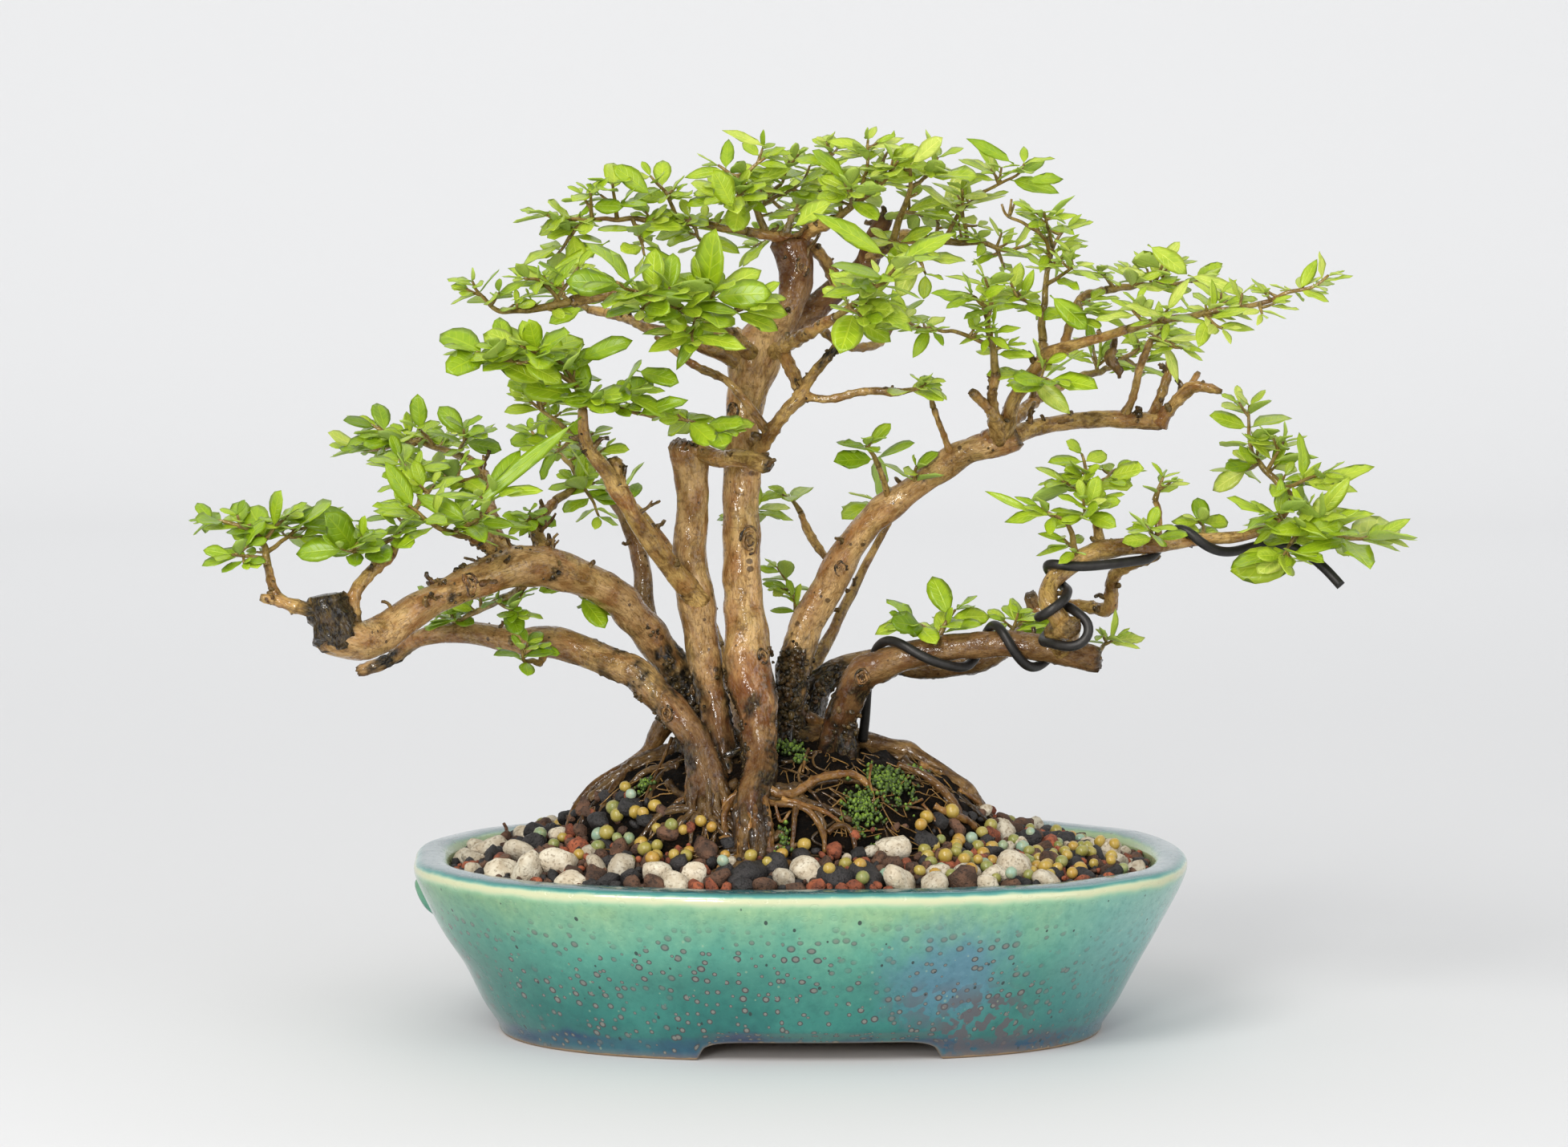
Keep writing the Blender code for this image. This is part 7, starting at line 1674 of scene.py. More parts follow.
# Roots seen on the front of the pad, as places in space with their radius
SEEN_ROOTS = [
    [(-33.3, 2, 79.8, 2.6), (-36.5, 3, 75.1, 2.4), (-39.7, 3, 70.3, 1.9), (-43.5, 1, 67.9, 1.4),
     (-48.2, -1, 65.8, 1.1), (-53, -1, 62.8, 1.0), (-56.7, -2, 58.8, 0.9), (-59, -5, 55, 0.83),
     (-60.4, -7, 50.4, 0.6)],
    [(-41.1, 0, 68.6, 0.93), (-45.4, -3.1, 66.7, 0.93), (-49.7, -4.1, 64.3, 0.93), (-53.2, -4.8, 61.7, 0.83),
     (-54.9, -9.6, 58.6, 0.8), (-55.4, -13.9, 55.7, 0.8), (-55.5, -16.1, 51.5, 0.5)],
    [(-33, -9, 75.8, 0.42), (-35.3, -13.6, 70.3, 0.41), (-38, -20.3, 65.4, 0.33), (-39.7, -23.9, 61.6, 0.3)],
    [(-28.6, -20.5, 69.4, 0.41), (-27.5, -26, 66.2, 0.41), (-26.2, -28, 63.6, 0.3)],
    [(-21, -29.1, 65.6, 1.0), (-25.6, -30.3, 62.7, 0.75), (-28.4, -30.7, 61.3, 0.55), (-30, -31.7, 58.6, 0.4)],
    [(-14.9, -31.3, 65.6, 1.0), (-17.5, -33.3, 62.7, 0.85), (-19.3, -36.2, 58.4, 0.85), (-18.2, -38.6, 52.4, 0.7)],
    [(-12.6, -36, 61.6, 0.85), (-15.2, -37.3, 58.4, 0.75), (-16.4, -38.8, 55.1, 0.65), (-17, -39.8, 51.0, 0.5)],
    [(-15.5, -32.4, 64.6, 0.65), (-18.3, -33.1, 62.7, 0.65), (-20.7, -34.3, 59.4, 0.5)],
    [(-12.9, -28.3, 68.6, 1.5), (-9.8, -31.7, 66.6, 1.3), (-6.2, -33.4, 64.8, 1.15), (-2.1, -33, 64.5, 1.05),
     (0.9, -31, 66, 1.05), (3.9, -28.9, 67.7, 1.1), (8.4, -27.9, 68.6, 1.05), (12.5, -26.2, 68.7, 0.95),
     (15.9, -25.8, 66.9, 0.8), (17.7, -28.1, 64.3, 0.65), (18.5, -30.4, 60.8, 0.4)],
    [(-9.8, -35.4, 62.9, 1.0), (-5.4, -35.4, 62.2, 0.85), (-1.3, -35.7, 61.8, 0.85), (1.9, -36.2, 60.6, 0.75),
     (4.1, -37.7, 58.2, 0.7), (5.7, -39, 55.1, 0.65), (5.9, -40.4, 50.6, 0.5)],
    [(-4.8, -34.5, 63.4, 0.65), (1.3, -35.6, 61.9, 0.65), (6.3, -35.8, 60.2, 0.55), (10.4, -36, 57.6, 0.4)],
    [(6.7, -38.9, 55.5, 0.65), (8.7, -37.8, 57, 0.75), (11.5, -37.2, 56.8, 0.75), (13.1, -38.3, 54, 0.65),
     (13.7, -39.4, 50, 0.5)],
    [(-1.3, -35.9, 61.6, 0.65), (-1.7, -38.9, 57.1, 0.6), (-2.3, -41, 51, 0.5)],
    [(-6.6, -35.5, 62.8, 0.42), (-5, -38.1, 58.2, 0.42), (-2.7, -36.7, 60.6, 0.4)],
    [(-8.8, -36.9, 61.4, 0.75), (-7.8, -38.7, 57.5, 0.65), (-8.4, -40.4, 52.4, 0.5)],
    [(0.1, -29.8, 67.3, 0.3), (3.1, -33.1, 64.6, 0.3), (6.5, -35, 60.6, 0.3)],
    [(2, -15, 73.6, 0.35), (1.1, -21.6, 72.2, 0.33), (0.5, -25.6, 69, 0.3)],
    [(17.9, -21, 70.3, 0.33), (17.4, -26.2, 67, 0.33), (18.3, -30, 63.7, 0.3), (18.9, -31.8, 59.9, 0.2)],
    [(0.9, 2, 80.4, 1.5), (4.1, 1.3, 79, 1.5), (7.5, 2, 76.8, 1.7), (11.2, 4, 74.6, 1.8), (17, 5, 73.2, 1.8),
     (22.8, 4, 71.9, 1.6), (26.9, 0, 70.9, 1.3), (28.9, -2.3, 68.6, 0.8)],
    [(24.9, -12.9, 69.2, 0.8), (29, -14.9, 67.8, 1.0), (32.6, -16.2, 66.1, 1.1), (35.5, -16.6, 63.9, 1.1),
     (37.9, -17.3, 61.4, 1.05), (39.8, -18.5, 58.8, 0.9), (40.8, -19.4, 55.8, 0.6)],
    [(33.9, -22.9, 60.2, 0.7), (37, -23, 58.5, 0.9), (40.1, -21.4, 57, 1.0), (43.2, -18.7, 55.1, 0.85),
     (46, -16.4, 51.9, 0.5)],
    [(30.4, -6.5, 68.4, 0.9), (35, -4.4, 66.9, 0.9), (39.3, -2, 64.7, 0.9), (42.6, -2, 62.4, 0.9), (45.2, -2, 60, 0.8),
     (47.8, -2, 56.4, 0.5)],
    [(40.6, -10.3, 62.5, 0.55), (43.8, -8.2, 60.3, 0.55), (47.4, -4, 56.8, 0.4)],
    [(30.8, -24.9, 60.9, 0.33), (33.6, -26.3, 57.6, 0.33), (35.4, -27.2, 53.4, 0.3)],
    [(26.6, -27, 60.8, 0.33), (30.8, -23.8, 61.9, 0.42)],
    [(-19.4, -21, 72.6, 0.95), (-16.8, -21.4, 73.3, 1.05), (-14.4, -20, 73.8, 0.9)],
    [(-13, -22, 81, 0.5), (-11.5, -25, 79, 0.55), (-10.4, -26.5, 76.5, 0.5)],
]


# Feet of the trunks that split into fingers of root, as (trunk, how many, longest, radius, first and last turn)
FINGERS = [("main_trunk", 30, 17.0, 1.15, -178, -2), ("left_front_trunk", 22, 13.0, 1.05, -190, -15),
           ("right_low_trunk", 12, 15.0, 1.1, -155, -5), ("left_arch_trunk", 8, 14.0, 1.0, -205, -150)]


def finger_rows(draw, stems):
    """Fingers of root that grow out of a trunk's foot at many heights, run down it, and spread over the pad."""
    for trunk, count, longest, radius, first, last in FINGERS:
        path = curve(stems[trunk], 0.5)
        for turn in np.radians(np.linspace(first, last, count) + draw.normal(0, 7, count)):
            rise = draw.uniform(2.0, 13.0)
            down = path[np.clip((np.array((1.0, 0.75, 0.45, 0.2)) * rise / 0.5).astype(int), 0, len(path) - 1)]
            turns = turn + np.cumsum(draw.normal(0, 0.10, 10))
            way = np.column_stack((np.cos(turns), 0.85 * np.sin(turns), np.zeros(10)))
            hugging = down[:, :3] + way[:4] * down[:, 3:4] * np.array((0.72, 1.0, 1.16, 1.28))[:, None]
            reach = path[0, 3] * 1.15 + np.linspace(0.1, 1, 6) ** 1.2 * longest * draw.uniform(0.3, 1.0)
            spread = path[0, :3] + way[4:] * reach[:, None]
            ground = bed_height(*spread.T[:2]) + draw.normal(0.15, 0.35, 6) - np.linspace(0, 1, 6) ** 4 * 1.3
            spread[:, 2] = np.minimum(ground, hugging[-1, 2] + 1.0)
            widths = np.array((0.35, 0.8, 1.0, 1.05, 1.0, 0.9, 0.8, 0.65, 0.5, 0.35)) * radius * draw.uniform(0.45, 1.1)
            yield np.column_stack((np.vstack((hugging, spread)), widths))


def root_surfaces(look):
    """Surface roots that grip the pad, roots seen on its front, fingers of root at the trunks' feet, thin roots sunk
    into the pad, and hair roots between them."""
    draw = np.random.default_rng(look.seed + 3)
    stems = stem_rows()
    shape = Shape()
    for number, root in enumerate(ROOTS):
        rows = np.array([(x, y, float(pad_height(x, y)) + lift - 0.3, radius * 0.9) for x, y, radius, lift in root])
        wood_tube(shape, f"root {number}", rows, stems, 0.95, 18, draw, end_cut=False, rough=2.2)
    for number, root in enumerate(SEEN_ROOTS):
        wood_tube(shape, f"seen root {number}", np.array(root, float), stems, 0.7, 12, draw, end_cut=False, finish=1,
                  rough=2.2)
    for number, rows in enumerate(finger_rows(draw, stems)):
        wood_tube(shape, f"root finger {number}", rows, stems, 0.8, 9, draw, end_cut=False, finish=number % 3 == 0,
                  rough=2.0)
    for number in range(look.thin_roots):
        angle = draw.uniform(-np.pi, np.pi)
        steps = draw.integers(5, 10)
        reach = np.minimum(draw.uniform(0.15, 0.8) + np.cumsum(draw.uniform(0.02, 0.10, steps)), 1.04)
        angles = angle + np.cumsum(draw.normal(0, 0.12, steps))
        x, y = on_pad(reach, angles)
        size = draw.choice((0.3, 0.45, 0.7, 1.1), p=(0.35, 0.35, 0.2, 0.1))
        lift = draw.normal(0.1, 0.55, steps) * 0.8
        lift[-1] = -1.0
        rows = np.column_stack((x, y, bed_height(x, y) + lift + 0.2, np.linspace(size, size * 0.5, steps)))
        wood_tube(shape, f"thin root {number}", rows, stems, 0.95, 7 if size < 0.6 else 9, draw, end_cut=False,
                  rough=1.6)
    for number in range(look.hair_roots):
        front = number < look.hair_roots * 0.6
        angle = draw.uniform(-2.6, -0.5) if front else draw.uniform(-np.pi, np.pi)
        steps = draw.integers(4, 7)
        reach = np.minimum(draw.uniform(0.45, 1.0) + np.cumsum(draw.normal(0.02, 0.035, steps)), 1.08)
        angles = angle + np.cumsum(draw.normal(0, 0.07, steps))
        x, y = on_pad(reach, angles)
        lift = np.sin(np.linspace(0, np.pi, steps)) * draw.uniform(0.5, 2.2) + 0.1
        path = curve(np.column_stack((x, y, bed_height(x, y) + lift)), 1.0)
        points, quads, tris, grain, _ = tube(path, np.full(len(path), draw.uniform(0.10, 0.22)), 4)
        traits = np.broadcast_to((draw.uniform(0.4, 1.0), 0.0, 0.2), (len(points), 3))
        shape.add(points, quads, tris, 1, grain=grain, traits=traits)
    return shape


# Moss cushions on the pad, as (x, y, spread, tufts)
MOSS = [
    (22, -23, 6.0, 330), (15.5, -33, 4.6, 250), (-2.5, -12, 4.2, 110), (-4.8, -40.3, 1.6, 40), (-39.8, -20, 2.2, 50),
    (26, 8, 6.0, 90), (-36, 10, 5.0, 60), (-12, 30, 6.0, 80), (30, -12, 3.0, 40), (0, -22, 2.0, 24),
]


def moss_surface(look):
    """Moss: cushions of small pointed tufts, painted darker at their feet as shade."""
    draw = np.random.default_rng(look.seed + 4)
    spots = np.concatenate([np.column_stack((x + draw.normal(size=count) * spread * 0.5,
                                             y + draw.normal(size=count) * spread * 0.5))
                            for x, y, spread, count in MOSS])
    centres = np.column_stack((spots, bed_height(*spots.T) + draw.uniform(0.2, 1.6, len(spots))))
    angle = circle(5)
    rings = [(0.0, 0.55), (0.5, 0.95), (1.0, 0.62)]
    unit_points = np.concatenate([np.column_stack((radius * np.cos(angle + 0.5 * k), radius * np.sin(angle + 0.5 * k),
                                                   np.full(5, height))) for k, (height, radius) in enumerate(rings)])
    unit_points = np.vstack((unit_points, (0, 0, -0.3), (0, 0, 1.7)))
    count = len(centres)
    sizes = draw.uniform(0.40, 0.85, count)
    lean = unit(np.column_stack((draw.normal(0, 0.35, count), draw.normal(-0.15, 0.35, count), np.ones(count))))
    side = unit(np.cross(lean, (0.0, 1.0, 0.2)))
    turn = np.stack((side, np.cross(lean, side), lean), axis=1)
    points = centres[:, None] + np.einsum("pk,nkj->npj", unit_points, turn) * sizes[:, None, None]
    # Painted shade: each tuft is painted darker towards its foot, where the cushion shades it.
    shade = np.clip(unit_points[:, 2] / 1.7, 0, 1)[None] * draw.uniform(0.6, 1.05, count)[:, None]
    each = len(unit_points)
    shape = Shape()
    shape.add(points, copies(grid_quads(3, 5), count, each), copies(caps(3, 5), count, each), tone=shade)
    return shape


def wire_surface():
    """The training wire, wound on its route and pushed clear of the wood."""
    stems = list(stem_rows().values())
    path = curve(placed(np.array(WIRE_ROUTE, float)), 2.0)
    for _ in range(80):
        path[1:-1] = 0.9 * path[1:-1] + 0.05 * (path[:-2] + path[2:])
        best = np.full(len(path), 1e9)
        away = np.zeros_like(path)
        for rows in stems:
            starts, spans = rows[:-1, :3], np.diff(rows[:, :3], axis=0)
            share = ((path[:, None] - starts) * spans).sum(axis=-1) / np.maximum((spans ** 2).sum(axis=-1), 1e-9)
            share = np.clip(share, 0, 1)
            off = path[:, None] - starts - spans * share[..., None]
            distance = np.linalg.norm(off, axis=-1)
            gap = distance - (rows[:-1, 3] + np.diff(rows[:, 3]) * share)
            at = gap.argmin(axis=1)
            index = np.arange(len(path))
            closer = gap[index, at] < best
            best = np.where(closer, gap[index, at], best)
            away = np.where(closer[:, None], off[index, at] / np.maximum(distance[index, at], 1e-6)[:, None], away)
        path = path + away * np.maximum(WIRE_RADIUS + 0.25 - best, 0)[:, None]
    path = curve(path, 0.9)
    points, quads, tris, _, _ = tube(path, np.full(len(path), WIRE_RADIUS), 18)
    shape = Shape()
    shape.add(points, quads, tris)
    return shape


REGIONS = {
    "crown_leaves": ("crown_",),
    "centre_leaves": ("fork_", "front_crown_", "network_", "mid_", "main_", "low_green_"),
    "upper_right_leaves": ("high_",),
    "left_leaves": ("left_", "front_lean_"),
    "lower_right_leaves": ("wired_", "low_branch_", "low_end_"),
}


def region_stems(region):
    """The leafy stems that a region's piece stands for."""
    return {name: shoots for name, shoots in LEAFY_STEMS.items() if name.startswith(REGIONS[region])}


def leaf_rows(path, length, pairs, form, draw, lead):
    """Where leaves stand on a shoot, from its tip down: opposite pairs, each a quarter turn from the next, small at
    the tip and full grown below. Returns base points, directions, faces, lengths and forms."""
    reached = along(path)
    total = reached[-1]
    rows = []
    where = total
    for pair in range(pairs + 1):
        if where < 0.8 and pair > 1:
            break
        spot = max(where, min(0.8, total))
        index = min(int(np.searchsorted(reached, spot, side="right")) - 1, len(path) - 2)
        span = path[index + 1] - path[index]
        point = path[index] + span * ((spot - reached[index]) / max(np.linalg.norm(span), 1e-6))
        way = unit(span)
        size = length * (0.58, 0.90, 1.04, 1.0, 0.95, 0.9)[min(pair, 5)]
        spread = math.radians((34, 52, 64, 68, 72, 74)[min(pair, 5)] + draw.uniform(-8, 8))
        turn = lead + pair * math.pi / 2 + draw.uniform(-0.35, 0.35)
        side = unit(np.cross(way, (0.02, 0.1, 1.0)))
        other = np.cross(side, way)
        for half in (0.0, math.pi):
            if pair and draw.uniform() < 0.06:
                continue
            lateral = side * math.cos(turn + half) * 1.0 + other * math.sin(turn + half) * 0.75
            leaf_way = way * math.cos(spread) + lateral * math.sin(spread)
            leaf_way = unit(leaf_way * (1, 1, 0.42) + np.array((0, -0.05, draw.uniform(-0.12, 0.22))))
            outward = unit(np.array((point[0] * 0.5, point[1] * 0.5 - 10.0, 10.0)))
            face = np.array((0.0, -0.40, 1.0)) + 0.30 * outward + draw.normal(0, 0.30, 3)
            rows.append((point, leaf_way, face, size * draw.uniform(0.85, 1.12), form))
        where -= (2.0, 3.1, 3.9, 4.4, 4.6)[min(pair, 4)] * (length / 10.0) ** 0.6 * draw.uniform(0.85, 1.2)
    return rows


def blades(base, way, face, length, form, draw):
    """Leaves at once, each a closed thin blade on a grid. Along the leaf the half width follows a power of the share
    run times a power of the share left; the rib droops with the square of the share run; the blade folds up from its
    rib, cups a little and waves at its margin. The underside shares the margin's points.
    Returns points of every leaf, and for one leaf its top faces, back faces and grid coordinates."""
    rows, columns = 8, 5
    u = np.array((0.0, 0.10, 0.22, 0.38, 0.55, 0.71, 0.87, 1.0))
    v = np.array((-1.0, -0.5, 0.0, 0.5, 1.0))
    count = len(base)
    across = unit(np.cross(way, face))
    up = np.cross(across, way)
    ratio, low, high = form[:, 0], form[:, 1], form[:, 2]
    blade_run = np.clip((u - 0.10) / 0.90, 0, 1)
    profile = np.maximum(blade_run[None], 1e-5) ** low[:, None] * np.maximum(1 - blade_run[None], 1e-5) ** high[:, None]
    profile /= profile.max(axis=1, keepdims=True)
    half = 0.5 * ratio[:, None] * length[:, None] * profile
    stalk = np.clip(1 - (u - 0.02) / 0.1, 0, 1)
    half = np.maximum(half, 0.24 * stalk + 0.04)
    droop = draw.uniform(0.02, 0.24, (count, 1)) * length[:, None]
    fold = draw.uniform(0.10, 0.34, (count, 1, 1))
    wave = draw.uniform(0.0, 0.045, (count, 1, 1)) * length[:, None, None]
    phase = draw.uniform(0, 2 * np.pi, (count, 1, 1))
    twist = draw.uniform(-0.3, 0.3, (count, 1, 1)) * u[None, :, None]
    side = v[None, None] * half[..., None]
    lift = fold * np.abs(side) - 0.10 * side ** 2 / np.maximum(half[..., None], 0.3) + wave * np.sin(
        u[None, :, None] * 11 + phase + (v > 0)[None, None] * 1.3) * v[None, None] ** 2 * (half[..., None] > 0.6)
    lift = lift + twist * side - (droop * u[None] ** 2)[..., None]
    points = (base[:, None, None] + way[:, None, None] * (u[None, :, None] * length[:, None, None])[..., None]
              + across[:, None, None] * side[..., None] + up[:, None, None] * lift[..., None])
    inner = np.array([i * columns + j for i in range(1, rows - 1) for j in range(1, columns - 1)])
    flat = points.reshape(count, -1, 3)
    below = flat[:, inner] - up[:, None] * LEAF_THICKNESS
    top = grid_quads(rows, columns, closed=False)
    swap = np.arange(rows * columns)
    swap[inner] = rows * columns + np.arange(len(inner))
    back = swap[top][:, ::-1]
    grid = np.column_stack((np.repeat(u, columns), np.tile(v, rows)))
    grid = np.vstack((grid, grid[inner]))
    return np.concatenate((flat, below), axis=1), top, back, grid


# Single leaves that stand out, as (region, drawn place of the base, drawn place of the tip, width, form)
STANDING_LEAVES = [
    ("centre_leaves", (22.5, -40, 198.1), (4.9, -46, 210.4), 5.0, LANCE),
    ("crown_leaves", (-8.9, -22, 226.5), (-19.5, -26, 231.2), 2.6, LANCE),
    ("upper_right_leaves", (54.4, -6, 222.2), (42.9, -8, 229.2), 3.4, LANCE),
    ("upper_right_leaves", (57.7, -6, 217.7), (67.5, -4, 219.2), 3.2, LANCE),
    ("lower_right_leaves", (146, -24, 125.3), (159.0, -24, 126.3), 2.6, LANCE),
    ("lower_right_leaves", (132.1, -18, 139.9), (147.1, -18, 146.1), 4.2, LANCE),
    ("lower_right_leaves", (129.2, -32, 120.5), (111.5, -36, 119.1), 9.6, OVAL),
    ("left_leaves", (-56.2, -62, 157.5), (-86.1, -70, 133.8), 3.9, LANCE),
    ("left_leaves", (-113.3, -58, 130.7), (-129.2, -62, 132.5), 7.6, OVAL),
    ("lower_right_leaves", (60.1, -36, 132.7), (47.5, -34, 139.3), 2.2, LANCE),
    ("crown_leaves", (-17.1, -24, 210.4), (-21.6, -28, 220.6), 6.4, OVAL),
    ("crown_leaves", (-48.8, -14, 202.6), (-64.4, -18, 194.4), 3.6, LANCE),
    ("centre_leaves", (-24.3, -46, 183.0), (-32.1, -50, 170.2), 4.2, LANCE),
    ("centre_leaves", (-42.0, -44, 169.4), (-31.7, -50, 167.3), 5.4, OVAL),
    ("upper_right_leaves", (88.7, -12, 201.6), (98.8, -16, 195.0), 5.2, OVAL),
    ("upper_right_leaves", (99.0, -10, 193.8), (113.6, -14, 190.3), 3.6, LANCE),
    ("upper_right_leaves", (63.8, -20, 188.7), (73.5, -26, 181.1), 5.6, OVAL),
    ("upper_right_leaves", (59.3, -18, 167.5), (69.1, -24, 158.5), 5.0, LANCE),
    ("centre_leaves", (12.7, -30, 183.2), (23.0, -34, 178.0), 5.4, OVAL),
    ("centre_leaves", (-42, -52, 158), (-30, -56, 163), 4.4, LANCE),
    ("left_leaves", (-57, -52, 172), (-45, -58, 178), 5.4, OVAL),
    ("left_leaves", (-66, -58, 166), (-78, -62, 172), 5.6, OVAL),
    ("crown_leaves", (12, -18, 218), (4, -24, 226), 5.2, OVAL),
    ("crown_leaves", (28, -16, 222), (36, -20, 229), 4.6, OVAL),
    ("crown_leaves", (-38, -14, 214), (-47, -18, 222), 5.4, OVAL),
    ("crown_leaves", (-2, -30, 206), (6, -36, 213), 5.6, OVAL),
]


def standing_leaf(base, tip, width, draw):
    """A row for a leaf that is drawn by its base and its tip, with its face turned to the front."""
    start, end = placed([base, tip])
    length = np.linalg.norm(end - start)
    face = np.array((0.0, -0.85, 0.5)) + draw.normal(0, 0.12, 3)
    return start, (end - start) / length, face, length, width / length


def add_twig(shape, path, radii, sides):
    """A young twig, without rot."""
    points, quads, tris, grain, _ = tube(path, radii, sides)
    shape.add(points, quads, tris, 2, grain=grain, traits=traits_of(1.0, np.zeros(len(points)), 0.0))


def foliage_surfaces(look, region):
    """A region's twigs and leaves: the drawn shoots with every pair of leaves that they bear."""
    draw = np.random.default_rng(look.seed + hash_of(region) % 1000)
    shape = Shape()
    rows = []
    for shoots in region_stems(region).values():
        main = placed(shoots[0][0])
        for number, (points, length, pairs, form) in enumerate(shoots):
            drawn = placed(points)
            if number:
                spots = curve(main, 0.8)
                drawn[0] = spots[np.linalg.norm(spots - drawn[0], axis=1).argmin()]
            path = curve(drawn, 0.9)
            wander = np.column_stack([waves(path, 7.0, 60 + axis) for axis in range(3)])
            path += 0.22 * wander * np.minimum(along(path) / 4, 1)[:, None]
            thick = min(0.65 + 0.1 * len(main), 1.15) if number == 0 else 0.62
            radii = np.linspace(thick, 0.34, len(path))
            add_twig(shape, path, radii, 8)
            rows += leaf_rows(path, length, pairs, form, draw, draw.uniform(0, math.pi))
            reached = along(path)
            for _ in range(int(reached[-1] / look.spur_spacing)):
                at = int(np.searchsorted(reached, draw.uniform(0.12, 0.9) * reached[-1]))
                aim = unit(draw.normal(size=3) * (1, 0.9, 0.45) + (0, 0, 0.25))
                spur = path[min(at, len(path) - 1)] + np.outer(np.linspace(0, draw.uniform(2.0, 4.6), 6), aim)
                spur[:, 2] += np.linspace(0, 1, 6) ** 2 * 0.9
                add_twig(shape, spur, np.linspace(0.45, 0.3, 6), 6)
                rows += leaf_rows(spur, length * draw.uniform(0.65, 0.95), 1, form, draw, draw.uniform(0, math.pi))
    for place, start, tip, width, form in STANDING_LEAVES:
        if place == region:
            *row, ratio = standing_leaf(start, tip, width, draw)
            rows.append((*row[:3], row[3] / look.leaf_scale, (ratio, *form[1:])))
    base, way, face, length = (np.array([row[i] for row in rows]) for i in range(4))
    form = np.array([row[4] for row in rows])
    length = length * look.leaf_scale
    way, face = unit(way), unit(face)
    low = np.array(FRAME_BOX[0]) / MM - POT_MIDDLE + 0.3
    high = np.array(FRAME_BOX[1]) / MM - POT_MIDDLE - 0.3
    state = draw.bit_generator.state
    for _ in range(6):
        draw.bit_generator.state = state
        points, top, back, grid = blades(base, way, face, length, form, draw)
        out = ((points < low) | (points > high)).any(axis=(1, 2))
        length = np.where(out, length * 0.8, length)
        way = np.where(out[:, None], unit(way + unit(-base * (1, 1, 0) + (0, 0, 60)) * 0.3), way)
    keep = ~out & (length > 2.0)
    points = points[keep]
    count = len(points)
    # A tint for each leaf: a random tone of its own, darker for longer leaves, brighter further right, and brighter
    # higher up, which paints the upper leaves as sunlit.
    tint = np.clip(0.56 + 0.17 * draw.normal(size=count) + 0.10 * waves(base[keep], 45.0, 77)
                   + 0.0022 * (base[keep][:, 2] - 150) + 0.0016 * base[keep][:, 0]
                   - 0.014 * (length[keep] - 9), 0.04, 1.0)
    blade = np.column_stack((np.tile(grid, (count, 1)), np.repeat(tint, len(grid))))
    first = shape.count
    shape.add(points, copies(top, count, len(grid)), blade=blade)
    shape.quads.append(copies(back, count, len(grid)).reshape(-1, 4) + first)
    shape.quad_finish.append(np.full(count * len(back), 1))
    return shape, count


def number(name, description, default, low, high=1000.0):
    """A number that a user may change."""
    return bpy.props.FloatProperty(name=name, description=description, default=default, min=low, max=high)


def whole(name, description, default, low, high=1000000):
    """A whole number that a user may change."""
    return bpy.props.IntProperty(name=name, description=description, default=default, min=low, max=high)


def colour_of(name, description, default, high=2.0):
    """A colour that a user may change."""
    return bpy.props.FloatVectorProperty(name=name, description=description, default=default, subtype="COLOR",
                                         min=0.0, max=high)


class BonsaiLook(bpy.types.PropertyGroup):
    """Sizes and colours that a user may change before building the pieces."""
    leaf_scale: number("Leaf scale", "Length of the leaves against the drawn ones", 1.09, 0.5, 1.4)
    leaf_tint: colour_of("Leaf tint", "Colour that the leaves' greens are multiplied by", (1.0, 1.0, 1.0))
    leaf_roughness: number("Leaf roughness", "Roughness of a leaf's upper side", 0.30, 0.05, 1.0)
    # Painted glow: how strongly the leaves emit their own colour, standing in for light through them from behind.
    leaf_painted_glow: number("Leaf glow", "Light that thin leaves pass on from behind", 0.115, 0.0, 0.5)
    bark_tint: colour_of("Bark tint", "Colour that the bark is multiplied by", (0.95, 0.93, 0.89))
    glaze_tint: colour_of("Glaze tint", "Colour that the glaze is multiplied by", (0.94, 0.96, 0.95))
    glaze_roughness: number("Glaze roughness", "Roughness of the glaze where it is clearest", 0.12, 0.02, 0.6)
    gravel_tint: colour_of("Gravel tint", "Colour that the stones are multiplied by", (0.91, 0.90, 0.92))
    thin_roots: whole("Thin roots", "How many thin roots run down over the root pad", 60, 0, 300)
    hair_roots: whole("Hair roots", "How many hair roots lie between the others", 110, 0, 400)
    pot_columns: whole("Pot columns", "Points round each ring of the pot", 300, 96, 720)
    spur_spacing: number("Spur spacing", "Length of shoot for each leafy spur on it, in mm", 4.6, 2.0, 30.0)
    snags: number("Snags", "Dead snags against the drawn number of them", 1.0, 0.0, 3.0)
    seed: whole("Seed", "Number that every random choice starts from", 11, 0)
    # The floor is painted darker near the pot and brighter far back with this colour: painted light that evens out the
    # lamps' fall-off.
    floor_colour: colour_of("Floor colour", "Colour of the floor and the backdrop", (0.80, 0.80, 0.805), 1.0)
    key_power: number("Key light", "Power of the soft light from the upper left front, in watts", 16.5, 0.0)
    sky_strength: number("Surrounding light", "Strength of the even white light from all round", 0.80, 0.0)


class BONSAI_OT_pot(bpy.types.Operator):
    """Build the glazed oval pot with its lip, foot, passage and drain holes"""
    bl_idname = "bonsai.pot"
    bl_label = "Pot"

    def execute(self, context):
        look = context.scene.bonsai_look
        pot = make_piece("glazed_pot", pot_surface(look), [glaze_material(look)], ["pot"])
        for side in (-1, 1):
            hole = pot.modifiers.new(f"Drain hole {side}", "BOOLEAN")
            hole.operation = "DIFFERENCE"
            hole.solver = "EXACT"
            hole.object = hidden_cutter(f"drain_cutter_{side + 1}", side * DRAIN_SPACING)
        make_piece("pot_lug", lug_surface(), [pot.data.materials[0]], ())
        return {"FINISHED"}


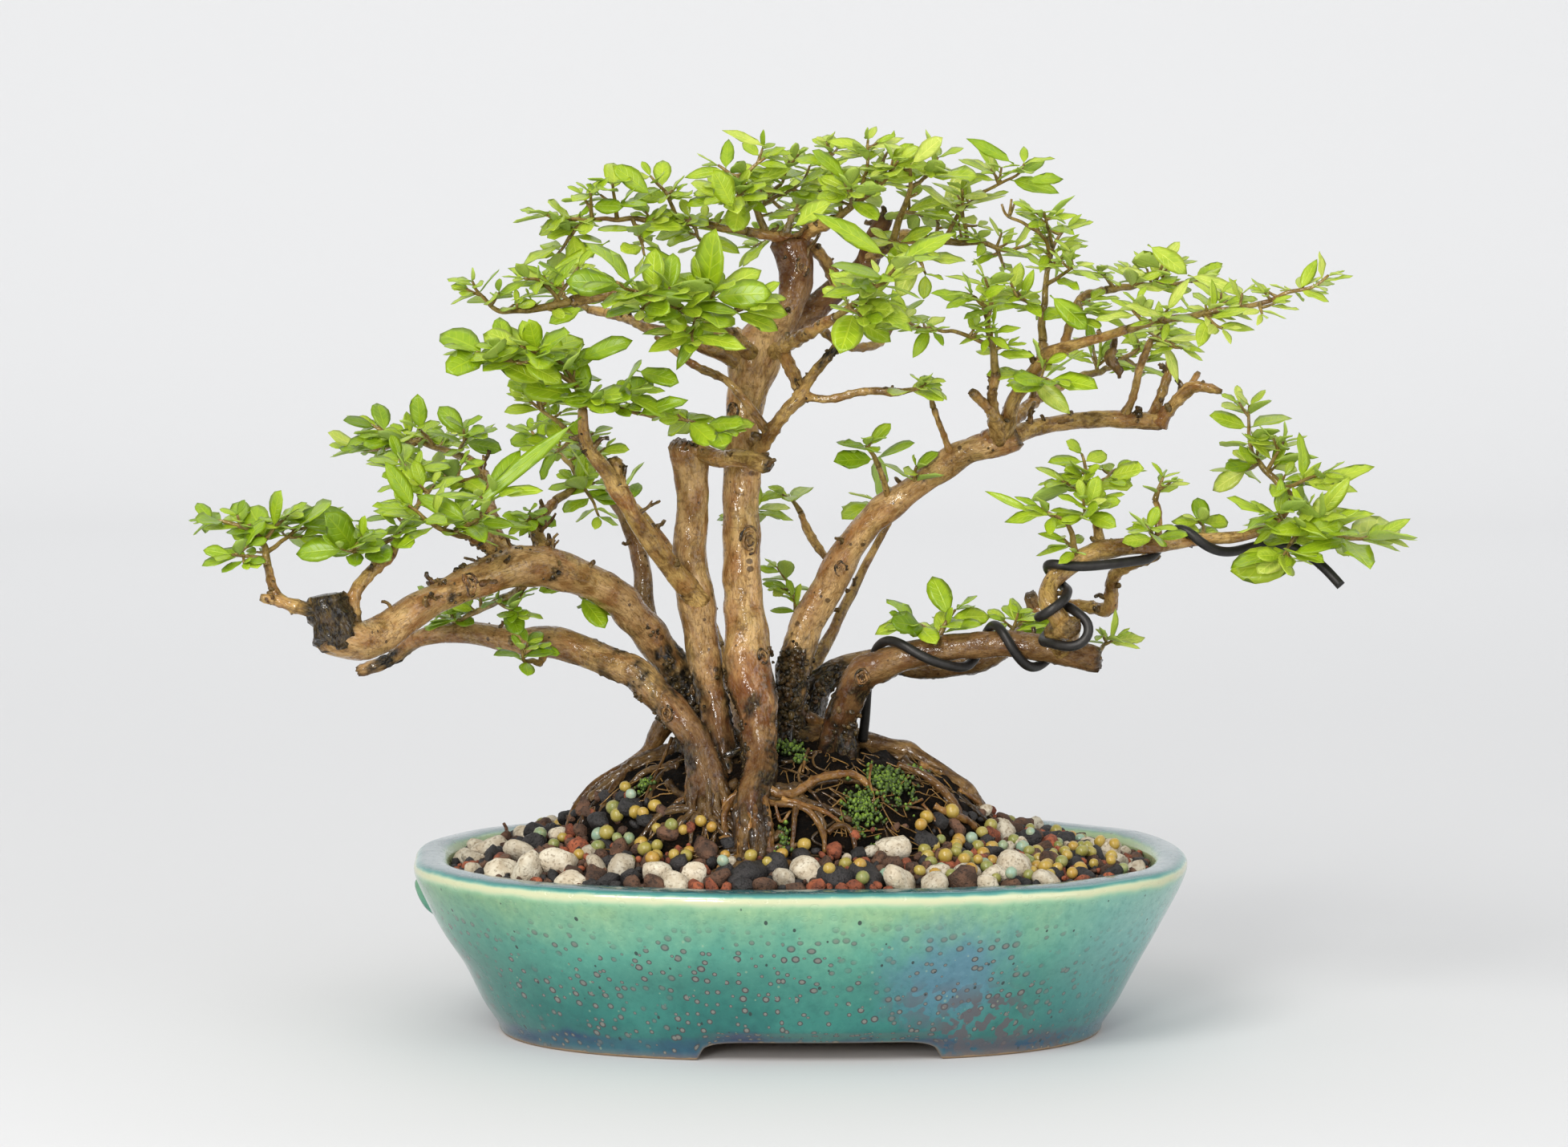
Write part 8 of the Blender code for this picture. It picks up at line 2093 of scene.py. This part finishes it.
class BONSAI_OT_gravel(bpy.types.Operator):
    """Build the packed gravel with its stones and feed beads"""
    bl_idname = "bonsai.gravel"
    bl_label = "Gravel"

    def execute(self, context):
        look = context.scene.bonsai_look
        # Each stone's third tone also paints the shade in its pores.
        finishes = [stone_material(name, look, *tones, gloss, pit_depth) for name, tones, gloss, pit_depth in (
            ("Pumice", ((0.76, 0.69, 0.53), (0.58, 0.49, 0.345), (0.34, 0.26, 0.165)), 0.9, 0.6),
            ("Black lava", ((0.033, 0.028, 0.027), (0.015, 0.013, 0.013), (0.006, 0.006, 0.006)), 0.62, 0.9),
            ("Brown lava", ((0.165, 0.078, 0.040), (0.075, 0.036, 0.019), (0.022, 0.012, 0.008)), 0.75, 0.9),
            ("Red lava", ((0.40, 0.105, 0.040), (0.19, 0.047, 0.019), (0.060, 0.018, 0.010)), 0.75, 0.8))]
        finishes.append(bead_material(look))
        make_piece("gravel", gravel_surfaces(look), finishes, ["substrate"])
        return {"FINISHED"}


class BONSAI_OT_wood(bpy.types.Operator):
    """Build the trunks and the branches with their knots, stubs, rotted patches and painted shade on the trunks' feet
    """
    bl_idname = "bonsai.wood"
    bl_label = "Trunks and branches"

    def execute(self, context):
        look = context.scene.bonsai_look
        trunk = bark_material("Trunk bark", look, (0.57, 0.365, 0.155), (0.28, 0.150, 0.045), 0.28)
        branch = bark_material("Branch bark", look, (0.53, 0.345, 0.115), (0.17, 0.092, 0.024), 0.32)
        make_piece("trunks", trunk_surfaces(look), [trunk], ["tree"])
        make_piece("branches", branch_surfaces(look), [branch], ["tree"])
        return {"FINISHED"}


class BONSAI_OT_roots(bpy.types.Operator):
    """Build the root pad, the roots on it and its moss"""
    bl_idname = "bonsai.roots"
    bl_label = "Roots and moss"

    def execute(self, context):
        look = context.scene.bonsai_look
        root = bark_material("Root bark", look, (0.300, 0.185, 0.068), (0.060, 0.032, 0.010), 0.34,
                             red=(0.080, 0.034, 0.010))
        hair = bark_material("Tan root bark", look, (0.50, 0.290, 0.085), (0.180, 0.085, 0.022), 0.32,
                             red=(0.17, 0.062, 0.014))
        make_piece("root_pad", root_pad_surface(), [earth_material(look)], ["tree"])
        make_piece("surface_roots", root_surfaces(look), [root, hair], ["tree"])
        make_piece("moss", moss_surface(look), [moss_material(look)], ["tree"])
        return {"FINISHED"}


class BONSAI_OT_wire(bpy.types.Operator):
    """Build the training wire and finish the drain meshes"""
    bl_idname = "bonsai.wire"
    bl_label = "Wire and drain meshes"

    def execute(self, context):
        coated = plain_material("Blackened aluminium wire", (0.036, 0.033, 0.030), (0.024, 0.022, 0.021), 0.42, 0.8,
                                0.12, metallic=0.6)
        make_piece("wound_wire", wire_surface(), [coated], ["training_wire"])
        plastic = plain_material("Drain mesh plastic", (0.020, 0.020, 0.021), (0.014, 0.014, 0.014), 0.6, 1.2, 0.1)
        for name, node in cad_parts.items():
            if name.startswith("drain_mesh"):
                for place in node.material_slots:
                    place.material = plastic
        return {"FINISHED"}


class BONSAI_OT_leaves(bpy.types.Operator):
    """Build every region's twigs and leaves"""
    bl_idname = "bonsai.leaves"
    bl_label = "Twigs and leaves"

    def execute(self, context):
        look = context.scene.bonsai_look
        finishes = [leaf_material("Leaf", look), leaf_material("Leaf back", look, back=True),
                    bark_material("Young twig", look, (0.36, 0.255, 0.070), (0.170, 0.110, 0.026), 0.40)]
        for region in REGIONS:
            shape, count = foliage_surfaces(look, region)
            if count < 20:
                raise RuntimeError(f"{region} bears only {count} leaves")
            make_piece(region, shape, finishes, list(region_stems(region)))
            print(region, count, "leaves")
        return {"FINISHED"}


class BONSAI_OT_stage(bpy.types.Operator):
    """Set the floor, the lights and the camera"""
    bl_idname = "bonsai.stage"
    bl_label = "Floor, lights and camera"

    def execute(self, context):
        look = context.scene.bonsai_look
        scene = context.scene
        turn = np.linspace(0, np.pi / 2, 24)
        rise = np.column_stack((1.6 + 0.6 * np.sin(turn), 0.6 - 0.6 * np.cos(turn)))
        profile = np.vstack(((-3.5, 0.0), rise, (2.2, 3.2)))
        points = [(side, float(y), float(z)) for y, z in profile for side in (-3.5, 3.5)]
        faces = [(2 * i, 2 * i + 1, 2 * i + 3, 2 * i + 2) for i in range(len(profile) - 1)]
        mesh = bpy.data.meshes.new("floor")
        mesh.from_pydata(points, [], faces)
        mesh.shade_smooth()
        paper, net = new_material("Pale paper")
        _, back, _ = net.split(net.value("ShaderNodeTexCoord", output="Object"))
        # Painted light: the floor is painted at 0.80 of its colour near the pot, rising to 1.04 far back and up the
        # backdrop, to even out the lamps' fall-off.
        near, far = (tuple(part * share for part in look.floor_colour) for share in (0.80, 1.04))
        net.shade(Base_Color=net.blend(back.fade(0.0, 1.7), near, far), Roughness=0.75)
        mesh.materials.append(paper)
        floor = bpy.data.objects.new("floor", mesh)
        scene.collection.objects.link(floor)
        world = bpy.data.worlds.new("Even light")
        world.use_nodes = True
        world.node_tree.nodes["Background"].inputs["Color"].default_value = (0.98, 0.99, 1.0, 1.0)
        world.node_tree.nodes["Background"].inputs["Strength"].default_value = look.sky_strength
        scene.world = world
        for name, place, size, share, colour in (("key", (-0.60, -1.20, 1.25), 0.7, 1.0, (1.0, 0.985, 0.96)),
                                                 ("fill", (1.2, -1.1, 0.7), 1.1, 0.38, (0.96, 0.98, 1.0)),
                                                 ("front", (-0.42, -1.60, 0.46), 0.30, 0.62, (1.0, 0.985, 0.96)),
                                                 ("back", (0.2, 1.1, 1.5), 1.2, 0.15, (1.0, 1.0, 1.0))):
            data = bpy.data.lights.new(name, "AREA")
            data.energy = look.key_power * share
            data.size = size
            data.color = colour
            light = bpy.data.objects.new(name, data)
            light.location = place
            aim = np.array((0.0, 0.0, 0.10)) - np.array(place)
            tilt = math.acos(-aim[2] / np.linalg.norm(aim))
            light.rotation_euler = (tilt, 0.0, math.atan2(aim[1], aim[0]) - math.pi / 2)
            scene.collection.objects.link(light)
        data = bpy.data.cameras.new("camera")
        data.lens, data.sensor_width = LENS, SENSOR
        camera = bpy.data.objects.new("camera", data)
        camera.location = tuple((VIEWPOINT + POT_MIDDLE) * MM)
        camera.rotation_euler = (math.pi / 2 - LOOK_DOWN, 0.0, 0.0)
        scene.collection.objects.link(camera)
        scene.camera = camera
        scene.view_settings.view_transform = "Standard"
        return {"FINISHED"}


STEPS = (BONSAI_OT_pot, BONSAI_OT_gravel, BONSAI_OT_wood, BONSAI_OT_roots, BONSAI_OT_wire, BONSAI_OT_leaves,
         BONSAI_OT_stage)


class BONSAI_PT_panel(bpy.types.Panel):
    """Lists the looks and the steps that build the bonsai"""
    bl_label = "Premna bonsai"
    bl_space_type = "VIEW_3D"
    bl_region_type = "UI"
    bl_category = "Bonsai"

    def draw(self, context):
        for name in BonsaiLook.__annotations__:
            self.layout.prop(context.scene.bonsai_look, name)
        for step in STEPS:
            self.layout.operator(step.bl_idname)


CLASSES = (BonsaiLook, *STEPS, BONSAI_PT_panel)


def register():
    for each in CLASSES:
        bpy.utils.register_class(each)
    bpy.types.Scene.bonsai_look = bpy.props.PointerProperty(type=BonsaiLook)


def unregister():
    del bpy.types.Scene.bonsai_look
    for each in reversed(CLASSES):
        bpy.utils.unregister_class(each)


def main():
    """Build everything."""
    register()
    made = bpy.ops.bonsai
    for step in (made.pot, made.gravel, made.wood, made.roots, made.wire, made.leaves, made.stage):
        step()
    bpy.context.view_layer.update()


if __name__ == "__main__":
    main()
